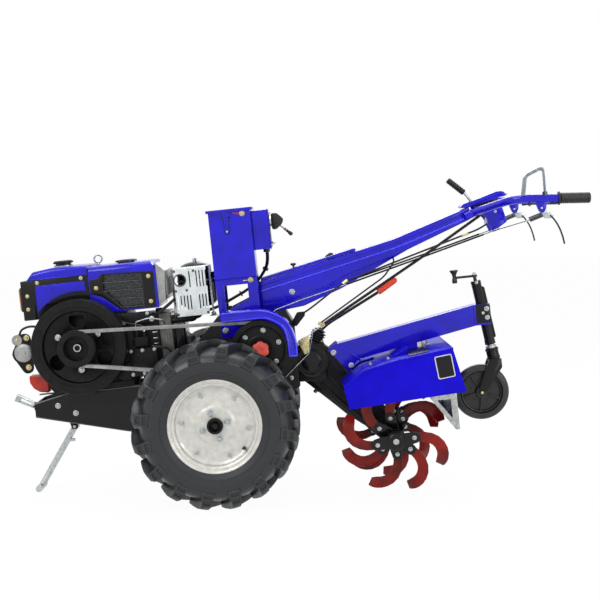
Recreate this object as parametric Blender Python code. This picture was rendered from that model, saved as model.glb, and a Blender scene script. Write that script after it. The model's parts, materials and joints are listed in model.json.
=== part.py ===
# Two-wheel walking tractor with a diesel engine, a belt drive and a rotary tiller.
# Metres, +Z up. +X runs rearward to the grips and -Y is the belt side. The machine
# leans nose down on its front stand, so every piece is modelled square to the
# machine, with the axle as its origin, and one empty leans the whole of it.

import math

import bmesh
import bpy
from mathutils import Matrix, Vector

# Fits
GAP = 0.0003              # between two faces that touch
RUNNING_GAP = 0.0006      # between a shaft and its bore
OVERRUN = 0.004           # how far a cutter passes the face it cuts
WELD = 0.002              # how far welded shapes sink into each other
CLEARANCE = 0.005         # between moving pieces

# Stance
AXLE_X = -0.289
NOSE_DOWN = math.radians(5.9)

# Wheels
TRACK = 0.650
TYRE_RADIUS = 0.320
TYRE_WIDTH = 0.165
LUG_COUNT = 16
LUG_WIDTH = 0.034
LUG_LEAN = math.radians(11)
RIM_RADIUS = 0.178
RIM_SEAT_RADIUS = 0.1525
RIM_WIDTH = 0.120
RIM_WALL = 0.003
RIM_FLARE = 0.010
DISC_RECESS = 0.026
DISC_WALL = 0.005
DISC_DISH = 0.006
HUB_RADIUS = 0.031
HUB_FLANGE_RADIUS = 0.064
HUB_FLANGE_WALL = 0.012
HUB_NOSE = 0.022
HUB_BORE_RADIUS = 0.021
SHAFT_RADIUS = 0.0275
SHAFT_SEAT = 0.030
TRUMPET_RADIUS = 0.048
TRUMPET_END = 0.205

# Belt drive
FLYWHEEL_X = -0.510
FLYWHEEL_Z = 0.330
FLYWHEEL_RADIUS = 0.186
FLYWHEEL_WIDTH = 0.068
FLYWHEEL_FACE = 0.174
FLYWHEEL_RECESS_RADIUS = 0.141
FLYWHEEL_RECESS = 0.024
FLYWHEEL_WEB = 0.014
FLYWHEEL_HUB_RADIUS = 0.036
FLYWHEEL_HOLE_RADIUS = 0.031
FLYWHEEL_HOLE_PITCH = 0.107
CRANK_RADIUS = 0.020
DRIVE_RADIUS = 0.0716
DRIVE_BORE_RADIUS = 0.047
DRIVE_SLEEVE_RADIUS = 0.058
DRIVE_EAR_PITCH = 0.089
DRIVE_EAR_RADIUS = 0.013
DRIVE_EAR_WALL = 0.010
CLUTCH_X = 0.194
CLUTCH_Z = 0.253
CLUTCH_RADIUS = 0.115
CLUTCH_WALL = 0.010
CLUTCH_SHAFT_RADIUS = 0.022
BELT_WIDTH = 0.017
BELT_THICKNESS = 0.011
BELT_PITCH = 0.021
BELT_COVER = 0.003        # the pulley's flange stands this far over the belt
PULLEY_FACE = 0.2375
PULLEY_EDGE = 0.0025
BELT_GAP = 0.0006
CLUTCH_CAP_RADIUS = 0.034
CLUTCH_CAP_DEPTH = 0.016


# Engine bed
BED_FRONT = -0.723
BED_REAR = -0.098
BED_BOTTOM = -0.075
BED_TOP = 0.150
BED_HALF_WIDTH = 0.099
BED_WALL = 0.007
BED_RAIL = 0.036
STAND_X = -0.590
STAND_Z = 0.002
STAND_RADIUS = 0.0125
STAND_EAR = 0.022
STAND_EAR_WALL = 0.006
STAND_PIN_RADIUS = 0.006
STAND_FOOT_X = -0.755
STAND_FOOT_RADIUS = 0.013
STAND_FOOT_WIDTH = 0.110
STAND_LUG_AT = 0.070
STAND_LUG = 0.032
HITCH_DROP = 0.022
HITCH_WIDTH = 0.032
HITCH_WALL = 0.007
HITCH_NECK = 0.026
HITCH_LENGTH = 0.074
HITCH_RISE = 0.030
HITCH_LOOP = 0.024
HITCH_EYE_SHARE = 0.62

# Engine
ENGINE_Y = 0.060
CRANKCASE_FRONT = -0.662
CRANKCASE_REAR = -0.300
CRANKCASE_LEFT = -0.085
CRANKCASE_RIGHT = 0.190
CASE_INSET = 0.020
CASE_FOOT = 0.022
CASE_BOSS_RADIUS = 0.045
CASE_COVER = 0.016
CASE_COVER_RADIUS = 0.095
CYLINDER_REAR = -0.205
CYLINDER_LEFT = -0.062
CYLINDER_RIGHT = 0.150
CYLINDER_LOW = 0.192
CYLINDER_HIGH = 0.424
HEAD_LENGTH = 0.054
ROCKER_LENGTH = 0.062
ROCKER_LOW = 0.262
ROCKER_HIGH = 0.372
ROCKER_ROUND = 0.014
SHEET = 0.003
PIPE_RADIUS = 0.012
PIPE_BEND = 0.0155
PIPE_Z = 0.3885
GUARD_FRONT = -0.133
GUARD_REAR = 0.018
GUARD_LEFT = -0.104
GUARD_RIGHT = -0.012
GUARD_LOW = 0.402
GUARD_HIGH = 0.593
GUARD_ROUND = 0.026
GUARD_SLOTS = 9
GUARD_END_SLOTS = 4
GUARD_SLOT = 0.005
GUARD_SLOT_START = 0.016
GUARD_SLOT_PITCH = 0.0135
MUFFLER_RADIUS = 0.032
MUFFLER_INSET = 0.014
MUFFLER_NECK_SHARE = 0.55
MUFFLER_PAD_RADIUS = 0.008
AIR_X = -0.048
AIR_Y = 0.078
AIR_LOW = 0.425
AIR_HIGH = 0.608
AIR_RADIUS = 0.078
AIR_STUD = 0.016
AIR_STUD_RADIUS = 0.004

# Hood
HOOD_LEFT = -0.100
HOOD_RIGHT = 0.220
HOOD_BASE = 0.448
SHROUD_FRONT = -0.457
SHROUD_REAR = -0.190
SHROUD_TOP = 0.633
GRILLE_WALL = 0.004
GRILLE_LIP = 0.010
GRILLE_POCKET = 0.014
GRILLE_PITCH = 0.031
GRILLE_HOLE = 0.0135
RIB_SLANT = -0.60
RIB_PITCH = 0.084
TANK_FRONT = -0.695
TANK_BASE = 0.604
TANK_TOP = 0.645
TANK_NECK = 0.006
PANEL_FRONT = -0.724
PANEL_REAR = -0.676
PANEL_WALL = 0.004
PANEL_LOW = 0.505
LAMP_DEPTH = 0.012
LAMP_INSET = 0.010
LAMP_WIDTH = 0.060
LAMP_LOW = 0.488
LAMP_HIGH = 0.574
FUEL_CAP_RADIUS = 0.038
FUEL_CAP_HEIGHT = 0.016
RADIATOR_CAP_X = -0.322
RADIATOR_CAP_RADIUS = 0.042
RADIATOR_CAP_HEIGHT = 0.013
EYE_X = -0.434
EYE_RADIUS = 0.019
EYE_BAR = 0.004
EYE_STEM = 0.008
GENERATOR_X = -0.752
GENERATOR_Y = -0.020
GENERATOR_Z = 0.318
GENERATOR_RADIUS = 0.040
GENERATOR_LENGTH = 0.110
GENERATOR_PLATE = 0.085
GENERATOR_WALL = 0.006
GEAR_COVER_FRONT = -0.735
GEAR_COVER_TOP = 0.228

# Gearbox and stand
GEARBOX_HALF_WIDTH = 0.085
GEARBOX_REAR = 0.330
GEARBOX_LOW = -0.085
GEARBOX_TOP = 0.385
CLUTCH_BOSS_HEIGHT = 0.035
TRUMPET_FLANGE = 0.014
BELT_GUARD_FRONT = 0.057
BELT_GUARD_REAR = 0.335
BELT_GUARD_LOW = 0.222
BELT_GUARD_TOP = 0.409
BELT_GUARD_BEND = 0.060
BELT_GUARD_DEPTH = 0.034
BELT_GUARD_FACE = -0.258
BELT_GUARD_BACK = -0.170
BELT_GUARD_TAB = 0.034
STAND_PLATE = 0.004
STAND_DROP = 0.085
BOX_FRONT = 0.038
BOX_REAR = 0.204
BOX_SEAT = 0.532
BOX_TOP = 0.800
BOX_WIDTH = 0.200
LID_LIP = 0.008
LID_DEPTH = 0.008
HINGE_RADIUS = 0.0035
BATTERY_ROOM = 0.006
BATTERY_HEIGHT = 0.170
SWITCH_REAR = 0.272
SWITCH_HALF_WIDTH = 0.082
SWITCH_LOW = 0.632
SWITCH_HIGH = 0.787
TOGGLE_LENGTH = 0.058
TOGGLE_HEIGHT = 0.066
TOGGLE_WIDTH = 0.040
TOGGLE_DROP = 0.016
TOGGLE_ARM = 0.026
TOGGLE_RADIUS = 0.004
LEAD_RADIUS = 0.006

# Handles
BEAM_FRONT = 0.2045
BEAM_REAR = 1.064
BEAM_TOP = 0.711
BEAM_HALF_WIDTH = 0.050
BEAM_WALL = 0.004
BEAM_OPEN = 0.300
BAR_RADIUS = 0.016
BAR_BEND = 0.060
BAR_CROSS = 0.060
BAR_SPREAD = 0.300
BAR_ELBOW_X = 1.200
BAR_Z = 0.728
BAR_END = 1.482
BAR_DROP = 0.083
GRIP_START = 1.366
GRIP_RADIUS = 0.021
GRIP_LIP = 0.005
EAR_X = 1.300
EAR_LENGTH = 0.044
EAR_HEIGHT = 0.046
LEVER_WALL = 0.006
LEVER_WIDTH = 0.020
LEVER_REACH = 0.080
LEVER_HEIGHT = 0.160
CONSOLE_FRONT = 1.000
CONSOLE_REAR = 1.214
CONSOLE_HEIGHT = 0.050
MAIN_LEVER_RISE = 0.082
MAIN_LEVER_RADIUS = 0.0055
LEVER_LEAN = 0.070
LOOP_FRONT = 1.240
LOOP_REAR = 1.322
LOOP_HEIGHT = 0.092
LOOP_WALL = 0.005
LOOP_WIDTH = 0.024
LOOP_BEND = 0.014

# Tiller
TILLER_HALF = 0.035
CASE_X = 0.404
CASE_Z = 0.165
CASE_RADIUS = 0.073
CASE_END_RADIUS = 0.050
CASE_FLANGE = 0.062
CASE_BOSS = 0.008
BOOT_X = 0.418
BOOT_RADIUS = 0.026
BOOT_HEIGHT = 0.044
BOOT_FOLDS = 4
SHIFT_X = 0.676
SHIFT_Z = 0.412
SHIFT_RADIUS = 0.006
SHIFT_GRIP = 0.086
SHIFT_GRIP_RADIUS = 0.013
TILLER_FRONT = 0.492
TILLER_REAR = 1.050
TILLER_TOP = 0.226
TILLER_RISE = 0.178
TILLER_DEPTH = 0.084
TILLER_NOSE = 0.090
BRACKET_WALL = 0.006
BRACKET_FRONT = 0.450
BRACKET_REAR = 0.590
BRACKET_LOW = 0.112
BRACKET_HIGH = 0.232
CLAMP_LENGTH = 0.062
CLAMP_HALF = 0.034
COVER_WIDTH = 0.560
COVER_FRONT = 0.495
COVER_REAR = 0.959
COVER_LOW = -0.004
COVER_HIGH = 0.191
COVER_THROAT = 0.140
SADDLE_X = 0.740
SADDLE_LENGTH = 0.070
SADDLE_DROP = 0.060
BOARD_FRONT = 0.812
BOARD_REAR = 0.921
BOARD_LOW = -0.122
BOARD_HIGH = 0.052
ROTOR_X = 0.675
ROTOR_Z = -0.150
ROTOR_RADIUS = 0.205
ROTOR_WIDTH = 0.524
ROTOR_SHAFT_RADIUS = 0.020
ROTOR_ROWS = 4
ROTOR_FIRST = 0.072
ROTOR_PITCH = 0.056
HOLDER_RADIUS = 0.044
HOLDER_WALL = 0.006
BLADE_WIDTH = 0.034
BLADE_WALL = 0.008
BLADE_REACH = 0.032
BLADE_LAG = 0.95
BLADE_PHASE = 0.89

# Tail wheel
COLUMN_X = 1.069
COLUMN_Z = 0.418
COLUMN_LEAN = math.radians(8)
COLUMN_LENGTH = 0.262
COLUMN_RADIUS = 0.020
STEM_RADIUS = 0.014
STEM_START = 0.050
STEM_TIP = 0.006
COLLAR_RADIUS = 0.022
COLLAR_HEIGHT = 0.010
FORK_SOCKET = 0.038
SOCKET_RADIUS = 0.025
FORK_WALL = 0.006
FORK_DROP = 0.030
FORK_EYE = 0.016
TAIL_X = 1.050
TAIL_Z = -0.029
TAIL_RADIUS = 0.112
TAIL_WIDTH = 0.042
TAIL_WEB = 0.006
TAIL_HUB_RADIUS = 0.020
TAIL_PIN_RADIUS = 0.008
CRANK_RISE = 0.012
CRANK_REACH = 0.080
CRANK_KNOB = 0.046
CRANK_ARM_RADIUS = 0.006


def clear_scene():
    for item in list(bpy.data.objects):
        bpy.data.objects.remove(item)


# Shapes. Each returns an object that is later fused, cut or named.

def as_object(bm):
    bmesh.ops.remove_doubles(bm, verts=bm.verts, dist=GAP / 10)
    bmesh.ops.recalc_face_normals(bm, faces=bm.faces)
    mesh = bpy.data.meshes.new("shape")
    bm.to_mesh(mesh)
    bm.free()
    shape = bpy.data.objects.new("shape", mesh)
    bpy.context.scene.collection.objects.link(shape)
    return shape


def placed(shape, matrix):
    """Move a shape's mesh by a matrix."""
    shape.data.transform(matrix)
    if matrix.determinant() < 0:
        shape.data.flip_normals()
    return shape


def fillet(points, radius, steps=4, closed=False):
    """Round the corners of a route or an outline, each no more than its sides allow."""
    corners = [Vector(point) for point in points]
    count = len(corners)
    rounded = []
    for index, corner in enumerate(corners):
        if not closed and index in (0, count - 1):
            rounded.append(corner)
            continue
        before = corners[index - 1] - corner
        after = corners[(index + 1) % count] - corner
        turn = math.pi - before.angle(after)
        half_side = min(before.length, after.length) * HALF_SHARE
        if turn < STRAIGHT_TURN:
            rounded.append(corner)
            continue
        tangent = min(radius * math.tan(turn / 2), half_side)
        bend = tangent / math.tan(turn / 2)
        middle = (before.normalized() + after.normalized()).normalized()
        centre = corner + middle * math.hypot(tangent, bend)
        start = corner + before.normalized() * tangent - centre
        finish = corner + after.normalized() * tangent - centre
        for step in range(steps + 1):
            share = step / steps
            weights = math.sin((1 - share) * turn), math.sin(share * turn)
            arm = (start * weights[0] + finish * weights[1]) / math.sin(turn)
            rounded.append(centre + arm)
    return rounded


HALF_SHARE = 0.499
STRAIGHT_TURN = math.radians(0.5)


def within(shares, front, rear, low, high):
    """Outline points from shares of a box's length and height."""
    return [(front + (rear - front) * along, low + (high - low) * up) for along, up in shares]


def prism(outline, right, left):
    """An outline in x and z, drawn out from one y to another."""
    bm = bmesh.new()
    face = bm.faces.new([bm.verts.new((point[0], right, point[1])) for point in outline])
    drawn = bmesh.ops.extrude_face_region(bm, geom=[face])
    moved = [item for item in drawn["geom"] if isinstance(item, bmesh.types.BMVert)]
    bmesh.ops.translate(bm, verts=moved, vec=(0, left - right, 0))
    return as_object(bm)


def block(front, rear, right, left, low, high):
    return prism(((front, low), (rear, low), (rear, high), (front, high)), right, left)


def soft_block(front, rear, right, left, low, high, radius, steps=2):
    """A block whose edges are all rounded."""
    shape = block(front, rear, right, left, low, high)
    bm = bmesh.new()
    bm.from_mesh(shape.data)
    bmesh.ops.bevel(bm, geom=bm.edges[:], offset=radius, segments=steps, profile=0.5,
                    affect="EDGES", material=-1)
    bm.to_mesh(shape.data)
    bm.free()
    return shape


def layer(outline, low, high):
    """An outline in x and y, drawn out from one z to another."""
    bm = bmesh.new()
    face = bm.faces.new([bm.verts.new((point[0], point[1], low)) for point in outline])
    drawn = bmesh.ops.extrude_face_region(bm, geom=[face])
    moved = [item for item in drawn["geom"] if isinstance(item, bmesh.types.BMVert)]
    bmesh.ops.translate(bm, verts=moved, vec=(0, 0, high - low))
    return as_object(bm)


def turned(profile, sides, centre=(0, 0, 0), axis=(0, 1, 0), ring=False):
    """A profile of (along, radius) pairs spun about an axis through a centre."""
    bm = bmesh.new()
    verts = [bm.verts.new((radius, 0, along)) for along, radius in profile]
    edges = [bm.edges.new(pair) for pair in zip(verts, verts[1:])]
    if ring:
        edges.append(bm.edges.new((verts[-1], verts[0])))
    bmesh.ops.spin(bm, geom=verts + edges, cent=(0, 0, 0), axis=(0, 0, 1),
                   angle=2 * math.pi, steps=sides, use_merge=True)
    shape = as_object(bm)
    turn = Vector((0, 0, 1)).rotation_difference(Vector(axis)).to_matrix().to_4x4()
    return placed(shape, Matrix.Translation(centre) @ turn)


def rod(start, finish, radius, sides=8):
    """A straight round bar between two points."""
    start, finish = Vector(start), Vector(finish)
    length = (finish - start).length
    profile = ((0, 0), (0, radius), (length, radius), (length, 0))
    return turned(profile, sides, start, finish - start)


def circle(radius, sides):
    turns = [2 * math.pi * index / sides for index in range(sides)]
    return [(radius * math.cos(turn), radius * math.sin(turn)) for turn in turns]


def flat(width, height):
    return [(width / 2, height / 2), (-width / 2, height / 2),
            (-width / 2, -height / 2), (width / 2, -height / 2)]


def swept(route, section, upward=(0, 1, 0), closed=False):
    """A section of (across, up) pairs drawn along a route of points."""
    route = [Vector(point) for point in route]
    bm = bmesh.new()
    rings = []
    up = Vector(upward)
    for index, point in enumerate(route):
        if closed:
            before, after = route[index - 1], route[(index + 1) % len(route)]
        else:
            before = route[max(index - 1, 0)]
            after = route[min(index + 1, len(route) - 1)]
        ahead = (after - before).normalized()
        side = ahead.cross(up).normalized()
        up = side.cross(ahead).normalized()
        arms = [(point - before).normalized(), (after - point).normalized()]
        lean = arms[0].angle(arms[1]) / 2 if min(arm.length for arm in arms) else 0
        inward = arms[1] - arms[0]
        stretch = 1 / math.cos(lean)
        ring = []
        for across, rise in section:
            place = side * across + up * rise
            if inward.length > STRAIGHT_TURN:
                mitre = inward.normalized()
                place += mitre * place.dot(mitre) * (stretch - 1)
            ring.append(bm.verts.new(point + place))
        rings.append(ring)
    pairs = list(zip(rings, rings[1:]))
    if closed:
        pairs.append((rings[-1], rings[0]))
    count = len(section)
    for first, second in pairs:
        for corner in range(count):
            beside = (corner + 1) % count
            bm.faces.new((first[corner], first[beside], second[beside], second[corner]))
    if not closed:
        bm.faces.new(rings[0])
        bm.faces.new(rings[-1])
    return as_object(bm)


def tube(route, radius, bend, sides=8, steps=3, upward=(0, 1, 0)):
    """A round bar along a route whose corners are bent."""
    return swept(fillet(route, radius=bend, steps=steps), circle(radius, sides), upward)


# Assembly

MERGE = 0.00002

def evaluated(shape):
    """Write a shape's modifiers into its mesh."""
    graph = bpy.context.evaluated_depsgraph_get()
    mesh = bpy.data.meshes.new_from_object(shape.evaluated_get(graph))
    shape.modifiers.clear()
    shape.data = mesh
    bm = bmesh.new()
    bm.from_mesh(mesh)
    bmesh.ops.triangulate(bm, faces=[face for face in bm.faces if len(face.verts) > 4])
    bmesh.ops.remove_doubles(bm, verts=bm.verts[:], dist=MERGE)
    bmesh.ops.dissolve_degenerate(bm, dist=MERGE, edges=bm.edges[:])
    bm.to_mesh(mesh)
    bm.free()
    return shape


def combined(base, others, operation):
    if not others:
        return base
    group = bpy.data.collections.new("operands")
    for other in others:
        group.objects.link(other)
    modifier = base.modifiers.new("combine", "BOOLEAN")
    modifier.operation = operation
    modifier.operand_type = "COLLECTION"
    modifier.collection = group
    modifier.solver = "EXACT"
    evaluated(base)
    for other in others:
        bpy.data.objects.remove(other)
    bpy.data.collections.remove(group)
    return base


def fused(shapes, cutters=()):
    """Weld shapes into one body and then cut it."""
    return combined(combined(shapes[0], list(shapes[1:]), "UNION"), list(cutters), "DIFFERENCE")


def node(name, shape, paint, parent):
    """Name a finished shape, paint it and hang it on its parent."""
    shape.name = name
    shape.data.name = name
    shape.data.materials.clear()
    shape.data.materials.append(PAINTS[paint])
    shape.parent = parent
    return shape


def empty(name, parent, place):
    holder = bpy.data.objects.new(name, None)
    bpy.context.scene.collection.objects.link(holder)
    holder.parent = parent
    holder.location = place
    return holder


# Paint table: name, colour, roughness, metallic
PAINT_TABLE = (
    ("blue_paint", (0.024, 0.012, 0.560), 0.30, 0.0),
    ("black_paint", (0.010, 0.010, 0.011), 0.35, 0.0),
    ("black_cast", (0.018, 0.018, 0.020), 0.50, 0.3),
    ("zinc", (0.560, 0.580, 0.600), 0.35, 0.9),
    ("galvanised", (0.600, 0.610, 0.590), 0.45, 0.7),
    ("grey_cast", (0.300, 0.305, 0.310), 0.50, 0.6),
    ("guard_steel", (0.720, 0.750, 0.750), 0.35, 0.6),
    ("red_paint", (0.270, 0.030, 0.012), 0.40, 0.0),
    ("red_plastic", (0.680, 0.090, 0.065), 0.40, 0.0),
    ("black_plastic", (0.012, 0.012, 0.013), 0.45, 0.0),
    ("tyre_rubber", (0.024, 0.025, 0.028), 0.75, 0.0),
    ("belt_rubber", (0.020, 0.020, 0.022), 0.70, 0.0),
    ("orange_rubber", (0.800, 0.110, 0.030), 0.55, 0.0),
    ("amber_lens", (0.580, 0.190, 0.012), 0.15, 0.0),
)
PAINTS = {}


def mix_paints():
    for name, colour, roughness, metallic in PAINT_TABLE:
        paint = bpy.data.materials.new(name)
        paint.use_nodes = True
        shader = paint.node_tree.nodes["Principled BSDF"]
        shader.inputs["Base Color"].default_value = (*colour, 1)
        shader.inputs["Roughness"].default_value = roughness
        shader.inputs["Metallic"].default_value = metallic
        paint.diffuse_color = (*colour, 1)
        PAINTS[name] = paint


# Wheels

# Carcass of one half of the tyre: shares of half its width and of its radius
CARCASS_SHARES = ((0.900, 0.640), (1.000, 0.712), (0.880, 0.850), (0.000, 0.920))

# Lug stations: share of half the width, inner and outer share of the radius,
# share of the lean, share of the lug's width
LUG_SHARES = (
    (-0.070, 0.860, 0.998, -0.07, 0.80),
    (0.700, 0.860, 1.000, 0.70, 0.95),
    (0.999, 0.765, 0.930, 1.00, 1.35),
)


def tyre_lug(side, turn):
    bm = bmesh.new()
    rings = []
    for across, inner, outer, lean, wide in LUG_SHARES:
        along = side * across * TYRE_WIDTH / 2
        ring = []
        for radius, edge in ((inner, -1), (inner, 1), (outer, 1), (outer, -1)):
            reach = radius * TYRE_RADIUS
            angle = turn + lean * LUG_LEAN + edge * wide * LUG_WIDTH / 2 / TYRE_RADIUS
            ring.append(bm.verts.new((reach * math.sin(angle), along, -reach * math.cos(angle))))
        rings.append(ring)
    for first, second in zip(rings, rings[1:]):
        for corner in range(4):
            beside = (corner + 1) % 4
            bm.faces.new((first[corner], first[beside], second[beside], second[corner]))
    bm.faces.new(rings[0])
    bm.faces.new(rings[-1])
    bmesh.ops.triangulate(bm, faces=bm.faces[:])
    return as_object(bm)


def tyre(side):
    half = TYRE_WIDTH / 2
    bead = RIM_WIDTH / 2 - RIM_WALL - GAP
    seat = RIM_SEAT_RADIUS + GAP
    wall = [(across * half, reach * TYRE_RADIUS) for across, reach in CARCASS_SHARES]
    profile = [(bead - RIM_FLARE, seat), (bead, RIM_RADIUS + GAP),
               (RIM_WIDTH / 2 + GAP, RIM_RADIUS + GAP)]
    profile += wall
    profile += [(-along, radius) for along, radius in reversed(profile[:-1])]
    carcass = turned(profile, 24, ring=True)
    pitch = 2 * math.pi / LUG_COUNT
    lugs = [tyre_lug(hand, index * pitch + (pitch / 2 if hand > 0 else 0))
            for hand in (-1, 1) for index in range(LUG_COUNT)]
    shape = fused([carcass] + lugs)
    return placed(shape, Matrix.Translation((0, side * TRACK / 2, 0)))


def rim_face():
    """Height of the disc's outer face over the tyre's middle plane."""
    return RIM_WIDTH / 2 - DISC_RECESS


def rim(side):
    half = RIM_WIDTH / 2
    inner = RIM_SEAT_RADIUS - RIM_WALL
    shoulder = half - RIM_WALL - RIM_FLARE
    profile = [(-half, RIM_RADIUS), (RIM_WALL - half, RIM_RADIUS), (-shoulder, RIM_SEAT_RADIUS),
               (shoulder, RIM_SEAT_RADIUS), (half - RIM_WALL, RIM_RADIUS), (half, RIM_RADIUS),
               (half - RIM_FLARE, inner), (RIM_FLARE - half, inner)]
    barrel = turned(profile, 24, ring=True)
    face = rim_face()
    edge = inner + RIM_WALL / 2
    bore = HUB_RADIUS - WELD
    dish = face - DISC_DISH
    turn_in = HUB_FLANGE_RADIUS + DISC_DISH
    disc = turned(((face - DISC_WALL, bore), (face, bore), (face, turn_in),
                   (dish, turn_in + DISC_DISH), (dish, edge), (dish - DISC_WALL, edge),
                   (dish - DISC_WALL, turn_in + DISC_DISH), (face - DISC_WALL, turn_in)),
                  24, ring=True)
    shape = placed(fused([barrel, disc]), Matrix.Translation((0, TRACK / 2, 0)))
    return placed(fused([shape, hub()]), Matrix.Scale(side, 4, (0, 1, 0)))


def hub():
    """The half axle with its flange, which turns with the wheel."""
    seat = TRACK / 2 + rim_face() - DISC_WALL + WELD
    start = TRUMPET_END + CLEARANCE
    nose = seat + HUB_NOSE
    inner_end = TRUMPET_END - SHAFT_SEAT
    barrel = (HUB_FLANGE_RADIUS + SHAFT_RADIUS) / 2
    axle_end = HUB_BORE_RADIUS / 2
    profile = ((inner_end, 0), (inner_end, SHAFT_RADIUS), (start, SHAFT_RADIUS), (start, barrel),
               (seat - HUB_FLANGE_WALL, barrel), (seat - HUB_FLANGE_WALL, HUB_FLANGE_RADIUS),
               (seat, HUB_FLANGE_RADIUS), (seat, HUB_RADIUS), (nose, HUB_RADIUS),
               (nose, HUB_BORE_RADIUS), (seat, HUB_BORE_RADIUS), (seat, axle_end),
               (nose - CLEARANCE, axle_end), (nose - CLEARANCE, 0))
    return turned(profile, 16)


def build_wheels(machine):
    for side, hand in ((-1, "left"), (1, "right")):
        axle = empty("axle_" + hand, machine, (0, 0, 0))
        node("tyre_" + hand, tyre(side), "tyre_rubber", axle)
        node("wheel_disc_" + hand, rim(side), "galvanised", axle)


# Belt drive

def belt_places():
    """The y of each belt's middle, from the outer one inwards."""
    outer = PULLEY_FACE - PULLEY_EDGE - BELT_WIDTH / 2 - BELT_GAP
    return -outer, BELT_PITCH - outer


def pulley_rim(radius):
    """Outline of a two-groove rim from its outer face inwards, as (y, radius) pairs."""
    bottom = radius - BELT_COVER - BELT_THICKNESS - BELT_GAP
    half = BELT_WIDTH / 2 + BELT_GAP
    edge = []
    for place in belt_places():
        edge += [(place - half, radius), (place - half, bottom),
                 (place + half, bottom), (place + half, radius)]
    return [(-PULLEY_FACE, radius)] + edge + [(edge[-1][0] + PULLEY_EDGE, radius)]


def flywheel():
    face = -FLYWHEEL_FACE
    back = face + FLYWHEEL_WIDTH
    web = face + FLYWHEEL_RECESS
    web_back = web + FLYWHEEL_WEB
    inner = FLYWHEEL_RECESS_RADIUS
    crank_end = back + CLEARANCE + SHAFT_SEAT
    profile = ((web, 0), (web, inner), (face, inner), (face, FLYWHEEL_RADIUS),
               (back, FLYWHEEL_RADIUS), (back, inner), (web_back, inner),
               (web_back, FLYWHEEL_HUB_RADIUS), (back, FLYWHEEL_HUB_RADIUS), (back, CRANK_RADIUS),
               (crank_end, CRANK_RADIUS), (crank_end, 0))
    wheel = turned(profile, 28)
    holes = []
    for index in range(3):
        turn = 2 * math.pi * index / 3 + math.pi / 2
        centre = (FLYWHEEL_HOLE_PITCH * math.cos(turn), FLYWHEEL_HOLE_PITCH * math.sin(turn))
        start = (centre[0], web - OVERRUN, centre[1])
        finish = (centre[0], web_back + OVERRUN, centre[1])
        holes.append(rod(start, finish, FLYWHEEL_HOLE_RADIUS, 10))
    return combined(fused([wheel], holes), drive_pulley(), "UNION")


def drive_pulley():
    seat = FLYWHEEL_RECESS - FLYWHEEL_FACE + WELD
    rim_line = pulley_rim(DRIVE_RADIUS)
    bore = DRIVE_BORE_RADIUS
    floor = seat - DRIVE_EAR_WALL
    sleeve = DRIVE_SLEEVE_RADIUS
    profile = [(floor - CRANK_RADIUS, 0), (floor - CRANK_RADIUS, CRANK_RADIUS),
               (floor, CRANK_RADIUS), (floor, bore), (-PULLEY_FACE, bore)] + rim_line
    profile += [(rim_line[-1][0], sleeve), (seat, sleeve), (seat, 0)]
    body = turned(profile, 20)
    ears = []
    for index in range(3):
        turn = 2 * math.pi * index / 3 + math.pi / 6
        place = DRIVE_EAR_PITCH * math.cos(turn), DRIVE_EAR_PITCH * math.sin(turn)
        root = (bore * math.cos(turn), bore * math.sin(turn))
        ears.append(rod((place[0], floor, place[1]), (place[0], seat, place[1]),
                        DRIVE_EAR_RADIUS, 8))
        arm = block(root[0], root[0] + DRIVE_EAR_PITCH - bore, floor, seat,
                    -DRIVE_EAR_RADIUS / 2, DRIVE_EAR_RADIUS / 2)
        placed(arm, Matrix.Translation((-root[0], 0, 0)))
        swing = Matrix.Rotation(-turn, 4, "Y")
        ears.append(placed(arm, Matrix.Translation((root[0], 0, root[1])) @ swing))
    return [body] + ears


def clutch_pulley():
    rim_line = pulley_rim(CLUTCH_RADIUS)
    inner = CLUTCH_RADIUS - BELT_COVER - BELT_THICKNESS - CLUTCH_WALL
    back = rim_line[-1][0]
    face = CLUTCH_CAP_DEPTH + PULLEY_EDGE - PULLEY_FACE
    shaft = CLUTCH_SHAFT_RADIUS
    shaft_end = -boss_face() + SHAFT_SEAT
    profile = [(face, 0), (face, inner), (-PULLEY_FACE, inner)] + rim_line
    profile += [(back, inner), (face + CLUTCH_WALL, inner), (face + CLUTCH_WALL, 2 * shaft),
                (-boss_face() - CLEARANCE, 2 * shaft), (-boss_face() - CLEARANCE, shaft),
                (shaft_end, shaft), (shaft_end, 0)]
    return turned(profile, 24)


def boss_face():
    """Distance of the clutch shaft's boss face from the middle plane."""
    return GEARBOX_HALF_WIDTH + CLUTCH_BOSS_HEIGHT


def clutch_cap():
    """A six-lobed knob in the clutch pulley's face."""
    seat = CLUTCH_CAP_DEPTH + PULLEY_EDGE - PULLEY_FACE - GAP
    face = -PULLEY_FACE
    steps = 24
    lobes = [CLUTCH_CAP_RADIUS * (1 - CAP_LOBE_SHARE * (1 + math.cos(12 * math.pi * step / steps)))
             for step in range(steps)]
    outline = [(lobe * math.cos(2 * math.pi * step / steps), lobe * math.sin(2 * math.pi * step / steps))
               for step, lobe in enumerate(lobes)]
    return prism(outline, face, seat)


CAP_LOBE_SHARE = 0.06


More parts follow.
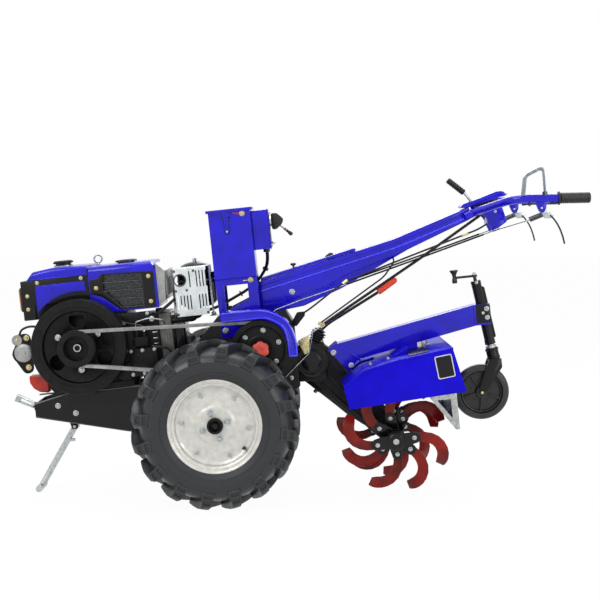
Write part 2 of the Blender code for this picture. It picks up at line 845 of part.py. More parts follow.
def belt(place):
    """One belt round both pulleys, clear of their grooves."""
    def loop(lift):
        ends = ((FLYWHEEL_X, FLYWHEEL_Z, DRIVE_RADIUS), (CLUTCH_X, CLUTCH_Z, CLUTCH_RADIUS))
        radii = [radius - BELT_COVER - BELT_THICKNESS + lift for _, _, radius in ends]
        reach = Vector((CLUTCH_X - FLYWHEEL_X, CLUTCH_Z - FLYWHEEL_Z))
        slope = math.atan2(reach.y, reach.x)
        spread = math.asin((radii[1] - radii[0]) / reach.length)
        points = []
        arcs = ((0, math.pi / 2 + spread, 3 * math.pi / 2 - spread),
                (1, -math.pi / 2 - spread, math.pi / 2 + spread))
        for end, start, finish in arcs:
            for step in range(BELT_STEPS + 1):
                turn = slope + start + (finish - start) * step / BELT_STEPS
                clear = radii[end] / math.cos((finish - start) / BELT_STEPS / 2)
                points.append((ends[end][0] + clear * math.cos(turn),
                               ends[end][1] + clear * math.sin(turn)))
        return points
    inner, outer = loop(0), loop(BELT_THICKNESS)
    bm = bmesh.new()
    rings = [[bm.verts.new((x, place + side * BELT_WIDTH / 2, z)) for x, z in line]
             for line, side in ((inner, -1), (outer, -1), (outer, 1), (inner, 1))]
    for first, second in zip(rings, rings[1:] + rings[:1]):
        for index in range(len(first)):
            beside = (index + 1) % len(first)
            bm.faces.new((first[index], first[beside], second[beside], second[index]))
    return as_object(bm)


BELT_STEPS = 12


def build_belt_drive(machine):
    crank = empty("crank_axis", machine, (FLYWHEEL_X, 0, FLYWHEEL_Z))
    node("flywheel", flywheel(), "black_cast", crank)
    clutch = empty("clutch_axis", machine, (CLUTCH_X, 0, CLUTCH_Z))
    node("clutch_pulley", clutch_pulley(), "black_cast", clutch)
    node("clutch_cap", clutch_cap(), "red_plastic", clutch)
    for name, place in zip(("belt_outer", "belt_inner"), belt_places()):
        node(name, belt(place), "belt_rubber", machine)


# Engine bed and hitch

BED_OUTLINE_SHARES = ((0.00, 0.862), (0.18, 0.970), (0.22, 1.000), (1.00, 1.000),
                      (1.00, 0.000), (0.58, 0.200), (0.00, 0.613))


def bed_line(share):
    """The bed's lower edge at a share of its length."""
    (low_at, low), (high_at, high) = BED_OUTLINE_SHARES[5], BED_OUTLINE_SHARES[6]
    rise = low + (high - low) * (share - low_at) / (high_at - low_at)
    return BED_BOTTOM + (BED_TOP - BED_BOTTOM) * rise


def engine_bed():
    side_view = within(BED_OUTLINE_SHARES, BED_FRONT, BED_REAR, BED_BOTTOM, BED_TOP)
    half = BED_HALF_WIDTH
    rail_front = BED_FRONT + (BED_REAR - BED_FRONT) * BED_OUTLINE_SHARES[2][0]
    rail_low = BED_TOP - BED_WALL
    shapes = [prism(side_view, -half, BED_WALL - half), prism(side_view, half - BED_WALL, half)]
    for right, left in ((-half, BED_RAIL - half), (half - BED_RAIL, half)):
        shapes.append(block(rail_front, BED_REAR, right, left, rail_low, BED_TOP))
    plates = ((BED_FRONT, BED_FRONT + BED_WALL, bed_line(0), front_top()),
              (BED_REAR - BED_WALL, BED_REAR, BED_BOTTOM, BED_TOP),
              (STAND_X - BED_WALL / 2, STAND_X + BED_WALL / 2, stand_floor(), BED_TOP))
    for front, rear, low, high in plates:
        shapes.append(block(front, rear, -half, half, low, high))
    shapes += [stand_bracket(), front_hitch()]
    return fused(shapes)


def front_top():
    return BED_BOTTOM + (BED_TOP - BED_BOTTOM) * BED_OUTLINE_SHARES[0][1]


def stand_floor():
    """Underside of the cross plate over the stand's bracket."""
    return bed_line((STAND_X - BED_FRONT) / (BED_REAR - BED_FRONT))


def stand_bracket():
    """Two ears under the bed with the pin that the stand turns on."""
    ears = []
    for side in (-1, 1):
        near = side * (STAND_RADIUS + CLEARANCE / 2)
        far = near + side * STAND_EAR_WALL
        ear = prism(((STAND_X - STAND_EAR, stand_floor() + OVERRUN),
                     (STAND_X - STAND_EAR / 2, STAND_Z - STAND_EAR / 2),
                     (STAND_X + STAND_EAR / 2, STAND_Z - STAND_EAR / 2),
                     (STAND_X + STAND_EAR, stand_floor() + OVERRUN)),
                    min(near, far), max(near, far))
        ears.append(ear)
    width = STAND_RADIUS + CLEARANCE / 2 + STAND_EAR_WALL
    pin = rod((STAND_X, -width, STAND_Z), (STAND_X, width, STAND_Z), STAND_PIN_RADIUS)
    bar = block(STAND_X - STAND_EAR, STAND_X + STAND_EAR, -width, width,
                stand_floor(), stand_floor() + 2 * OVERRUN)
    return fused([bar, pin] + ears)


def front_stand(machine):
    """The leg that the machine leans on. It swings rearward from its stop."""
    pivot = empty("stand_pivot", machine, (STAND_X, 0, STAND_Z))
    reach = STAND_FOOT_X - STAND_X
    foot_axis = floor_line(STAND_FOOT_X) + STAND_FOOT_RADIUS / math.cos(NOSE_DOWN) - STAND_Z
    leg = rod((0, 0, 0), (reach, 0, foot_axis), STAND_RADIUS, 16)
    knuckle = rod((0, -STAND_RADIUS, 0), (0, STAND_RADIUS, 0), STAND_RADIUS + WELD, 16)
    half = STAND_FOOT_WIDTH / 2
    foot = rod((reach, -half, foot_axis), (reach, half, foot_axis), STAND_FOOT_RADIUS, 16)
    along = Vector((reach, 0, foot_axis)).normalized()
    lug_at = along * STAND_LUG_AT
    lug = rod((lug_at.x, 0, lug_at.z), (lug_at.x + STAND_LUG, 0, lug_at.z), STAND_PIN_RADIUS)
    bore = STAND_PIN_RADIUS + RUNNING_GAP
    hole = rod((0, -STAND_RADIUS - OVERRUN, 0), (0, STAND_RADIUS + OVERRUN, 0), bore)
    node("front_stand", fused([leg, knuckle, foot, lug], [hole]), "zinc", pivot)


def floor_line(x):
    """Height of the floor in the machine's own tilted frame."""
    return -(axle_height() + x * math.sin(NOSE_DOWN)) / math.cos(NOSE_DOWN)


def axle_height():
    """The tyre stands on the flat of its lowest lug."""
    return TYRE_RADIUS * math.cos(LUG_SHARES[1][4] * LUG_WIDTH / 2 / TYRE_RADIUS)


def front_hitch():
    """A bent strap loop that stands up and forward from the bed's front plate."""
    root = BED_FRONT + WELD
    foot_z = front_top() - HITCH_DROP
    route = [(root, 0, foot_z), (root - HITCH_NECK, 0, foot_z)]
    stem = swept(route, flat(HITCH_WIDTH, HITCH_WALL))
    pad = block(root - HITCH_WALL, root, -HITCH_WIDTH / 2, HITCH_WIDTH / 2,
                foot_z - HITCH_WIDTH / 2, foot_z + HITCH_WIDTH / 2)
    start = root - HITCH_NECK + WELD
    loop = [(start, foot_z - HITCH_WALL), (start - HITCH_LENGTH, foot_z + HITCH_RISE),
            (start - HITCH_LENGTH + HITCH_NECK / 2, foot_z + HITCH_RISE + HITCH_LOOP),
            (start + HITCH_NECK / 2, foot_z + HITCH_WALL)]
    half = HITCH_WIDTH / 2
    outer = prism(loop, -half, half)
    return fused([stem, pad, outer], [hitch_eye(loop, half)])


def hitch_eye(loop, half):
    middle = [sum(values) / len(loop) for values in zip(*loop)]
    inner = [(middle[0] + (x - middle[0]) * HITCH_EYE_SHARE,
              middle[1] + (z - middle[1]) * HITCH_EYE_SHARE) for x, z in loop]
    return prism(inner, -half - OVERRUN, half + OVERRUN)


# Engine

def crankcase():
    base = BED_TOP + GAP
    bed_half = BED_HALF_WIDTH - GAP
    body = prism(within(CRANKCASE_SHARES, CRANKCASE_FRONT, CRANKCASE_REAR, base, HOOD_BASE - GAP),
                 CRANKCASE_LEFT, CRANKCASE_RIGHT)
    feet = block(CRANKCASE_FRONT + CASE_INSET, CRANKCASE_REAR - CASE_INSET, -bed_half, bed_half,
                 base, base + CASE_FOOT)
    boss_face_y = FLYWHEEL_WIDTH - FLYWHEEL_FACE + CLEARANCE
    boss = rod((FLYWHEEL_X, boss_face_y, FLYWHEEL_Z),
               (FLYWHEEL_X, CRANKCASE_LEFT + WELD, FLYWHEEL_Z), CASE_BOSS_RADIUS, 20)
    bore = rod((FLYWHEEL_X, boss_face_y - OVERRUN, FLYWHEEL_Z),
               (FLYWHEEL_X, boss_face_y + SHAFT_SEAT + CLEARANCE, FLYWHEEL_Z),
               CRANK_RADIUS + RUNNING_GAP, 40)
    barrel = block(CRANKCASE_REAR - WELD, CYLINDER_REAR, CYLINDER_LEFT, CYLINDER_RIGHT,
                   CYLINDER_LOW, CYLINDER_HIGH)
    cover = rod((FLYWHEEL_X, CRANKCASE_RIGHT - WELD, FLYWHEEL_Z),
                (FLYWHEEL_X, CRANKCASE_RIGHT + CASE_COVER, FLYWHEEL_Z), CASE_COVER_RADIUS, 24)
    return fused([body, feet, boss, barrel, cover], [bore])


CRANKCASE_SHARES = ((0.00, 0.10), (0.06, 0.00), (0.94, 0.00), (1.00, 0.12), (1.00, 0.78),
                    (0.90, 1.00), (0.08, 1.00), (0.00, 0.86))


def cylinder_head():
    front = CYLINDER_REAR + GAP
    body = soft_block(front, front + HEAD_LENGTH, CYLINDER_LEFT, CYLINDER_RIGHT,
                      CYLINDER_LOW, CYLINDER_HIGH, CASE_INSET / 2)
    return fused([body, rocker_cover()])


def head_face():
    return CYLINDER_REAR + GAP + HEAD_LENGTH


def rocker_cover():
    front = head_face() - ROCKER_ROUND
    return soft_block(front, front + ROCKER_LENGTH, CYLINDER_LEFT + CASE_INSET,
                      CYLINDER_RIGHT - CASE_INSET, ROCKER_LOW, ROCKER_HIGH, ROCKER_ROUND, 3)


def muffler():
    """A drum on its side, fed by an elbow from the head, with one pad for its guard."""
    middle = (GUARD_LEFT + GUARD_RIGHT) / 2
    centre_x = (GUARD_FRONT + GUARD_REAR) / 2
    low, high = GUARD_LOW + MUFFLER_INSET, GUARD_HIGH - MUFFLER_INSET
    drum = turned(((low, 0), (low, MUFFLER_RADIUS * MUFFLER_NECK_SHARE),
                   (low + MUFFLER_INSET, MUFFLER_RADIUS), (high - MUFFLER_INSET, MUFFLER_RADIUS),
                   (high, MUFFLER_RADIUS * MUFFLER_NECK_SHARE), (high, 0)),
                  20, (centre_x, middle, 0), (0, 0, 1))
    pipe_z = PIPE_Z
    pipe = tube(((head_face() + GAP, middle, pipe_z), (centre_x, middle, pipe_z),
                 (centre_x, middle, low + 2 * WELD)), PIPE_RADIUS, PIPE_BEND)
    pad_z = (low + high) / 2
    pad = rod((centre_x, middle, pad_z), (centre_x, GUARD_LEFT + SHEET + GAP, pad_z),
              MUFFLER_PAD_RADIUS)
    return fused([drum, pipe, pad])


def guard_plan(inset):
    front, rear = GUARD_FRONT + inset, GUARD_REAR - inset
    near, far = GUARD_LEFT + inset, GUARD_RIGHT
    corners = [(front, far + inset, 0), (front, near, 0), (rear, near, 0), (rear, far + inset, 0)]
    round_off = fillet(corners, GUARD_ROUND - inset, 4)
    return [(point.x, point.y) for point in round_off]


def muffler_guard():
    """A slotted sheet box, open below and towards the engine."""
    shell = layer(guard_plan(0), GUARD_LOW, GUARD_HIGH)
    hollow = layer(guard_plan(SHEET), GUARD_LOW - OVERRUN, GUARD_HIGH - SHEET)
    slots = []
    height = GUARD_HIGH - GUARD_LOW
    for low_share, high_share in GUARD_ROW_SHARES:
        low, high = GUARD_LOW + low_share * height, GUARD_LOW + high_share * height
        for index in range(GUARD_SLOTS):
            x = GUARD_FRONT + GUARD_SLOT_START + index * GUARD_SLOT_PITCH
            slots.append(block(x, x + GUARD_SLOT, GUARD_LEFT - OVERRUN,
                               GUARD_LEFT + SHEET + OVERRUN, low, high))
        for index in range(GUARD_END_SLOTS):
            y = GUARD_LEFT + GUARD_ROUND + index * GUARD_SLOT_PITCH
            slots.append(block(GUARD_REAR - SHEET - OVERRUN, GUARD_REAR + OVERRUN,
                               y, y + GUARD_SLOT, low, high))
    return fused([shell], [hollow] + slots)


GUARD_ROW_SHARES = ((0.14, 0.44), (0.56, 0.88))


def air_cleaner():
    profile = [(AIR_LOW + (AIR_HIGH - AIR_LOW) * up, AIR_RADIUS * out)
               for up, out in AIR_CLEANER_SHARES]
    body = turned(profile, 16, (AIR_X, AIR_Y, 0), (0, 0, 1))
    pipe_z = PIPE_Z
    pipe = tube(((head_face() + GAP, AIR_Y, pipe_z), (AIR_X, AIR_Y, pipe_z),
                 (AIR_X, AIR_Y, AIR_LOW + 2 * WELD)), PIPE_RADIUS, PIPE_BEND)
    stud = rod((AIR_X, AIR_Y, AIR_HIGH - WELD), (AIR_X, AIR_Y, AIR_HIGH + AIR_STUD),
               AIR_STUD_RADIUS, 8)
    return fused([body, pipe, stud])


AIR_CLEANER_SHARES = ((0.00, 0.00), (0.00, 0.60), (0.12, 0.96), (0.72, 1.00), (0.76, 0.84),
                      (0.90, 0.80), (0.98, 0.50), (1.00, 0.00))


# Hood

def radiator_shroud():
    outline = within(SHROUD_SHARES, SHROUD_FRONT, SHROUD_REAR, HOOD_BASE, SHROUD_TOP)
    body = prism(outline, HOOD_LEFT, HOOD_RIGHT)
    pockets = []
    grille = grille_outline(GRILLE_LIP)
    depth = GRILLE_WALL + GRILLE_POCKET
    pockets.append(prism(grille, HOOD_LEFT - OVERRUN, HOOD_LEFT + depth))
    pockets.append(prism(grille, HOOD_RIGHT - depth, HOOD_RIGHT + OVERRUN))
    return fused([body] + lifting_eye(), pockets)


SHROUD_SHARES = ((0.00, 0.00), (1.00, 0.00), (1.00, 0.80), (0.94, 1.00), (0.00, 1.00))
GRILLE_SHARES = ((0.02, 0.43), (0.18, 0.35), (0.44, 0.04), (0.96, 0.03), (0.97, 0.78),
                 (0.21, 0.84), (0.16, 0.75), (0.02, 0.72))


def grille_outline(inset):
    outline = within(GRILLE_SHARES, SHROUD_FRONT, SHROUD_REAR, HOOD_BASE, SHROUD_TOP)
    middle_x = (SHROUD_FRONT + SHROUD_REAR) / 2
    middle_z = (HOOD_BASE + SHROUD_TOP) / 2
    half_length, half_height = (SHROUD_REAR - SHROUD_FRONT) / 2, (SHROUD_TOP - HOOD_BASE) / 2
    stretch = 1 - inset / half_length, 1 - inset / half_height
    return [(middle_x + (x - middle_x) * stretch[0], middle_z + (z - middle_z) * stretch[1])
            for x, z in outline]


def grille(side):
    """A side screen: slanted ribs divide four bands of hexagonal holes."""
    face = HOOD_LEFT if side < 0 else HOOD_RIGHT
    outer, inner = face + side * GRILLE_WALL, face + side * GAP
    plate = prism(grille_outline(0), min(outer, inner), max(outer, inner))
    ribs, holes = [], []
    near, far = min(face, outer) - OVERRUN, max(face, outer) + OVERRUN
    outline = grille_outline(GRILLE_LIP + GRILLE_HOLE)
    rows = int((SHROUD_TOP - HOOD_BASE) / GRILLE_PITCH) + 1
    columns = int((SHROUD_REAR - SHROUD_FRONT) / GRILLE_PITCH) + 1
    for row in range(rows):
        z = HOOD_BASE + row * GRILLE_PITCH * ROW_SHARE
        for column in range(columns):
            x = SHROUD_FRONT + (column + (row % 2) / 2) * GRILLE_PITCH
            if inside(outline, x, z) and not on_rib(x, z):
                points = [(x + GRILLE_HOLE * math.sin(turn * math.pi / 3),
                           z + GRILLE_HOLE * math.cos(turn * math.pi / 3)) for turn in range(6)]
                holes.append(prism(points, near, far))
    return fused([plate] + ribs, holes)


ROW_SHARE = math.sqrt(3) / 2


def inside(outline, x, z):
    """Whether a point lies inside an outline."""
    within_it = False
    for (x_a, z_a), (x_b, z_b) in zip(outline, outline[1:] + outline[:1]):
        if (z_a > z) != (z_b > z) and x < x_a + (x_b - x_a) * (z - z_a) / (z_b - z_a):
            within_it = not within_it
    return within_it


def on_rib(x, z):
    """Whether a hole would meet one of the slanted lines between the bands."""
    along = (x - SHROUD_FRONT) - (z - HOOD_BASE) * RIB_SLANT
    place = along % RIB_PITCH
    return min(place, RIB_PITCH - place) < GRILLE_HOLE


def fuel_tank():
    outline = within(TANK_SHARES, TANK_FRONT, SHROUD_FRONT - GAP, TANK_BASE, TANK_TOP)
    centre = (TANK_FRONT + SHROUD_FRONT) / 2
    neck = rod((centre, ENGINE_Y, TANK_BASE + TANK_NECK), (centre, ENGINE_Y, TANK_TOP + TANK_NECK),
               FUEL_CAP_RADIUS * CAP_NECK_SHARE, 20)
    return fused([prism(outline, HOOD_LEFT, HOOD_RIGHT), neck])


TANK_SHARES = ((0.00, 0.00), (1.00, 0.00), (1.00, 0.90), (0.42, 1.00), (0.10, 0.78), (0.00, 0.10))


def tank_housing():
    """The black housing under the tank, with its nose panel and raised side panels."""
    rear = SHROUD_FRONT - GAP
    high = TANK_BASE - GAP
    core = block(PANEL_REAR, rear, HOOD_LEFT + PANEL_WALL, HOOD_RIGHT - PANEL_WALL, HOOD_BASE, high)
    panels = block(PANEL_REAR, rear, HOOD_LEFT, HOOD_RIGHT, PANEL_LOW, high)
    nose = soft_block(PANEL_FRONT, PANEL_REAR + PANEL_WALL, HOOD_LEFT, HOOD_RIGHT, HOOD_BASE, high,
                      PANEL_WALL)
    return fused([core, panels, nose])


def lamp(side):
    near = HOOD_LEFT + LAMP_INSET if side < 0 else HOOD_RIGHT - LAMP_INSET - LAMP_WIDTH
    return soft_block(PANEL_FRONT - LAMP_DEPTH, PANEL_FRONT - GAP, near, near + LAMP_WIDTH,
                      LAMP_LOW, LAMP_HIGH, LAMP_DEPTH / 3)


def cap(x, seat, radius, height):
    return turned(((seat, 0), (seat, radius * CAP_NECK_SHARE), (seat + height / 3, radius),
                   (seat + height * 0.8, radius), (seat + height, radius * CAP_NECK_SHARE),
                   (seat + height, 0)), 20, (x, ENGINE_Y, 0), (0, 0, 1))


CAP_NECK_SHARE = 0.82


def lifting_eye():
    centre_z = SHROUD_TOP + GAP + EYE_STEM + EYE_RADIUS
    ring = turned([(EYE_BAR * math.cos(turn), EYE_RADIUS - EYE_BAR + EYE_BAR * math.sin(turn))
                   for turn in (math.pi * step / 4 for step in range(8))],
                  20, (EYE_X, ENGINE_Y, centre_z), ring=True)
    stem = rod((EYE_X, ENGINE_Y, SHROUD_TOP - WELD),
               (EYE_X, ENGINE_Y, centre_z - EYE_RADIUS + EYE_BAR), EYE_BAR)
    return [ring, stem]


def generator():
    """A small dynamo on a plate, held to the front of the crankcase."""
    middle = GENERATOR_Y
    half = GENERATOR_LENGTH / 2
    body = rod((GENERATOR_X, middle - half, GENERATOR_Z), (GENERATOR_X, middle + half, GENERATOR_Z),
               GENERATOR_RADIUS, 20)
    neck = block(GENERATOR_X, CRANKCASE_FRONT - GAP, middle - half / 2, middle + half / 2,
                 GENERATOR_Z - GENERATOR_RADIUS / 2, GENERATOR_Z + GENERATOR_RADIUS / 2)
    plate_y = middle - half
    ears = within(GENERATOR_PLATE_SHARES, GENERATOR_X - GENERATOR_PLATE / 2,
                  GENERATOR_X + GENERATOR_PLATE / 2, GENERATOR_Z - GENERATOR_PLATE,
                  GENERATOR_Z + GENERATOR_PLATE)
    plate = prism([(point.x, point.z) for point in fillet([(x, 0, z) for x, z in ears],
                   GENERATOR_PLATE / 4, 3, True)], plate_y - GENERATOR_WALL, plate_y + WELD)
    return fused([body, neck, plate])


GENERATOR_PLATE_SHARES = ((0.00, 0.50), (0.55, 0.02), (0.95, 0.05), (1.00, 0.50),
                          (0.95, 0.95), (0.50, 0.98))


def gear_cover():
    """The red cover low on the crankcase's front."""
    outline = within(GEAR_COVER_SHARES, GEAR_COVER_FRONT, CRANKCASE_FRONT - GAP,
                     BED_TOP + CLEARANCE, GEAR_COVER_TOP)
    return prism(outline, CRANKCASE_LEFT, GENERATOR_Y)


GEAR_COVER_SHARES = ((0.00, 0.62), (0.18, 0.30), (0.48, 0.08), (1.00, 0.00), (1.00, 1.00),
                     (0.00, 1.00))


def build_engine(machine):
    front_stand(machine)
    centre = TANK_FRONT + (SHROUD_FRONT - TANK_FRONT) / 2
    tank_seat = TANK_TOP + TANK_NECK + GAP
    pieces = (
        ("engine_bed", engine_bed(), "black_paint"),
        ("crankcase", crankcase(), "black_cast"),
        ("cylinder_head", cylinder_head(), "grey_cast"),
        ("muffler", muffler(), "black_cast"),
        ("muffler_guard", muffler_guard(), "guard_steel"),
        ("air_cleaner", air_cleaner(), "black_paint"),
        ("radiator_shroud", radiator_shroud(), "blue_paint"),
        ("grille_left", grille(-1), "black_paint"),
        ("grille_right", grille(1), "black_paint"),
        ("fuel_tank", fuel_tank(), "blue_paint"),
        ("tank_housing", tank_housing(), "black_paint"),
        ("front_lamp_left", lamp(-1), "amber_lens"),
        ("front_lamp_right", lamp(1), "amber_lens"),
        ("fuel_cap", cap(centre, tank_seat, FUEL_CAP_RADIUS, FUEL_CAP_HEIGHT), "black_plastic"),
        ("radiator_cap", cap(RADIATOR_CAP_X, SHROUD_TOP + GAP, RADIATOR_CAP_RADIUS,
                             RADIATOR_CAP_HEIGHT), "black_plastic"),
        ("generator", generator(), "black_cast"),
        ("gear_cover", gear_cover(), "red_paint"),
    )
    for name, shape, paint in pieces:
        node(name, shape, paint, machine)


# Gearbox and belt guard

GEARBOX_SHARES = ((0.00, 0.03), (0.42, 0.00), (0.70, 0.18), (1.00, 0.35), (1.00, 0.88),
                  (0.93, 1.00), (0.30, 1.00), (0.11, 0.82), (0.00, 0.48))


def gearbox():
    half = GEARBOX_HALF_WIDTH
    outline = within(GEARBOX_SHARES, BED_REAR + GAP, GEARBOX_REAR, GEARBOX_LOW, GEARBOX_TOP)
    shapes = [prism(outline, -half, half)]
    cutters = []
    for side in (-1, 1):
        shapes.append(rod((0, side * (half - WELD), 0), (0, side * TRUMPET_END, 0),
                          TRUMPET_RADIUS, 16))
        shapes.append(rod((0, side * (half - WELD), 0), (0, side * (half + TRUMPET_FLANGE), 0),
                          TRUMPET_RADIUS + TRUMPET_FLANGE, 16))
        cutters.append(rod((0, side * (TRUMPET_END - SHAFT_SEAT - CLEARANCE), 0),
                           (0, side * (TRUMPET_END + OVERRUN), 0),
                           SHAFT_RADIUS + RUNNING_GAP, 16))
    boss_end = -boss_face()
    shapes.append(rod((CLUTCH_X, WELD - half, CLUTCH_Z), (CLUTCH_X, boss_end, CLUTCH_Z),
                      2 * CLUTCH_SHAFT_RADIUS, 16))
    cutters.append(rod((CLUTCH_X, boss_end - OVERRUN, CLUTCH_Z),
                       (CLUTCH_X, boss_end + SHAFT_SEAT + CLEARANCE, CLUTCH_Z),
                       CLUTCH_SHAFT_RADIUS + RUNNING_GAP, 16))
    return fused(shapes, cutters)


# Outer edge of the guard: shares of its length and height
GUARD_LINE_SHARES = ((0.00, 1.00), (0.62, 1.00), (0.92, 0.72), (1.00, 0.30), (1.00, 0.00))


def belt_guard():
    line = within(GUARD_LINE_SHARES, BELT_GUARD_FRONT, BELT_GUARD_REAR, BELT_GUARD_LOW,
                  BELT_GUARD_TOP)
    outer = fillet([(x, 0, z) for x, z in line], BELT_GUARD_BEND, 4)
    face = band(outer, BELT_GUARD_DEPTH, BELT_GUARD_FACE, BELT_GUARD_FACE + SHEET)
    strip = band(outer, SHEET, BELT_GUARD_FACE, BELT_GUARD_BACK)
    seat = -stand_face() - GAP
    tab = block(BELT_GUARD_FRONT, BELT_GUARD_FRONT + BELT_GUARD_TAB, BELT_GUARD_BACK - WELD, seat,
                BELT_GUARD_TOP - SHEET, BELT_GUARD_TOP)
    foot = block(BELT_GUARD_FRONT, BELT_GUARD_FRONT + BELT_GUARD_TAB, seat - SHEET, seat,
                 BELT_GUARD_TOP - BELT_GUARD_TAB, BELT_GUARD_TOP)
    return fused([face, strip, tab, foot])


def band(line, depth, right, left):
    """A strip that follows a line on its inner side, as deep as given."""
    inner = []
    for index, point in enumerate(line):
        before, after = line[max(index - 1, 0)], line[min(index + 1, len(line) - 1)]
        ahead = (after - before).normalized()
        inner.append(point + Vector((-ahead.z, 0, ahead.x)) * -depth)
    outline = [(point.x, point.z) for point in list(line) + inner[::-1]]
    bm = bmesh.new()
    count = len(line)
    rings = []
    for place in (right, left):
        rings.append([bm.verts.new((x, place, z)) for x, z in outline])
    for index in range(count - 1):
        opposite = 2 * count - 1 - index
        for ring in rings:
            bm.faces.new((ring[index], ring[index + 1], ring[opposite - 1], ring[opposite]))
    for index in range(2 * count):
        beside = (index + 1) % (2 * count)
        bm.faces.new((rings[0][index], rings[0][beside], rings[1][beside], rings[1][index]))
    return as_object(bm)


# Battery stand and boxes

def stand_face():
    """Outer face of the battery stand's side plates."""
    return GEARBOX_HALF_WIDTH + GAP + STAND_PLATE


STAND_SIDE_SHARES = ((0.03, 0.00), (0.40, 0.00), (1.00, 0.36), (1.00, 1.00), (0.00, 1.00))
STAND_WINDOW_SHARES = ((0.20, 0.46), (0.76, 0.62), (0.76, 0.88), (0.20, 0.88))


def battery_stand():
    box = (BOX_FRONT, BOX_REAR, GEARBOX_TOP - STAND_DROP, BOX_SEAT)
    sides, windows = [], []
    inner = GEARBOX_HALF_WIDTH + GAP
    for side in (-1, 1):
        near, far = sorted((side * inner, side * stand_face()))
        sides.append(prism(within(STAND_SIDE_SHARES, *box), near, far))
        windows.append(prism(within(STAND_WINDOW_SHARES, *box), near - OVERRUN, far + OVERRUN))
    top = block(BOX_FRONT, BOX_REAR, -inner - WELD, inner + WELD, BOX_SEAT - STAND_PLATE, BOX_SEAT)
    return fused(sides + [top], windows)


def box_y():
    return BOX_WIDTH / 2


def battery_box():
    half = box_y()
    low = BOX_SEAT + GAP
    shell = block(BOX_FRONT, BOX_REAR, -half, half, low, BOX_TOP)
    hollow = block(BOX_FRONT + SHEET, BOX_REAR - SHEET, SHEET - half, half - SHEET,
                   low + SHEET, BOX_TOP + OVERRUN)
    leaf_top = hinge_z() - HINGE_RADIUS - RUNNING_GAP
    leaf = block(BOX_FRONT + LID_LIP, BOX_REAR - LID_LIP, half - SHEET / 2,
                 half + 2 * HINGE_RADIUS, leaf_top - 2 * HINGE_RADIUS, leaf_top)
    return combined(fused([shell, leaf], [hollow]), [switch_box()], "UNION")


def hinge_y():
    return box_y() + HINGE_RADIUS + GAP


def hinge_z():
    return BOX_TOP + GAP + SHEET / 2


def battery_lid(machine):
    """A shallow lid with a lip on three sides, hinged on the far side."""
    pivot = empty("lid_hinge", machine, ((BOX_FRONT + BOX_REAR) / 2, hinge_y(), hinge_z()))
    half = box_y()
    length = (BOX_REAR - BOX_FRONT) / 2 + LID_LIP
    under = GAP - SHEET / 2 - GAP
    near = -hinge_y() - half
    top = block(-length, length, near - LID_LIP, -HINGE_RADIUS / 2, under, under + SHEET)
    lip_inner = length - SHEET
    far_lip = -2 * HINGE_RADIUS - LID_LIP
    lips = [block(-length, -lip_inner, near - LID_LIP, far_lip, under - LID_DEPTH, under + WELD / 2),
            block(lip_inner, length, near - LID_LIP, far_lip, under - LID_DEPTH, under + WELD / 2),
            block(-length, length, near - LID_LIP, near - LID_LIP + SHEET, under - LID_DEPTH,
                  under + WELD / 2)]
    barrel = rod((LID_LIP - length + LID_LIP, 0, 0), (length - 2 * LID_LIP, 0, 0), HINGE_RADIUS, 12)
    node("battery_lid", fused([top, barrel] + lips), "blue_paint", pivot)


def battery():
    low = BOX_SEAT + 2 * GAP + SHEET
    inset = SHEET + BATTERY_ROOM
    body = soft_block(BOX_FRONT + inset, BOX_REAR - inset, inset - box_y(), box_y() - inset,
                      low, low + BATTERY_HEIGHT, SHEET, 1)
    return body


def switch_box():
    box = block(BOX_REAR - WELD, SWITCH_REAR, -SWITCH_HALF_WIDTH, SWITCH_HALF_WIDTH,
                SWITCH_LOW, SWITCH_HIGH)
    return fused([box] + light_switch())


SWITCH_SHARES = ((0.00, 0.00), (0.30, 0.02), (0.90, 0.36), (1.00, 0.62), (0.55, 1.00),
                 (0.00, 0.96))


def light_switch():
    """A hooded housing with one toggle."""
    front, rear = SWITCH_REAR - WELD, SWITCH_REAR + TOGGLE_LENGTH
    high = SWITCH_HIGH - TOGGLE_DROP
    outline = within(SWITCH_SHARES, front, rear, high - TOGGLE_HEIGHT, high)
    body = prism(outline, -TOGGLE_WIDTH / 2, TOGGLE_WIDTH / 2)
    root = (rear - 2 * WELD, 0, high - TOGGLE_HEIGHT / 2)
    tip = (root[0] + TOGGLE_ARM, 0, root[2] - TOGGLE_ARM)
    arm = rod(root, tip, TOGGLE_RADIUS, 8)
    return [body, arm]


# Route of the battery lead, held by the boxes and the cylinder head, in metres
LEAD_ROUTE = ((0.250, 0.020, 0.6310), (0.250, 0.022, 0.600), (0.244, 0.040, 0.565),
              (0.226, 0.062, 0.535), (0.196, 0.068, 0.500), (0.150, 0.066, 0.470),
              (0.100, 0.056, 0.448), (0.050, 0.040, 0.425), (0.000, 0.026, 0.410),
              (-0.060, 0.020, 0.405), (-0.110, 0.020, 0.405), (-0.1475, 0.020, 0.405))


def battery_lead():
    points = [Vector(point) for point in LEAD_ROUTE]
    smooth = []
    for index in range(len(points) - 1):
        before = points[max(index - 1, 0)]
        after = points[min(index + 2, len(points) - 1)]
        start, finish = points[index], points[index + 1]
        for step in range(2):
            t = step / 2
            smooth.append((start * 2 + (finish - before) * t
                           + (before * 2 - start * 5 + finish * 4 - after) * t ** 2
                           + (start * 3 - before - finish * 3 + after) * t ** 3) / 2)
    smooth.append(points[-1])
    curve = bpy.data.curves.new("battery_lead", "CURVE")
    curve.dimensions = "3D"
    spline = curve.splines.new("POLY")
    spline.points.add(len(smooth) - 1)
    for spot, point in zip(spline.points, smooth):
        spot.co = (*point, 1)
    curve.bevel_depth = LEAD_RADIUS
    curve.bevel_resolution = 2
    curve.use_fill_caps = True
    lead = bpy.data.objects.new("battery_lead", curve)
    bpy.context.scene.collection.objects.link(lead)
    return lead


# Handle beam and controls

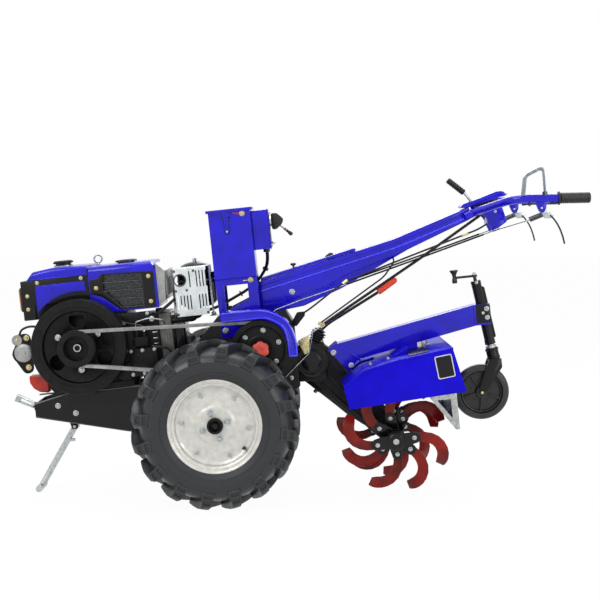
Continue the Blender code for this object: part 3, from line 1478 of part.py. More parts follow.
BEAM_SHARES = ((0.000, 0.000), (0.125, 0.000), (0.200, 0.020), (0.380, 0.185), (0.700, 0.570),
               (1.000, 0.860), (1.000, 1.000), (0.640, 0.705), (0.200, 0.460), (0.000, 0.350))


def handle_beam():
    """A folded channel, open below, that tapers to the rear."""
    half = BEAM_HALF_WIDTH
    outline = within(BEAM_SHARES, BEAM_FRONT, BEAM_REAR, GEARBOX_TOP + GAP, BEAM_TOP)
    body = prism(outline, -half, half)
    inner = [(x, z - BEAM_WALL) for x, z in outline[6:]]
    low = [(x, z - BEAM_WALL - BEAM_OPEN) for x, z in outline[:6]]
    low[0] = (BEAM_FRONT + BEAM_WALL, low[0][1])
    inner[-1] = (BEAM_FRONT + BEAM_WALL, inner[-1][1])
    hollow = prism(low + inner, BEAM_WALL - half, half - BEAM_WALL)
    end = block(BEAM_REAR - BEAM_WALL, BEAM_REAR, WELD - half, half - WELD,
                GEARBOX_TOP + (BEAM_TOP - GEARBOX_TOP) * BEAM_SHARES[5][1], BEAM_TOP - WELD)
    return combined(fused([body], [hollow]), [end], "UNION")


def bar_z(x):
    """Height of the handlebar's straight run towards the grips."""
    return BAR_Z - (x - BAR_ELBOW_X) * BAR_DROP


def handlebar():
    reach = BEAM_REAR + GAP + BAR_RADIUS
    cross_z = BEAM_TOP - BAR_RADIUS - BEAM_WALL
    half = []
    for side in (-1, 1):
        arm = [(reach, side * BAR_CROSS, cross_z), (BAR_ELBOW_X, side * BAR_SPREAD, BAR_Z),
               (BAR_END, side * BAR_SPREAD, bar_z(BAR_END))]
        half.append(arm)
    bar = tube(half[0][::-1] + half[1], BAR_RADIUS, BAR_BEND, 10, 3, (0, 0, 1))
    ears = []
    for side in (-1, 1):
        for edge in (-1, 1):
            near = side * BAR_SPREAD + edge * (LEVER_WALL / 2 + GAP)
            far = near + edge * SHEET
            top = bar_z(EAR_X) - BAR_RADIUS / 2
            ears.append(prism(((EAR_X - EAR_LENGTH / 2, top), (EAR_X + EAR_LENGTH / 2, top),
                               (EAR_X + EAR_LENGTH / 4, top - EAR_HEIGHT),
                               (EAR_X - EAR_LENGTH / 4, top - EAR_HEIGHT)),
                              min(near, far), max(near, far)))
    return fused([bar] + ears)


def grip(side):
    """A closed sleeve on the end of the bar, with a flange at its inner end."""
    start = Vector((GRIP_START, side * BAR_SPREAD, bar_z(GRIP_START)))
    ahead = Vector((1, 0, -BAR_DROP)).normalized()
    length = (BAR_END - GRIP_START) / ahead.x
    bore = (BAR_RADIUS + GAP) / math.cos(math.pi / 16)
    profile = ((length + GAP, 0), (length + GAP, bore), (0, bore), (0, GRIP_RADIUS + GRIP_LIP),
               (GRIP_LIP, GRIP_RADIUS + GRIP_LIP), (GRIP_LIP, GRIP_RADIUS),
               (length + GRIP_LIP, GRIP_RADIUS), (length + GRIP_LIP, 0))
    return turned(profile, 16, start, ahead)


def steering_lever(side):
    """A bent blade that hangs from its clevis under the bar."""
    top = bar_z(EAR_X) - BAR_RADIUS - CLEARANCE / 2
    outline = within(LEVER_SHARES, EAR_X - LEVER_WIDTH / 2, EAR_X + LEVER_REACH,
                     top - LEVER_HEIGHT, top)
    return prism(outline, side * BAR_SPREAD - LEVER_WALL / 2, side * BAR_SPREAD + LEVER_WALL / 2)


LEVER_SHARES = ((0.00, 1.00), (0.00, 0.72), (0.36, 0.36), (0.80, 0.00), (1.00, 0.10),
                (0.62, 0.46), (0.34, 0.76), (0.30, 1.00))


def console():
    """The blue saddle that carries the levers over the end of the beam."""
    low = BEAM_TOP + GAP
    outline = within(CONSOLE_SHARES, CONSOLE_FRONT, CONSOLE_REAR, low, low + CONSOLE_HEIGHT)
    return fused([prism(outline, -BEAM_HALF_WIDTH, BEAM_HALF_WIDTH)] + main_lever())


CONSOLE_SHARES = ((0.00, 0.00), (0.80, 0.00), (1.00, 0.62), (0.90, 1.00), (0.00, 0.12))


def main_lever():
    foot = (CONSOLE_FRONT + CONSOLE_HEIGHT, 0, BEAM_TOP + CONSOLE_HEIGHT / 4)
    elbow = (foot[0] - LEVER_LEAN / 3, 0, foot[2] + MAIN_LEVER_RISE / 3)
    tip = (foot[0] - LEVER_LEAN, 0, foot[2] + MAIN_LEVER_RISE)
    stem = rod(foot, elbow, MAIN_LEVER_RADIUS)
    handle = rod(elbow, tip, 2 * MAIN_LEVER_RADIUS)
    return [stem, handle]


def hand_loop():
    """A flat strap bent to a hoop over the left bar."""
    y = -BAR_SPREAD
    route = []
    for along, up in LOOP_SHARES:
        x = LOOP_FRONT + (LOOP_REAR - LOOP_FRONT) * along
        route.append((x, y, bar_z(x) + BAR_RADIUS + LOOP_HEIGHT * up))
    strap = swept(fillet(route, LOOP_BEND, 3), flat(LOOP_WALL, LOOP_WIDTH))
    return strap


LOOP_SHARES = ((0.00, 0.00), (0.12, 0.82), (0.80, 1.00), (1.00, 0.92), (1.00, 0.00))


def linkage(y, route, ends, radius):
    """A control rod beside the beam whose two pins reach the pieces that hold it."""
    points = [(x, y, z) for x, z in route]
    shapes = [tube(points, radius, 4 * radius, 8, 2)]
    for (x, z), reach in zip((route[0], route[-1]), ends):
        shapes.append(rod((x, y - radius, z), (x, reach, z), radius, 8))
    return fused(shapes)


# Tiller

def hull(first, first_radius, second, second_radius, steps=8):
    """Outline round two circles in the side view."""
    reach = Vector(second) - Vector(first)
    slope = math.atan2(reach.y, reach.x)
    spread = math.acos((first_radius - second_radius) / reach.length)
    points = []
    for centre, radius, start, sweep in (
            (first, first_radius, slope + spread, 2 * math.pi - 2 * spread),
            (second, second_radius, slope - spread, 2 * spread)):
        for step in range(steps + 1):
            turn = start + sweep * step / steps
            points.append((centre[0] + radius * math.cos(turn), centre[1] + radius * math.sin(turn)))
    return points


def case_half():
    """Half the width of the tiller's drive case, inside the bracket plates."""
    return TILLER_HALF - WELD - GAP


def tiller_case():
    arm = prism(hull((CASE_X, CASE_Z), CASE_RADIUS, (ROTOR_X, ROTOR_Z), CASE_END_RADIUS),
                -case_half(), case_half())
    front = GEARBOX_REAR + GAP
    flange = block(front, CASE_X + CASE_RADIUS / 2, -CASE_FLANGE, CASE_FLANGE,
                   CASE_Z - CASE_RADIUS, CASE_Z + CASE_RADIUS)
    boss = rod((CASE_X, -CASE_FLANGE - CASE_BOSS, CASE_Z), (CASE_X, CASE_FLANGE + CASE_BOSS, CASE_Z),
               CASE_END_RADIUS, 20)
    half = case_half()
    bore = rod((ROTOR_X, -half - OVERRUN, ROTOR_Z), (ROTOR_X, half + OVERRUN, ROTOR_Z),
               ROTOR_SHAFT_RADIUS + RUNNING_GAP, 16)
    return fused([arm, flange, boss], [bore])


def shift_lever():
    """The lever with the bellows over its ball."""
    seat = CASE_Z + CASE_RADIUS + GAP
    profile = [(seat, 0)]
    for fold in range(BOOT_FOLDS):
        low = seat + fold * BOOT_HEIGHT / BOOT_FOLDS
        taper = 1 - fold * BOOT_TAPER_SHARE
        profile += [(low, BOOT_RADIUS * taper * BOOT_TAPER_SHARE * 4),
                    (low + BOOT_HEIGHT / BOOT_FOLDS / 2, BOOT_RADIUS * taper)]
    profile.append((seat + BOOT_HEIGHT, BOOT_RADIUS / 3))
    profile.append((seat + BOOT_HEIGHT, 0))
    boot = turned(profile, 16, (BOOT_X, 0, 0), (0, 0, 1))
    foot = (BOOT_X, 0, seat + BOOT_HEIGHT / 2)
    return fused([boot, rod(foot, (SHIFT_X, 0, SHIFT_Z), SHIFT_RADIUS)])


BOOT_TAPER_SHARE = 0.18


def shift_grip():
    start = Vector((SHIFT_X, 0, SHIFT_Z))
    ahead = start - Vector((BOOT_X, 0, CASE_Z + CASE_RADIUS + GAP + BOOT_HEIGHT / 2))
    ahead.normalize()
    start += ahead * GAP
    return turned(((0, 0), (0, SHIFT_GRIP_RADIUS), (SHIFT_GRIP, SHIFT_GRIP_RADIUS),
                   (SHIFT_GRIP + SHIFT_GRIP_RADIUS / 2, SHIFT_GRIP_RADIUS / 2),
                   (SHIFT_GRIP + SHIFT_GRIP_RADIUS / 2, 0)), 12, start, ahead)


def tiller_line(x):
    """The tiller beam's upper edge."""
    return TILLER_TOP + (x - TILLER_FRONT) * TILLER_RISE


def tiller_beam():
    rear = column_x(tiller_line(TILLER_REAR)) - COLUMN_RADIUS
    outline = ((TILLER_FRONT, tiller_line(TILLER_FRONT)),
               (TILLER_FRONT + TILLER_NOSE, tiller_line(TILLER_FRONT + TILLER_NOSE) - TILLER_DEPTH),
               (TILLER_REAR, tiller_line(TILLER_REAR) - TILLER_DEPTH),
               (TILLER_REAR, tiller_line(TILLER_REAR)))
    beam = prism(outline, -TILLER_HALF, TILLER_HALF)
    plates = []
    for side in (-1, 1):
        near, far = sorted((side * (TILLER_HALF - WELD), side * (TILLER_HALF + BRACKET_WALL)))
        plates.append(prism(within(BRACKET_SHARES, BRACKET_FRONT, BRACKET_REAR, BRACKET_LOW,
                                   BRACKET_HIGH), near, far))
    clamp_low = tiller_line(TILLER_REAR) - TILLER_DEPTH
    clamp = block(TILLER_REAR - WELD, TILLER_REAR + CLAMP_LENGTH, -CLAMP_HALF, CLAMP_HALF,
                  clamp_low, tiller_line(TILLER_REAR))
    bore = rod(on_column(0), on_column(COLUMN_LENGTH), COLUMN_RADIUS + GAP, 16)
    return fused([beam, clamp] + plates, [bore])


BRACKET_SHARES = ((0.00, 0.78), (0.26, 1.00), (1.00, 0.52), (0.56, 0.00))


# The cover's top line in the side view, from front to rear
COVER_SHARES = ((0.00, 0.46), (0.18, 0.73), (0.44, 0.86), (0.65, 0.92), (0.92, 1.00))
COVER_FOOT_SHARES = ((1.00, 0.12), (0.03, 0.00))


def tiller_cover():
    """A curved sheet with two side plates, hung under the beam by one saddle."""
    line = within(COVER_SHARES, COVER_FRONT, COVER_REAR, COVER_LOW, COVER_HIGH)
    foot = within(COVER_FOOT_SHARES, COVER_FRONT, COVER_REAR, COVER_LOW, COVER_HIGH)
    half = COVER_WIDTH / 2
    top = band([Vector((x, 0, z)) for x, z in line], SHEET, WELD / 2 - half, half - WELD / 2)
    sides = [prism(line + foot, -half, SHEET - half), prism(line + foot, half - SHEET, half)]
    front, rear = SADDLE_X, SADDLE_X + SADDLE_LENGTH
    beam_low = [tiller_line(x) - TILLER_DEPTH - GAP for x in (front, rear)]
    saddle = prism(((front, COVER_HIGH - SADDLE_DROP), (rear, COVER_HIGH - SADDLE_DROP),
                    (rear, beam_low[1]), (front, beam_low[0])), -TILLER_HALF, TILLER_HALF)
    under = prism([(x, z - SHEET) for x, z in line] + [(COVER_REAR, COVER_LOW), (COVER_FRONT, COVER_LOW)],
                  -TILLER_HALF - OVERRUN, TILLER_HALF + OVERRUN)
    saddle = combined(saddle, [under], "DIFFERENCE")
    throat = block(COVER_FRONT - OVERRUN, COVER_FRONT + COVER_THROAT, -TILLER_HALF - CLEARANCE,
                   TILLER_HALF + CLEARANCE, COVER_LOW, COVER_HIGH)
    return fused([top, saddle] + sides, [throat])


BOARD_SHARES = ((0.00, 0.80), (0.00, 1.00), (1.00, 1.00), (1.00, 0.00), (0.86, 0.00))


def levelling_board():
    """A sloped sheet under the cover's rear, with two triangular cheeks."""
    box = (BOARD_FRONT, BOARD_REAR, BOARD_LOW, BOARD_HIGH)
    half = COVER_WIDTH / 2 - SHEET - GAP
    sheet = prism(within(((0.00, 0.80), (1.00, 0.00), (1.00, 0.04), (0.00, 0.84)), *box),
                  WELD / 2 - half, half - WELD / 2)
    back = block(BOARD_REAR - SHEET, BOARD_REAR, WELD / 2 - half, half - WELD / 2, BOARD_LOW,
                 BOARD_LOW + (BOARD_HIGH - BOARD_LOW) * BOARD_BACK_SHARE)
    shapes, holes = [sheet, back], []
    for side in (-1, 1):
        near, far = sorted((side * half, side * (half - SHEET)))
        shapes.append(prism(within(BOARD_SHARES, *box), near, far))
        holes.append(prism(within(BOARD_HOLE_SHARES, *box), near - OVERRUN, far + OVERRUN))
    return fused(shapes, holes)


BOARD_BACK_SHARE = 0.70
BOARD_HOLE_SHARES = ((0.30, 0.68), (0.78, 0.68), (0.78, 0.26))


# Blade stations: share of the rotor's radius, lag, share of the sideways reach
BLADE_SHARES = ((0.17, 0.00, 0.00), (0.58, 0.13, 0.00), (0.85, 0.50, 0.12), (0.93, 0.84, 1.00))


def rotor():
    """A shaft with flanged holders, each with two curved blades."""
    half = ROTOR_WIDTH / 2
    shapes = [rod((0, -half, 0), (0, half, 0), ROTOR_SHAFT_RADIUS, 10)]
    for side in (-1, 1):
        for index in range(ROTOR_ROWS):
            y = side * (ROTOR_FIRST + index * ROTOR_PITCH)
            shapes.append(rod((0, y - HOLDER_WALL, 0), (0, y + HOLDER_WALL, 0), HOLDER_RADIUS, 8))
            turn_0 = (index * 2 + (side > 0)) * math.pi / (2 * ROTOR_ROWS)
            bend = -side if index == ROTOR_ROWS - 1 else side * (1 if index % 2 else -1)
            if index == 0:
                bend = side
            for blade in range(2):
                turn = BLADE_PHASE + turn_0 + blade * math.pi
                route = []
                for reach, lag, shift in BLADE_SHARES:
                    angle = turn - lag * BLADE_LAG
                    radius = reach * ROTOR_RADIUS
                    route.append((radius * math.cos(angle), y + bend * shift * BLADE_REACH,
                                  radius * math.sin(angle)))
                shapes.append(swept(route, flat(BLADE_WIDTH, BLADE_WALL)))
    return fused(shapes)


# Tail wheel column

def on_column(distance):
    """A point on the column's leaning axis, measured down from its top."""
    lean = COLUMN_LEAN
    return Vector((COLUMN_X + distance * math.sin(lean), 0, COLUMN_Z - distance * math.cos(lean)))


def column_x(z):
    return COLUMN_X + (COLUMN_Z - z) * math.tan(COLUMN_LEAN)


def down_column():
    return Vector((math.sin(COLUMN_LEAN), 0, -math.cos(COLUMN_LEAN)))


def tail_column():
    tube_length = COLUMN_LENGTH
    shell = turned(((0, 0), (0, COLUMN_RADIUS), (tube_length, COLUMN_RADIUS),
                    (tube_length, STEM_RADIUS + RUNNING_GAP),
                    (STEM_START - CLEARANCE, STEM_RADIUS + RUNNING_GAP),
                    (STEM_START - CLEARANCE, 0)), 16, on_column(0), down_column())
    return fused([shell] + tail_crank())


def tail_crank():
    seat = on_column(WELD)
    up = -down_column()
    top = seat + up * CRANK_RISE
    arm = top + Vector((-CRANK_REACH, 0, 0))
    knob_top = arm + Vector((0, 0, CRANK_KNOB))
    shapes = [rod(seat, top, CRANK_ARM_RADIUS), rod(top, arm, CRANK_ARM_RADIUS),
              rod(arm - Vector((0, 0, CRANK_KNOB / 2)), knob_top, CRANK_ARM_RADIUS),
              turned(((0, 0), (0, CRANK_ARM_RADIUS * 2), (CRANK_KNOB / 2, CRANK_ARM_RADIUS * 1.5),
                      (CRANK_KNOB, CRANK_ARM_RADIUS * 3), (CRANK_KNOB, 0)), 12,
                     arm - Vector((0, 0, CRANK_KNOB / 3)), (0, 0, 1))]
    return shapes


def tail_stem(machine):
    """The inner tube with its collar, which slides in the column."""
    collar = COLUMN_LENGTH + CLEARANCE
    end = collar + COLLAR_HEIGHT + FORK_SOCKET + STEM_TIP
    holder = empty("tail_slide_axis", machine, on_column(0))
    shape = turned(((STEM_START, 0), (STEM_START, STEM_RADIUS), (collar, STEM_RADIUS),
                    (collar, COLLAR_RADIUS), (collar + COLLAR_HEIGHT, COLLAR_RADIUS),
                    (collar + COLLAR_HEIGHT, STEM_RADIUS), (end, STEM_RADIUS), (end, 0)),
                   16, (0, 0, 0), down_column())
    node("tail_stem", shape, "zinc", holder)


def tail_fork(machine):
    """A socket that turns on the stem, with two cheeks down to the wheel."""
    top = COLUMN_LENGTH + CLEARANCE + COLLAR_HEIGHT + RUNNING_GAP
    seat = on_column(top)
    holder = empty("tail_fork_axis", machine, seat)
    floor = FORK_SOCKET + STEM_TIP + CLEARANCE
    socket = fork_socket(floor)
    axle = Vector((TAIL_X, 0, TAIL_Z)) - seat
    crown = down_column() * floor
    gap = TAIL_WIDTH / 2 + CLEARANCE
    outline = [(crown.x - SOCKET_RADIUS, crown.z + FORK_WALL),
               (crown.x + SOCKET_RADIUS, crown.z + FORK_WALL),
               (crown.x + SOCKET_RADIUS, crown.z - FORK_DROP), (axle.x + FORK_EYE, axle.z),
               (axle.x, axle.z - FORK_EYE), (axle.x - FORK_EYE, axle.z)]
    shapes = [socket]
    for side in (-1, 1):
        near, far = sorted((side * gap, side * (gap + FORK_WALL)))
        shapes.append(prism(outline, near, far))
    bridge = block(crown.x - SOCKET_RADIUS, crown.x + SOCKET_RADIUS, -gap - WELD, gap + WELD,
                   crown.z - 2 * FORK_WALL, crown.z - FORK_WALL / 4)
    pin = rod((axle.x, -gap - FORK_WALL, axle.z), (axle.x, gap + FORK_WALL, axle.z), TAIL_PIN_RADIUS)
    node("tail_fork", fused(shapes + [bridge, pin]), "black_paint", holder)


def fork_socket(floor):
    bore = STEM_RADIUS + RUNNING_GAP
    return turned(((floor, 0), (floor, bore), (0, bore), (0, SOCKET_RADIUS),
                   (floor + FORK_WALL, SOCKET_RADIUS), (floor + FORK_WALL, 0)),
                  16, (0, 0, 0), down_column())


def tail_wheel(machine):
    axle = empty("tail_axle", machine, (TAIL_X, 0, TAIL_Z))
    half = TAIL_WIDTH / 2
    bore = TAIL_PIN_RADIUS + RUNNING_GAP
    wheel = turned(((-half, bore), (-half, TAIL_HUB_RADIUS), (-TAIL_WEB, TAIL_HUB_RADIUS),
                    (-TAIL_WEB, TAIL_RADIUS * TAIL_RIM_SHARE), (-half, TAIL_RADIUS * TAIL_RIM_SHARE),
                    (-half, TAIL_RADIUS * TAIL_TREAD_SHARE), (0, TAIL_RADIUS),
                    (half, TAIL_RADIUS * TAIL_TREAD_SHARE), (half, TAIL_RADIUS * TAIL_RIM_SHARE),
                    (TAIL_WEB, TAIL_RADIUS * TAIL_RIM_SHARE), (TAIL_WEB, TAIL_HUB_RADIUS),
                    (half, TAIL_HUB_RADIUS), (half, bore)), 20, ring=True)
    node("tail_wheel", wheel, "tyre_rubber", axle)


TAIL_RIM_SHARE = 0.76
TAIL_TREAD_SHARE = 0.96


# Control rods: name, y, route of (x, z), how far the end pins reach, radius, paint
LINKAGES = (
    ("shift_rod", -0.066, ((1.096, 0.745), (0.848, 0.531), (0.442, 0.311)),
     (-BEAM_HALF_WIDTH - GAP, -CASE_FLANGE), 0.0065, "black_paint"),
)


def build_handles(machine):
    pieces = (
        ("gearbox", gearbox(), "black_cast"),
        ("belt_guard", belt_guard(), "blue_paint"),
        ("battery_stand", battery_stand(), "blue_paint"),
        ("battery_box", battery_box(), "blue_paint"),
        ("battery", battery(), "black_plastic"),
        ("battery_lead", battery_lead(), "black_plastic"),
        ("handle_beam", handle_beam(), "blue_paint"),
        ("handlebar", handlebar(), "blue_paint"),
        ("grip_left", grip(-1), "black_plastic"),
        ("grip_right", grip(1), "black_plastic"),
        ("steering_lever_left", steering_lever(-1), "black_paint"),
        ("steering_lever_right", steering_lever(1), "black_paint"),
        ("lever_console", console(), "blue_paint"),
        ("hand_loop", hand_loop(), "zinc"),
    )
    for name, shape, paint in pieces:
        node(name, shape, paint, machine)
    battery_lid(machine)
    for name, y, route, ends, radius, paint in LINKAGES:
        node(name, linkage(y, route, ends, radius), paint, machine)


def build_tiller(machine):
    pieces = (
        ("tiller_drive_case", tiller_case(), "black_cast"),
        ("shift_lever", shift_lever(), "black_plastic"),
        ("shift_grip", shift_grip(), "orange_rubber"),
        ("tiller_beam", tiller_beam(), "blue_paint"),
        ("tiller_cover", tiller_cover(), "blue_paint"),
        ("levelling_board", levelling_board(), "galvanised"),
        ("tail_column", tail_column(), "black_paint"),
    )
    for name, shape, paint in pieces:
        node(name, shape, paint, machine)
    tines = empty("rotor_axis", machine, (ROTOR_X, 0, ROTOR_Z))
    node("tiller_rotor", rotor(), "red_paint", tines)
    tail_stem(machine)
    tail_fork(machine)
    tail_wheel(machine)


def main():
    clear_scene()
    mix_paints()
    machine = empty("machine", None, (AXLE_X, 0, axle_height()))
    machine.rotation_euler.y = -NOSE_DOWN
    build_engine(machine)
    build_wheels(machine)
    build_belt_drive(machine)
    build_handles(machine)
    build_tiller(machine)
    bpy.context.view_layer.update()


main()
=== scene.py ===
# Walking tractor with a diesel engine, a belt drive and a rotary tiller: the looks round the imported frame.
# Metres, +Z up, +X towards the grips, the belt side at -Y.
import json
from math import asin, atan2, cos, degrees, hypot, pi, radians, sin, sqrt

import bmesh
import bpy
from mathutils import Matrix, Vector

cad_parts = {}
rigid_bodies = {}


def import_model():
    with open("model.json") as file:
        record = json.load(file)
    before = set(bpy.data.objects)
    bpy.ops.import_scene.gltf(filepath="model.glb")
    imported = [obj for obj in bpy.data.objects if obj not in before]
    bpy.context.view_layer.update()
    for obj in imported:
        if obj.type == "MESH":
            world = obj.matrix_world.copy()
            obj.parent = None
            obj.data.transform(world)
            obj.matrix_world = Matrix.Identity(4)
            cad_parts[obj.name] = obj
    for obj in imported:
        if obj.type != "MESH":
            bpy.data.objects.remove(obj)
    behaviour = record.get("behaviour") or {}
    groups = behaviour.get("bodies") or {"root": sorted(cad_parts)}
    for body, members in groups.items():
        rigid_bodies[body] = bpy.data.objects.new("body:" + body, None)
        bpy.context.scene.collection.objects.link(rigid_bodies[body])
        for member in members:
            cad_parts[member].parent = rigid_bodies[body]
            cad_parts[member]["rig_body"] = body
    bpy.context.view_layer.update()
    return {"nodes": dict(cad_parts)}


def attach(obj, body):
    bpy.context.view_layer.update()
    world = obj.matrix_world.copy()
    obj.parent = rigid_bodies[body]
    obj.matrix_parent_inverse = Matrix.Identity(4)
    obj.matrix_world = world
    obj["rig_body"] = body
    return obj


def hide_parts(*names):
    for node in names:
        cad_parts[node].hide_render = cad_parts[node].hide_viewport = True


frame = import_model()
nodes = frame["nodes"]
print("frame loaded:", len(nodes), "nodes")

# The machine leans nose down on its stand. Pieces are made square to it, with the axle as origin, then leant.
stance = {"axleX": -0.289, "axleZ": 0.319593, "noseDown": 5.9}
machine = (Matrix.Translation((stance["axleX"], 0, stance["axleZ"]))
    @ Matrix.Rotation(-radians(stance["noseDown"]), 4, "Y"))
upright = Matrix.Identity(4)
toLeft, toRight, toRear, upwards = (0, -1, 0), (0, 1, 0), (1, 0, 0), (0, 0, 1)


# Camera, lamps and floor come first

cameraView = {"x": 0.029, "distance": 5.0, "height": 1.1, "pitch": 3.8, "lens": 75}


def makeCamera():
    data = bpy.data.cameras.new("camera")
    data.lens = cameraView["lens"]
    data.sensor_width = 36
    camera = bpy.data.objects.new("camera", data)
    camera.location = (cameraView["x"], -cameraView["distance"], cameraView["height"])
    camera.rotation_euler = (radians(90 - cameraView["pitch"]), 0, 0)
    bpy.context.scene.collection.objects.link(camera)
    bpy.context.scene.camera = camera


# name, place, aim, size in metres, watts
lampPlaces = (
    ("keyLamp", (-2.6, -3.4, 3.6), (-0.2, 0, 0.5), 2.4, 92),
    ("fillLamp", (3.2, -3.0, 1.9), (0.2, 0, 0.6), 2.6, 44),
    ("backLamp", (0.6, 3.6, 3.0), (0, 0, 0.6), 2.6, 66),
    ("topLamp", (0.0, 0.2, 3.9), (0, 0, 0.5), 2.2, 40))


def makeLamps():
    for name, place, aim, size, watts in lampPlaces:
        data = bpy.data.lights.new(name, "AREA")
        data.shape = "SQUARE"
        data.size = size
        data.energy = watts
        lamp = bpy.data.objects.new(name, data)
        lamp.location = place
        lamp.rotation_mode = "QUATERNION"
        lamp.rotation_quaternion = (Vector(aim) - Vector(place)).to_track_quat("-Z", "Y")
        bpy.context.scene.collection.objects.link(lamp)


# Adds one node, sets what it is told and links the sockets it is given
def addNode(tree, kind, settings=(), inputs=()):
    made = tree.nodes.new(kind)
    for key, value in dict(settings).items():
        setattr(made, key, value)
    for key, value in dict(inputs).items():
        if isinstance(value, bpy.types.NodeSocket):
            tree.links.new(value, made.inputs[key])
        else:
            made.inputs[key].default_value = value
    return made


# sRGB hex to the linear colour that Blender wants
def colour(text):
    shares = [int(text[at:at + 2], 16) / 255 for at in (1, 3, 5)]
    linear = [share / 12.92 if share <= 0.04045 else ((share + 0.055) / 1.055) ** 2.4 for share in shares]
    return (*linear, 1)


# A node that works on two numbers
def worked(tree, operation, first, second):
    return addNode(tree, "ShaderNodeMath", {"operation": operation}, {0: first, 1: second}).outputs[0]


# A number carried from one range to another
def ranged(tree, value, low=0.0, high=1.0, toLow=0.0, toHigh=1.0):
    return addNode(tree, "ShaderNodeMapRange", (), {"Value": value, "From Min": low, "From Max": high,
        "To Min": toLow, "To Max": toHigh}).outputs[0]


# Two colours mixed by a share
def blended(tree, share, first, second):
    inputs = {"Factor": share, 6: first, 7: second}
    return addNode(tree, "ShaderNodeMix", {"data_type": "RGBA"}, inputs).outputs[2]


# 1 for camera, glossy and glass rays, 0 for the rays that light things
def seenDirectly(tree):
    path = addNode(tree, "ShaderNodeLightPath").outputs
    first = worked(tree, "MAXIMUM", path["Is Camera Ray"], path["Is Glossy Ray"])
    return worked(tree, "MAXIMUM", first, path["Is Transmission Ray"])


def makeWorld():
    world = bpy.data.worlds.new("studio")
    world.use_nodes = True
    tree = world.node_tree
    tree.nodes.clear()
    strength = ranged(tree, seenDirectly(tree), toLow=0.62)
    sky = addNode(tree, "ShaderNodeBackground", (), {"Color": (1, 1, 1, 1), "Strength": strength})
    addNode(tree, "ShaderNodeOutputWorld", (), {"Surface": sky.outputs[0]})
    bpy.context.scene.world = world


def makeFloor():
    bm = bmesh.new()
    bmesh.ops.create_grid(bm, x_segments=1, y_segments=1, size=30)
    mesh = bpy.data.meshes.new("floor")
    bm.to_mesh(mesh)
    bm.free()
    pale = bpy.data.materials.new("white paper sweep")
    pale.use_nodes = True
    tree = pale.node_tree
    tree.nodes.clear()
    paper = addNode(tree, "ShaderNodeBsdfPrincipled", (), {"Base Color": colour("#ffffff"), "Roughness": 0.9})
    glow = addNode(tree, "ShaderNodeEmission", (), {"Color": (1, 1, 1, 1), "Strength": 1.0})
    share = worked(tree, "MULTIPLY", seenDirectly(tree), 0.96)
    both = addNode(tree, "ShaderNodeMixShader", (), {0: share, 1: paper.outputs[0], 2: glow.outputs[0]})
    addNode(tree, "ShaderNodeOutputMaterial", (), {"Surface": both.outputs[0]})
    mesh.materials.append(pale)
    floor = bpy.data.objects.new("floor", mesh)
    bpy.context.scene.collection.objects.link(floor)


bpy.context.scene.view_settings.view_transform = "Standard"
makeCamera()
makeLamps()
makeWorld()
makeFloor()
print("camera and studio made")


# Finishes
# Starts a material and gives its tree, its shader and the Object coordinates that its patterns read
def newFinish(name, base, roughness, metallic=0.0, coat=0.0, specular=0.5):
    finish = bpy.data.materials.new(name)
    finish.use_nodes = True
    finish.diffuse_color = colour(base)
    tree = finish.node_tree
    tree.nodes.clear()
    shader = addNode(tree, "ShaderNodeBsdfPrincipled", (), {"Base Color": colour(base),
        "Roughness": roughness, "Metallic": metallic, "Coat Weight": coat, "Coat Roughness": 0.06,
        "Specular IOR Level": specular})
    addNode(tree, "ShaderNodeOutputMaterial", (), {"Surface": shader.outputs[0]})
    places = addNode(tree, "ShaderNodeTexCoord").outputs["Object"]
    return finish, tree, shader, places


# Noise whose grains are so many millimetres across
def grain(tree, places, millimetres, detail=3.0):
    return addNode(tree, "ShaderNodeTexNoise", (), {"Vector": places, "Scale": 1000 / millimetres,
        "Detail": detail, "Roughness": 0.55}).outputs["Fac"]


# Mixes two colours by a grey pattern and wires them to the shader
def tinted(tree, shader, pattern, first, second, low=0.35, high=0.7):
    mix = blended(tree, ranged(tree, pattern, low, high), colour(first), colour(second))
    tree.links.new(mix, shader.inputs["Base Color"])
    return mix


def variedRoughness(tree, shader, pattern, low, high):
    tree.links.new(ranged(tree, pattern, 0.3, 0.7, low, high), shader.inputs["Roughness"])


def raised(tree, shader, pattern, millimetres, strength=1.0):
    bump = addNode(tree, "ShaderNodeBump", (), {"Strength": strength, "Distance": millimetres / 1000,
        "Height": pattern})
    tree.links.new(bump.outputs[0], shader.inputs["Normal"])


# Enamel sprayed on sheet steel: deep gloss, an orange peel of about 3 mm, a little workshop dust on top faces
def enamel(name, base, shade, roughness, coat, specular):
    finish, tree, shader, places = newFinish(name, base, roughness, coat=coat, specular=specular)
    shaded = tinted(tree, shader, grain(tree, places, 90, 2.0), base, shade)
    facing = addNode(tree, "ShaderNodeNewGeometry").outputs["Normal"]
    up = addNode(tree, "ShaderNodeSeparateXYZ", (), {0: facing}).outputs["Z"]
    dusty = worked(tree, "MULTIPLY", up, grain(tree, places, 7, 6.0))
    dusted = blended(tree, ranged(tree, dusty, 0.45, 0.95, 0, 0.05), shaded, colour("#8d8a86"))
    tree.links.new(dusted, shader.inputs["Base Color"])
    variedRoughness(tree, shader, grain(tree, places, 60), roughness - 0.03, roughness + 0.05)
    raised(tree, shader, grain(tree, places, 3.2, 1.0), 0.02, 0.4)
    return finish


# Sand cast iron under paint: a grit of 1 to 2 mm, oily and uneven
def casting(name, base, shade, roughness, metallic, specular=0.5):
    finish, tree, shader, places = newFinish(name, base, roughness, metallic, specular=specular)
    tinted(tree, shader, grain(tree, places, 26, 4.0), base, shade)
    variedRoughness(tree, shader, grain(tree, places, 14), roughness - 0.1, roughness + 0.14)
    raised(tree, shader, grain(tree, places, 1.8, 3.0), 0.25, 0.55)
    return finish


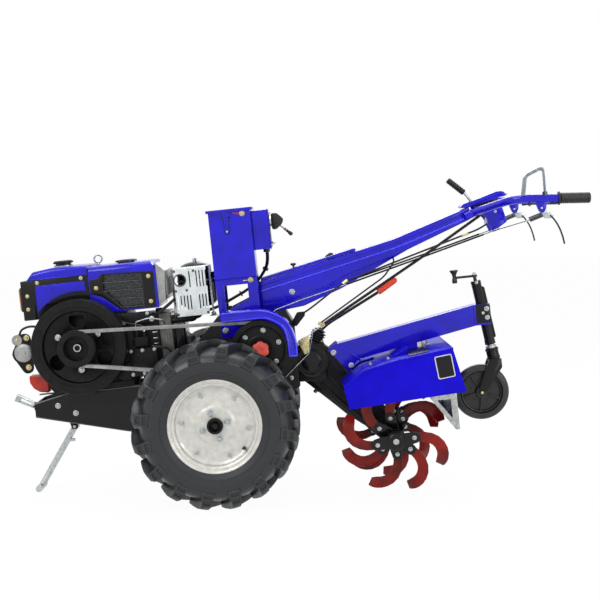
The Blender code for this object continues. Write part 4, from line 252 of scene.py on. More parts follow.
# Zinc on steel: satin, with faint clouds, and blue white or yellow by its passivation
def plating(name, base, shade, roughness, metallic, cloud):
    finish, tree, shader, places = newFinish(name, base, roughness, metallic)
    spangle = addNode(tree, "ShaderNodeTexVoronoi", (), {"Vector": places, "Scale": 1000 / cloud})
    tinted(tree, shader, grain(tree, places, cloud, 4.0), base, shade)
    variedRoughness(tree, shader, spangle.outputs["Distance"], roughness - 0.06, roughness + 0.12)
    raised(tree, shader, grain(tree, places, 1.2, 2.0), 0.03, 0.4)
    return finish


# Rubber and plastic: dull skin, a fine pebble, grey where it has been handled or dusted
def skin(name, base, shade, roughness, pebble, rise):
    finish, tree, shader, places = newFinish(name, base, roughness)
    tinted(tree, shader, grain(tree, places, 30, 5.0), base, shade)
    variedRoughness(tree, shader, grain(tree, places, 11), roughness - 0.07, roughness + 0.1)
    raised(tree, shader, grain(tree, places, pebble, 2.0), rise, 0.6)
    return finish


# Amber acrylic, moulded: clear enough to hold the light, ribbed inside at 4 mm
def lensFinish():
    finish, tree, shader, places = newFinish("amber acrylic, moulded", "#c8660e", 0.12, coat=0.3)
    ribs = addNode(tree, "ShaderNodeTexWave", {"bands_direction": "Z"},
        {"Vector": places, "Scale": 1000 / 4 / 6.2832})
    tinted(tree, shader, ribs.outputs["Fac"], "#b8560a", "#e08a22", 0.2, 0.8)
    shader.inputs["Transmission Weight"].default_value = 0.25
    return finish


# base, shade, roughness, coat and specular
bluePaint = enamel("royal blue enamel, sprayed", "#190dc4", "#1309a6", 0.24, 0.35, 0.22)
coverBlue = enamel("royal blue enamel, thin satin coat", "#190fc8", "#150cb2", 0.4, 0, 0.05)
# A lighter, glossier copy of the blue enamel: laid on beads along edges, it paints highlight lines
highlightBlue = enamel("royal blue enamel, lighter for painted highlights", "#241cf0", "#1a12d8", 0.16, 0.9, 0.5)
# A slightly lighter, glossier copy of the black enamel: laid on beads along edges, it paints highlight lines
highlightBlack = enamel("black enamel, lighter for painted highlights", "#0c0c0e", "#141417", 0.14, 0.9, 0.5)
blackPaint = enamel("black enamel, sprayed", "#09090a", "#101012", 0.26, 0.25, 0.16)
redPaint = enamel("orange red enamel, dipped", "#8a1407", "#4a0c06", 0.34, 0.15, 0.18)
coverRed = enamel("red enamel, sprayed", "#b02410", "#86180c", 0.3, 0.3, 0.3)
# base, shade, roughness, metallic and specular
blackCast = casting("cast iron, black painted", "#0b0b0c", "#171719", 0.36, 0, 0.2)
greyCast = casting("cast iron, machined and oiled", "#5b5b58", "#7c7b76", 0.42, 0.7)
dieCast = casting("aluminium, pressure die cast", "#a9aaa8", "#8b8c8a", 0.38, 0.8)
# base, shade, roughness, metallic and the clouds' width
zinc = plating("zinc plate, barrel plated", "#c3c7c8", "#9fa5a7", 0.3, 1, 12)
yellowZinc = plating("zinc plate, yellow passivated", "#d6cb9c", "#b5a473", 0.34, 0.9, 9)
wheelSilver = plating("wheel steel, silver lacquered", "#d2d1cb", "#bfbeb7", 0.36, 0.45, 22)
guardSteel = plating("heat shield steel, bright aluminised", "#dde3e4", "#c3c9cb", 0.28, 0.7, 30)
galvanised = plating("sheet steel, galvanised", "#b9bcb9", "#8f9391", 0.34, 0.85, 10)
loopSteel = plating("steel strap, dull zinc plated", "#8d9598", "#6a7276", 0.34, 0.85, 14)
rodSteel = plating("steel rod, drawn and oiled", "#4d4f52", "#6a6c70", 0.28, 0.9, 8)
bright = plating("steel pressing, nickel plated", "#d8dadb", "#c5c8ca", 0.14, 1, 40)
# base, shade, roughness, the pebble's width and its height in millimetres
tyreRubber = skin("tyre rubber, moulded", "#141517", "#26282b", 0.36, 2.4, 0.1)
beltRubber = skin("belt rubber, canvas wrapped", "#9c9c99", "#77787a", 0.7, 1, 0.12)
hoseRubber = skin("rubber hose, extruded", "#131314", "#1d1d1f", 0.45, 1.5, 0.05)
blackPlastic = skin("black polypropylene, moulded", "#0b0b0c", "#141415", 0.4, 1, 0.05)
redCap = skin("red polyethylene, moulded", "#e0584a", "#c8463a", 0.42, 1.6, 0.2)
orangeRubber = skin("orange rubber grip, moulded", "#ee4a22", "#d93f1c", 0.48, 1.2, 0.05)
blankPlate = skin("lacquered aluminium plate, blank", "#d7d9dc", "#c9ccd0", 0.35, 2, 0.01)
amberLens = lensFinish()
print("finishes made")


# Shapes that several pieces share
# Rows of millimetres as metres
def mm(*rows):
    return [tuple(value / 1000 for value in row) for row in rows]


def joined(parts):
    whole = bmesh.new()
    for part in parts:
        sheet = bpy.data.meshes.new("part")
        part.to_mesh(sheet)
        part.free()
        whole.from_mesh(sheet)
        bpy.data.meshes.remove(sheet)
    return whole


def sideName(side):
    return "left" if side < 0 else "right"


def rounded(bm, edges, width, segments, clamp=False):
    bmesh.ops.bevel(bm, geom=edges, offset=width, segments=segments, profile=0.5, affect="EDGES",
        material=-1, clamp_overlap=clamp)


# Closed lines of points joined to one skin, with both ends filled
def lofted(lines):
    bm = bmesh.new()
    rings = []
    for points in lines:
        line = [bm.verts.new(point) for point in points]
        rings.append([bm.edges.new(pair) for pair in zip(line, line[1:] + line[:1])])
    for first, second in zip(rings, rings[1:]):
        bmesh.ops.bridge_loops(bm, edges=first + second)
    for ring in (rings[0], rings[-1]):
        bmesh.ops.contextual_create(bm, geom=ring)
    return bm


def soften(bm, width, segments=2, angle=28):
    bmesh.ops.recalc_face_normals(bm, faces=bm.faces[:])
    sharp = [edge for edge in bm.edges if edge.is_manifold and edge.calc_face_angle(0) > radians(angle)]
    if sharp and width:
        rounded(bm, sharp, width, segments, True)
    return bm


def box(low, high, edge=0.0, segments=2):
    bm = bmesh.new()
    bmesh.ops.create_cube(bm, size=1)
    bmesh.ops.scale(bm, vec=Vector(high) - Vector(low), verts=bm.verts[:])
    bmesh.ops.translate(bm, vec=(Vector(high) + Vector(low)) / 2, verts=bm.verts[:])
    return soften(bm, edge, segments)


# A flat outline of (x, z) points drawn out from one y to another, with round corners and soft edges
def slab(outline, near, far, edge=0.0, corner=0.0, corners=4):
    bm = bmesh.new()
    face = bm.faces.new([bm.verts.new((x, near, z)) for x, z in outline])
    grown = bmesh.ops.extrude_face_region(bm, geom=[face])
    moved = [item for item in grown["geom"] if isinstance(item, bmesh.types.BMVert)]
    bmesh.ops.translate(bm, vec=(0, far - near, 0), verts=moved)
    if corner:
        sides = [item for item in bm.edges if abs(item.verts[0].co.y - item.verts[1].co.y) > 1e-6]
        rounded(bm, sides, corner, corners, True)
    return soften(bm, edge, 2, 50)


def aimed(bm, axis, centre, start=upwards):
    turn = Vector(start).rotation_difference(Vector(axis)).to_matrix().to_4x4()
    bm.transform(Matrix.Translation(centre) @ turn)
    return bm


# A profile of (along, radius) points spun about an axis
def turned(profile, steps=48, centre=(0, 0, 0), axis=toRight, closed=False):
    bm = bmesh.new()
    line = [bm.verts.new((radius, 0, along)) for along, radius in profile]
    edges = [bm.edges.new(pair) for pair in zip(line, line[1:])]
    if closed:
        edges.append(bm.edges.new((line[-1], line[0])))
    bmesh.ops.spin(bm, geom=line + edges, cent=(0, 0, 0), axis=upwards, angle=2 * pi, steps=steps,
        use_merge=True, use_duplicate=False, dvec=(0, 0, 0))
    bmesh.ops.remove_doubles(bm, verts=bm.verts[:], dist=1e-6)
    return aimed(bm, axis, centre)


def rod(start, finish, radius, sides=16, end=None, edge=0.0):
    bm = bmesh.new()
    reach = Vector(finish) - Vector(start)
    bmesh.ops.create_cone(bm, cap_ends=True, cap_tris=False, segments=sides, radius1=radius,
        radius2=radius if end is None else end, depth=reach.length)
    soften(bm, edge, 2, 50)
    return aimed(bm, reach, (Vector(start) + Vector(finish)) / 2)


# A hexagon head on a washer: across flats and height in metres, axis points out of the face
def bolt(place, axis, across=0.013, height=0.007, washer=True, turn=0.3):
    axis = Vector(axis).normalized()
    across *= 0.86
    head = bmesh.new()
    bmesh.ops.create_cone(head, cap_ends=True, cap_tris=False, segments=6, radius1=across * 0.577,
        radius2=across * 0.577, depth=height)
    bmesh.ops.rotate(head, cent=(0, 0, 0), matrix=Matrix.Rotation(turn, 3, "Z"), verts=head.verts[:])
    soften(head, height * 0.14, 1, 20)
    lift = 0.0018 if washer else 0
    parts = [aimed(head, axis, Vector(place) + axis * (height / 2 + lift))]
    if washer:
        parts.append(rod(Vector(place) - axis * 0.0015, Vector(place) + axis * lift, across * 0.88, 20,
            edge=0.0004))
    return joined(parts)


# Makes a bmesh, or a list of them, a piece: merged, facing out, in its place, with its finish, on its body
def piece(bm, name, finish, body="machine", place=machine, smooth=34, stands=()):
    if isinstance(bm, list):
        bm = joined(bm)
    bmesh.ops.remove_doubles(bm, verts=bm.verts[:], dist=5e-6)
    bmesh.ops.recalc_face_normals(bm, faces=bm.faces[:])
    bm.transform(place)
    mesh = bpy.data.meshes.new(name)
    bm.to_mesh(mesh)
    bm.free()
    return settled(bpy.data.objects.new(name, mesh), body, finish, smooth, stands)


def settled(thing, body, finish, smooth=34, stands=()):
    thing.data.materials.append(finish)
    if thing.type == "MESH":
        thing.data.shade_smooth()
        thing.data.set_sharp_from_angle(angle=radians(smooth))
    bpy.context.scene.collection.objects.link(thing)
    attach(thing, body)
    if stands:
        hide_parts(*stands)
    return thing


# Rounds the corners of a route of points, for bent rod, pipe and wire
def bentRoute(points, bend, steps=5):
    points = [Vector(point) for point in points]
    route = [points[0]]
    for before, corner, after in zip(points, points[1:], points[2:]):
        back, ahead = before - corner, after - corner
        cut = min(bend, back.length * 0.48, ahead.length * 0.48)
        start, end = corner + back.normalized() * cut, corner + ahead.normalized() * cut
        for step in range(steps + 1):
            share = step / steps
            route.append(start * (1 - share) ** 2 + corner * 2 * share * (1 - share) + end * share ** 2)
    return route + [points[-1]]


# A bent rod, pipe or wire as a curve with a round section
def pipe(points, radius, name, finish, body="machine", bend=0.02, place=machine, sides=3,
        stands=()):
    data = bpy.data.curves.new(name, "CURVE")
    data.dimensions = "3D"
    data.bevel_depth = radius
    data.bevel_resolution = sides
    data.use_fill_caps = True
    route = [place @ point for point in bentRoute(points, bend)]
    spline = data.splines.new("POLY")
    spline.points.add(len(route) - 1)
    for spot, point in zip(spline.points, route):
        spot.co = (*point, 1)
    return settled(bpy.data.objects.new(name, data), body, finish, stands=stands)


# A CAD node's own shape, merged, with its flat faces made whole and its edges softened, in its better finish
def refined(name, finish, width=0.0015, segments=2, angle=28):
    bm = bmesh.new()
    bm.from_mesh(nodes[name].data)
    bmesh.ops.remove_doubles(bm, verts=bm.verts[:], dist=1e-5)
    bmesh.ops.dissolve_limit(bm, angle_limit=radians(0.6), use_dissolve_boundaries=False, verts=bm.verts[:],
        edges=bm.edges[:])
    soften(bm, width, segments, angle)
    return piece(bm, name + "Shell", finish, nodes[name]["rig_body"], place=upright, stands=(name,))


# Wheels
# Rubber that is dull on the wall and glossy in the tread: the radius from the axle sets which
def tyreFinish(name, centre, matt, glossy, edge):
    finish, tree, shader, places = newFinish(name, "#1c1d1f", 0.5)
    moved = addNode(tree, "ShaderNodeMapping", (), {"Vector": places,
        "Location": [-share for share in centre]})
    parts = addNode(tree, "ShaderNodeSeparateXYZ", (), {0: moved.outputs[0]})
    flatPlace = addNode(tree, "ShaderNodeCombineXYZ", (), {"X": parts.outputs["X"], "Y": parts.outputs["Z"]})
    radius = addNode(tree, "ShaderNodeVectorMath", {"operation": "LENGTH"},
        {0: flatPlace.outputs[0]}).outputs["Value"]
    outer = ranged(tree, radius, edge - 0.003, edge + 0.004)
    clouds = grain(tree, places, 24, 5.0)
    wall = blended(tree, clouds, colour(matt), colour("#242629"))
    tread = blended(tree, clouds, colour(glossy), colour("#1b1c1f"))
    tree.links.new(blended(tree, outer, wall, tread), shader.inputs["Base Color"])
    tree.links.new(ranged(tree, outer, toLow=0.52, toHigh=0.34), shader.inputs["Roughness"])
    rings = worked(tree, "MULTIPLY", radius, 2 * pi / 0.0042)
    ribs = addNode(tree, "ShaderNodeMath", {"operation": "SINE"}, {0: rings}).outputs[0]
    ribbed = worked(tree, "MULTIPLY", ribs, ranged(tree, radius, edge - 0.03, edge - 0.045, 0, 0.35))
    raised(tree, shader, worked(tree, "ADD", ribbed, grain(tree, places, 3)), 0.5, 0.5)
    return finish


tyreSize = {"track": 0.65, "lugs": 16, "lean": 11, "ringLine": 0.2455, "steps": 96}

# Half the tyre's section from the bead to the crown: across the tyre and from the axle, in metres
tyreSection = mm((46.7, 153), (56, 176.5), (60.6, 178.4), (64, 183), (67.6, 188), (72, 196), (73.8, 197.8),
    (74.8, 204), (78.2, 207), (80.6, 218), (82.2, 230), (81.8, 240), (82.2, 243.2), (81.6, 246.2),
    (79.2, 247.8), (75.2, 256), (70, 265), (60, 274.2), (45, 282), (22, 289.2), (6, 292.5), (0, 293))

# A lug from the crown to the wall: outer y and radius, inner y and radius, share of the lean, width
lugStations = ((-0.008, 0.315, -0.008, 0.286, -0.08, 0.018), (-0.004, 0.3196, -0.004, 0.286, -0.04, 0.02),
    (0.022, 0.32, 0.02, 0.284, 0.27, 0.023), (0.048, 0.3188, 0.045, 0.276, 0.6, 0.028),
    (0.069, 0.313, 0.06, 0.268, 0.85, 0.034), (0.08, 0.301, 0.066, 0.259, 0.97, 0.04),
    (0.0822, 0.276, 0.07, 0.252, 1.0, 0.046), (0.082, 0.25, 0.074, 0.244, 1.0, 0.05))


def tyreLug(hand, turn):
    bm = bmesh.new()
    loops = []
    for outY, outRadius, inY, inRadius, lean, width in lugStations:
        ring = []
        for y, radius, edge in ((inY, inRadius, -1), (inY, inRadius, 1), (outY, outRadius, 1),
                (outY, outRadius, -1)):
            angle = turn + lean * radians(tyreSize["lean"]) + edge * width / 2 / radius
            ring.append(bm.verts.new((radius * sin(angle), hand * y, -radius * cos(angle))))
        loops.append([bm.edges.new((ring[at], ring[(at + 1) % 4])) for at in range(4)])
    for first, second in zip(loops, loops[1:]):
        bmesh.ops.bridge_loops(bm, edges=first + second)
    bmesh.ops.holes_fill(bm, edges=loops[0] + loops[-1], sides=4)
    bmesh.ops.recalc_face_normals(bm, faces=bm.faces[:])
    rounded(bm, [edge for edge in bm.edges if edge.calc_face_angle(0) > 0.7], 0.0028, 2, True)
    walls = sorted((face for face in bm.faces if face.normal.y * hand > 0.9),
        key=lambda face: -face.calc_area())[:2]
    for wall in walls:
        for width, depth in ((0.0065, 0), (0.0015, -0.0045)):
            bmesh.ops.inset_individual(bm, faces=[wall], thickness=width, depth=depth, use_even_offset=True)
    return bm


def tyreShape():
    profile = tyreSection + [(-across, radius) for across, radius in reversed(tyreSection[:-1])]
    parts = [turned(profile, tyreSize["steps"], closed=True)]
    pitch = 2 * pi / tyreSize["lugs"]
    for hand in (-1, 1):
        shift = pitch / 2 if hand > 0 else 0
        parts += [tyreLug(hand, at * pitch + shift) for at in range(tyreSize["lugs"])]
    return joined(parts)


wheelSize = {"boltRing": 0.124, "bolts": 6, "firstBolt": 50, "nutRing": 0.05, "nuts": 4, "firstNut": 15,
    "discFace": 0.034, "hubNose": 0.053, "steps": 120, "starRing": 0.105, "starHalf": 0.032,
    "starRise": 0.0022, "dimple": 0.017, "dimpleDepth": 0.004}

# closed: the side that the tyre sits on, then the side that shows
rimSection = mm((60, 177.6), (57.2, 178), (47, 152.6), (-47, 152.6), (-57.2, 178), (-60, 177.6), (-60.4, 174),
    (-59, 170.6), (-56, 166), (-50, 154), (-45, 149.6), (38, 149.6), (44, 150.2), (49, 153.5), (52, 159),
    (52.8, 162.2), (56, 165), (57.2, 169), (59.2, 171.2), (60.4, 174.4))

# outer face from the bore outwards, then the back
discSection = mm((34, 30), (34, 45), (34, 60), (33.4, 68), (31.2, 72.5), (29, 77), (28.2, 82), (28, 90),
    (28, 100), (28, 108), (28, 113), (28, 118), (28, 123), (28, 128), (28, 133), (28.4, 138), (30, 142),
    (33, 145), (34.5, 148), (34.5, 149.9), (30, 149.9), (25, 144), (23, 136), (23, 123), (23, 100),
    (23.2, 78), (29, 68), (29, 45), (29, 30))


def ringPlaces(count, radius, first):
    return [(radius * cos(radians(first) + 2 * pi * at / count),
        radius * sin(radians(first) + 2 * pi * at / count)) for at in range(count)]


# The pressed disc: a shallow six-pointed star, and a dimple under each bolt
def discShape():
    bm = turned(discSection, wheelSize["steps"], closed=True)
    bolts = ringPlaces(wheelSize["bolts"], wheelSize["boltRing"], wheelSize["firstBolt"])
    for vert in bm.verts:
        radius = hypot(vert.co.x, vert.co.z)
        angle = atan2(vert.co.z, vert.co.x) - radians(wheelSize["firstBolt"])
        band = max(0.0, 1 - ((radius - wheelSize["starRing"]) / wheelSize["starHalf"]) ** 2)
        vert.co.y += wheelSize["starRise"] * band * cos(6 * angle) ** 3
        near = min(hypot(vert.co.x - x, vert.co.z - z) for x, z in bolts)
        if near < wheelSize["dimple"]:
            vert.co.y -= wheelSize["dimpleDepth"] * (1 - (near / wheelSize["dimple"]) ** 2) ** 0.5
    return bm


def wheelPieces(side, name):
    body = "wheel_" + name
    place = machine @ Matrix.Translation((0, side * tyreSize["track"] / 2, 0))
    flip = Matrix.Scale(side, 4, toRight)
    rubber = tyreFinish("tyre rubber, moulded, " + name, machine @ Vector((0, 0, 0)), "#18191b", "#26292d",
        tyreSize["ringLine"])
    piece(tyreShape(), "tyre_" + name + "_rubber", rubber, body, place=place, smooth=30,
        stands=["tyre_" + name])

    disc = joined([turned(rimSection, wheelSize["steps"], closed=True), discShape()])
    disc.transform(flip)
    piece(disc, "rim_" + name, wheelSilver, body, place=place, smooth=24, stands=["wheel_disc_" + name])

    face = wheelSize["discFace"]
    fixings = []
    for x, z in ringPlaces(wheelSize["bolts"], wheelSize["boltRing"], wheelSize["firstBolt"]):
        fixings.append(bolt((x, face - 0.0095, z), toRight, 0.014, 0.008))
        fixings.append(rod((x, face - 0.012, z), (x, face + 0.004, z), 0.0042, 12, edge=0.0006))
    for x, z in ringPlaces(wheelSize["nuts"], wheelSize["nutRing"], wheelSize["firstNut"]):
        fixings.append(bolt((x, face, z), toRight, 0.019, 0.011))
        fixings.append(rod((x, face, z), (x, face + 0.019, z), 0.0055, 12, edge=0.001))
    nuts = joined(fixings)
    nuts.transform(flip)
    piece(nuts, "wheel_nuts_" + name, zinc, body, place=place, smooth=30)

    inner = 0.175 - tyreSize["track"] / 2
    start = 0.21 - tyreSize["track"] / 2
    nose = wheelSize["hubNose"]
    axle = joined([
        turned(((inner, 0), (inner, 0.0215), (start, 0.0215), (start, 0.04), (start + 0.004, 0.0445),
            (face - 0.034, 0.0445), (face - 0.022, 0.05), (face - 0.018, 0.064), (face - 0.006, 0.064),
            (face - 0.0052, 0.0635), (face - 0.0052, 0)), 40),
        turned(((face - 0.004, 0.0305), (nose - 0.003, 0.0305), (nose, 0.0285), (nose, 0.0225),
            (nose - 0.002, 0.021), (face - 0.004, 0.021)), 40, closed=True),
        turned(((face - 0.004, 0), (face - 0.004, 0.0125), (0.0465, 0.0125), (0.049, 0.0105),
            (0.049, 0.004), (0.046, 0)), 24)])
    axle.transform(flip)
    piece(axle, "hub_" + name, blackCast, body, place=place, smooth=30)

    stem = rod((0.101, face + 0.004, -0.094), (0.0975, face + 0.03, -0.09), 0.0075, 14, 0.0045, 0.001)
    stem = joined([stem, rod((0.0975, face + 0.03, -0.09), (0.0965, face + 0.038, -0.0892), 0.0038, 12,
        edge=0.0008)])
    stem.transform(flip)
    piece(stem, "valve_" + name, hoseRubber, body, place=place, smooth=30)


wheelPieces(-1, "left")
wheelPieces(1, "right")
print("wheels made")


# Cuts one piece with others through the exact Boolean, and leaves its mesh final
def cutAway(thing, cutters, smooth=30, finish=blackPaint, place=machine):
    tool = piece(cutters, thing.name + "Cut", finish, thing["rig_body"], place=place)
    cut = thing.modifiers.new("cut", "BOOLEAN")
    cut.object = tool
    cut.operation = "DIFFERENCE"
    cut.solver = "EXACT"
    graph = bpy.context.evaluated_depsgraph_get()
    thing.data = bpy.data.meshes.new_from_object(thing.evaluated_get(graph))
    thing.modifiers.clear()
    thing.data.shade_smooth()
    thing.data.set_sharp_from_angle(angle=radians(smooth))
    bpy.data.objects.remove(tool)


# Belt drive

driveSize = {"flywheelX": -0.51, "flywheelZ": 0.33, "clutchX": 0.194, "clutchZ": 0.253, "earRing": 0.089,
    "pulley": 0.0716, "drum": 0.115, "groove": 0.014, "outerBelt": -0.2259, "innerBelt": -0.2049}

# machined face, recess, rim with its starter step, web and the crank behind
flywheelSection = mm((-150, 0), (-150, 38), (-148, 42), (-150, 46), (-150, 133), (-152, 138), (-156, 140.4),
    (-172.8, 141), (-174, 142.2), (-174, 148), (-172.6, 149.2), (-172.6, 156), (-174, 157.2), (-174, 183.5),
    (-171.5, 186), (-148, 186), (-147, 185), (-120, 185), (-119, 186), (-108, 186), (-106, 184), (-106, 141),
    (-136, 140), (-136, 36), (-106, 36), (-106, 20), (-71, 20), (-71, 0))

# boss, ring with two grooves, and the bore that the shaft end shows in
drivePulleySection = mm((-160, 30), (-160, 18), (-190, 17.8), (-190, 47.5), (-235.5, 47.5), (-237.5, 49),
    (-237.5, 70), (-236.5, 71.6), (-235, 71.6), (-232.2, 57), (-219.6, 57), (-216.8, 71.6), (-214, 71.6),
    (-211.2, 57), (-198.6, 57), (-195.8, 71.6), (-192.5, 71.6), (-191.5, 70), (-191.5, 58), (-148, 58),
    (-148, 30))


def flywheelPieces():
    centre = Vector((driveSize["flywheelX"], 0, driveSize["flywheelZ"]))
    place = machine @ Matrix.Translation(centre)
    wheel = piece(turned(flywheelSection, 96), "flywheelTurned", blackCast, "crank", place=place, smooth=28,
        stands=["flywheel"])
    holes = []
    for x, z in ringPlaces(3, 0.107, 90):
        holes.append(rod((x, -0.16, z), (x, -0.13, z), 0.031, 40, edge=0))
    cutAway(wheel, holes, 28, blackCast, place)

    pulley = [turned(drivePulleySection, 64, closed=True), turned(mm((-186, 0), (-186, 15), (-188.5, 17.8),
        (-201, 17.8), (-202.5, 16.3), (-202.5, 6), (-200.5, 4.5), (-200.5, 0)), 32)]
    ears = []
    for at, (x, z) in enumerate(ringPlaces(3, driveSize["earRing"], 30)):
        pulley.append(rod((x, -0.162, z), (x, -0.149, z), 0.0155, 24, edge=0.0015))
        arm = box((0.045, -0.1605, -0.0125), (0.092, -0.1495, 0.0125), 0.003)
        arm.transform(Matrix.Rotation(-2 * pi * at / 3 - pi / 6, 4, "Y"))
        pulley.append(arm)
        ears.append(bolt((x, -0.162, z), toLeft, 0.016, 0.009))
    piece(pulley, "drivePulley", blackCast, "crank", place=place, smooth=28)
    ears.append(turned(mm((-201, 11), (-204, 11), (-204, 15), (-201, 16.5)), 24, closed=True))
    piece(ears, "pulleyBolts", zinc, "crank", place=place, smooth=28)


# outer face disc, two-groove rim, back and shaft
clutchSection = mm((-219, 0), (-219, 40), (-220.5, 43), (-220.5, 52), (-218, 56), (-216.5, 90), (-234, 92.5),
    (-237.5, 95), (-237.5, 113.5), (-236.2, 115), (-235, 115), (-232.2, 100.5), (-219.6, 100.5),
    (-216.8, 115), (-214, 115), (-211.2, 100.5), (-198.6, 100.5), (-195.8, 115), (-192.5, 115), (-191.5, 114),
    (-191.5, 91), (-208, 90), (-208.5, 44), (-125, 44), (-125, 22), (-90, 22), (-90, 0))


def clutchPieces():
    place = machine @ Matrix.Translation((driveSize["clutchX"], 0, driveSize["clutchZ"]))
    piece(turned(clutchSection, 72), "clutchDrum", blackCast, "clutch", place=place, smooth=28,
        stands=["clutch_pulley"])
    bolts = [bolt((x, -0.2172, z), toLeft, 0.013, 0.008) for x, z in ringPlaces(6, 0.075, degrees(0.3))]
    piece(bolts, "clutchBolts", zinc, "clutch", place=place)
    lobes = turned(mm((-219.8, 0), (-219.8, 30), (-221.5, 32.5), (-230, 33.5), (-235, 31), (-237.2, 25),
        (-237.2, 10), (-234.5, 8), (-234.5, 0)), 72)
    for vert in lobes.verts:
        radius = hypot(vert.co.x, vert.co.z)
        angle = atan2(vert.co.z, vert.co.x)
        share = 1 - 0.1 * min(1, radius / 0.03) * (0.5 + 0.5 * cos(6 * angle)) ** 2
        vert.co.x, vert.co.z = vert.co.x * share, vert.co.z * share
    piece(lobes, "clutchKnob", redCap, "clutch", place=place, smooth=30, stands=["clutch_cap"])


# A belt round both pulleys: its loop from two arcs, its trapezium section drawn round it
def beltShape(middle):
    size = driveSize
    ends = ((size["flywheelX"], size["flywheelZ"], size["pulley"] - size["groove"]),
        (size["clutchX"], size["clutchZ"], size["drum"] - size["groove"]))
    reach = Vector((ends[1][0] - ends[0][0], ends[1][1] - ends[0][1]))
    slope, spread = atan2(reach.y, reach.x), asin((ends[1][2] - ends[0][2]) / reach.length)
    bm = bmesh.new()
    loops = []
    for rise, half in ((0.0006, 0.005), (0.0112, 0.0084), (0.0118, 0.008), (0.0118, -0.008),
            (0.0112, -0.0084), (0.0006, -0.005)):
        ring = []
        for end, start, finish in ((0, pi / 2 + spread, 3 * pi / 2 - spread),
                (1, -pi / 2 - spread, pi / 2 + spread)):
            for step in range(33):
                turn = slope + start + (finish - start) * step / 32
                radius = ends[end][2] + rise
                ring.append(bm.verts.new((ends[end][0] + radius * cos(turn), middle + half,
                    ends[end][1] + radius * sin(turn))))
        loops.append([bm.edges.new((ring[at], ring[(at + 1) % len(ring)])) for at in range(len(ring))])
    for first, second in zip(loops, loops[1:] + loops[:1]):
        bmesh.ops.bridge_loops(bm, edges=first + second)
    return bm


def beltPieces():
    for name in ("outer", "inner"):
        piece(beltShape(driveSize[name + "Belt"]), "belt_" + name + "_vee", beltRubber, smooth=40,
            stands=["belt_" + name])


flywheelPieces()
clutchPieces()
beltPieces()
print("belt drive made")


# Hood
# A plate whose long top edges are rolled, then every other edge softened
def rolledHood(outline, near, far, top, roll, edge):
    bm = slab(outline, near, far)
    long = [item for item in bm.edges if all(vert.co.z > top for vert in item.verts)
        and abs(item.verts[0].co.y - item.verts[1].co.y) < 1e-6]
    rounded(bm, long, roll, 6, True)
    return soften(bm, edge, 2, 35)


hoodSize = {"near": -0.1, "far": 0.22, "middle": 0.06, "fillerX": -0.5762, "radiatorCapX": -0.322,
    "eyeX": -0.434, "cell": 0.0115, "bar": 0.0011}

grilleOutline = mm((-451.7, 527.6), (-408.9, 512.8), (-339.5, 455.4), (-200.7, 453.6), (-198, 592.3),
    (-400.9, 603.4), (-414.3, 586.8), (-451.7, 581.2))
# the four openings that the mesh fills
grilleBands = (((-0.401, 0.568), (-0.244, 0.564), (-0.244, 0.59), (-0.396, 0.598)),
    ((-0.4, 0.5345), (-0.244, 0.5305), (-0.244, 0.56), (-0.401, 0.564)),
    ((-0.366, 0.501), (-0.244, 0.497), (-0.244, 0.5265), (-0.393, 0.5305)),
    ((-0.336, 0.465), (-0.244, 0.464), (-0.244, 0.493), (-0.359, 0.497)))
grilleBolts = ((-0.428, 0.548), (-0.219, 0.575), (-0.219, 0.476))


# A honeycomb of hexagons, each inset and opened, then given its thickness
def hexMesh(low, high, y):
    cell = hoodSize["cell"]
    bm = bmesh.new()
    for row in range(int((high[1] - low[1]) / (cell * 0.866)) + 1):
        for column in range(int((high[0] - low[0]) / cell) + 1):
            place = (low[0] + (column + (row % 2) / 2) * cell, y, low[1] + row * cell * 0.866)
            turn = Matrix.Rotation(pi / 2, 4, "X") @ Matrix.Rotation(pi / 6, 4, "Z")
            bmesh.ops.create_circle(bm, cap_ends=True, segments=6, radius=cell / sqrt(3),
                matrix=Matrix.Translation(place) @ turn)
    bmesh.ops.remove_doubles(bm, verts=bm.verts[:], dist=cell * 0.05)
    cells = bm.faces[:]
    bmesh.ops.inset_individual(bm, faces=cells, thickness=hoodSize["bar"], depth=0)
    bmesh.ops.delete(bm, geom=cells, context="FACES_ONLY")
    bmesh.ops.recalc_face_normals(bm, faces=bm.faces[:])
    bmesh.ops.solidify(bm, geom=bm.faces[:], thickness=0.0016)
    return bm


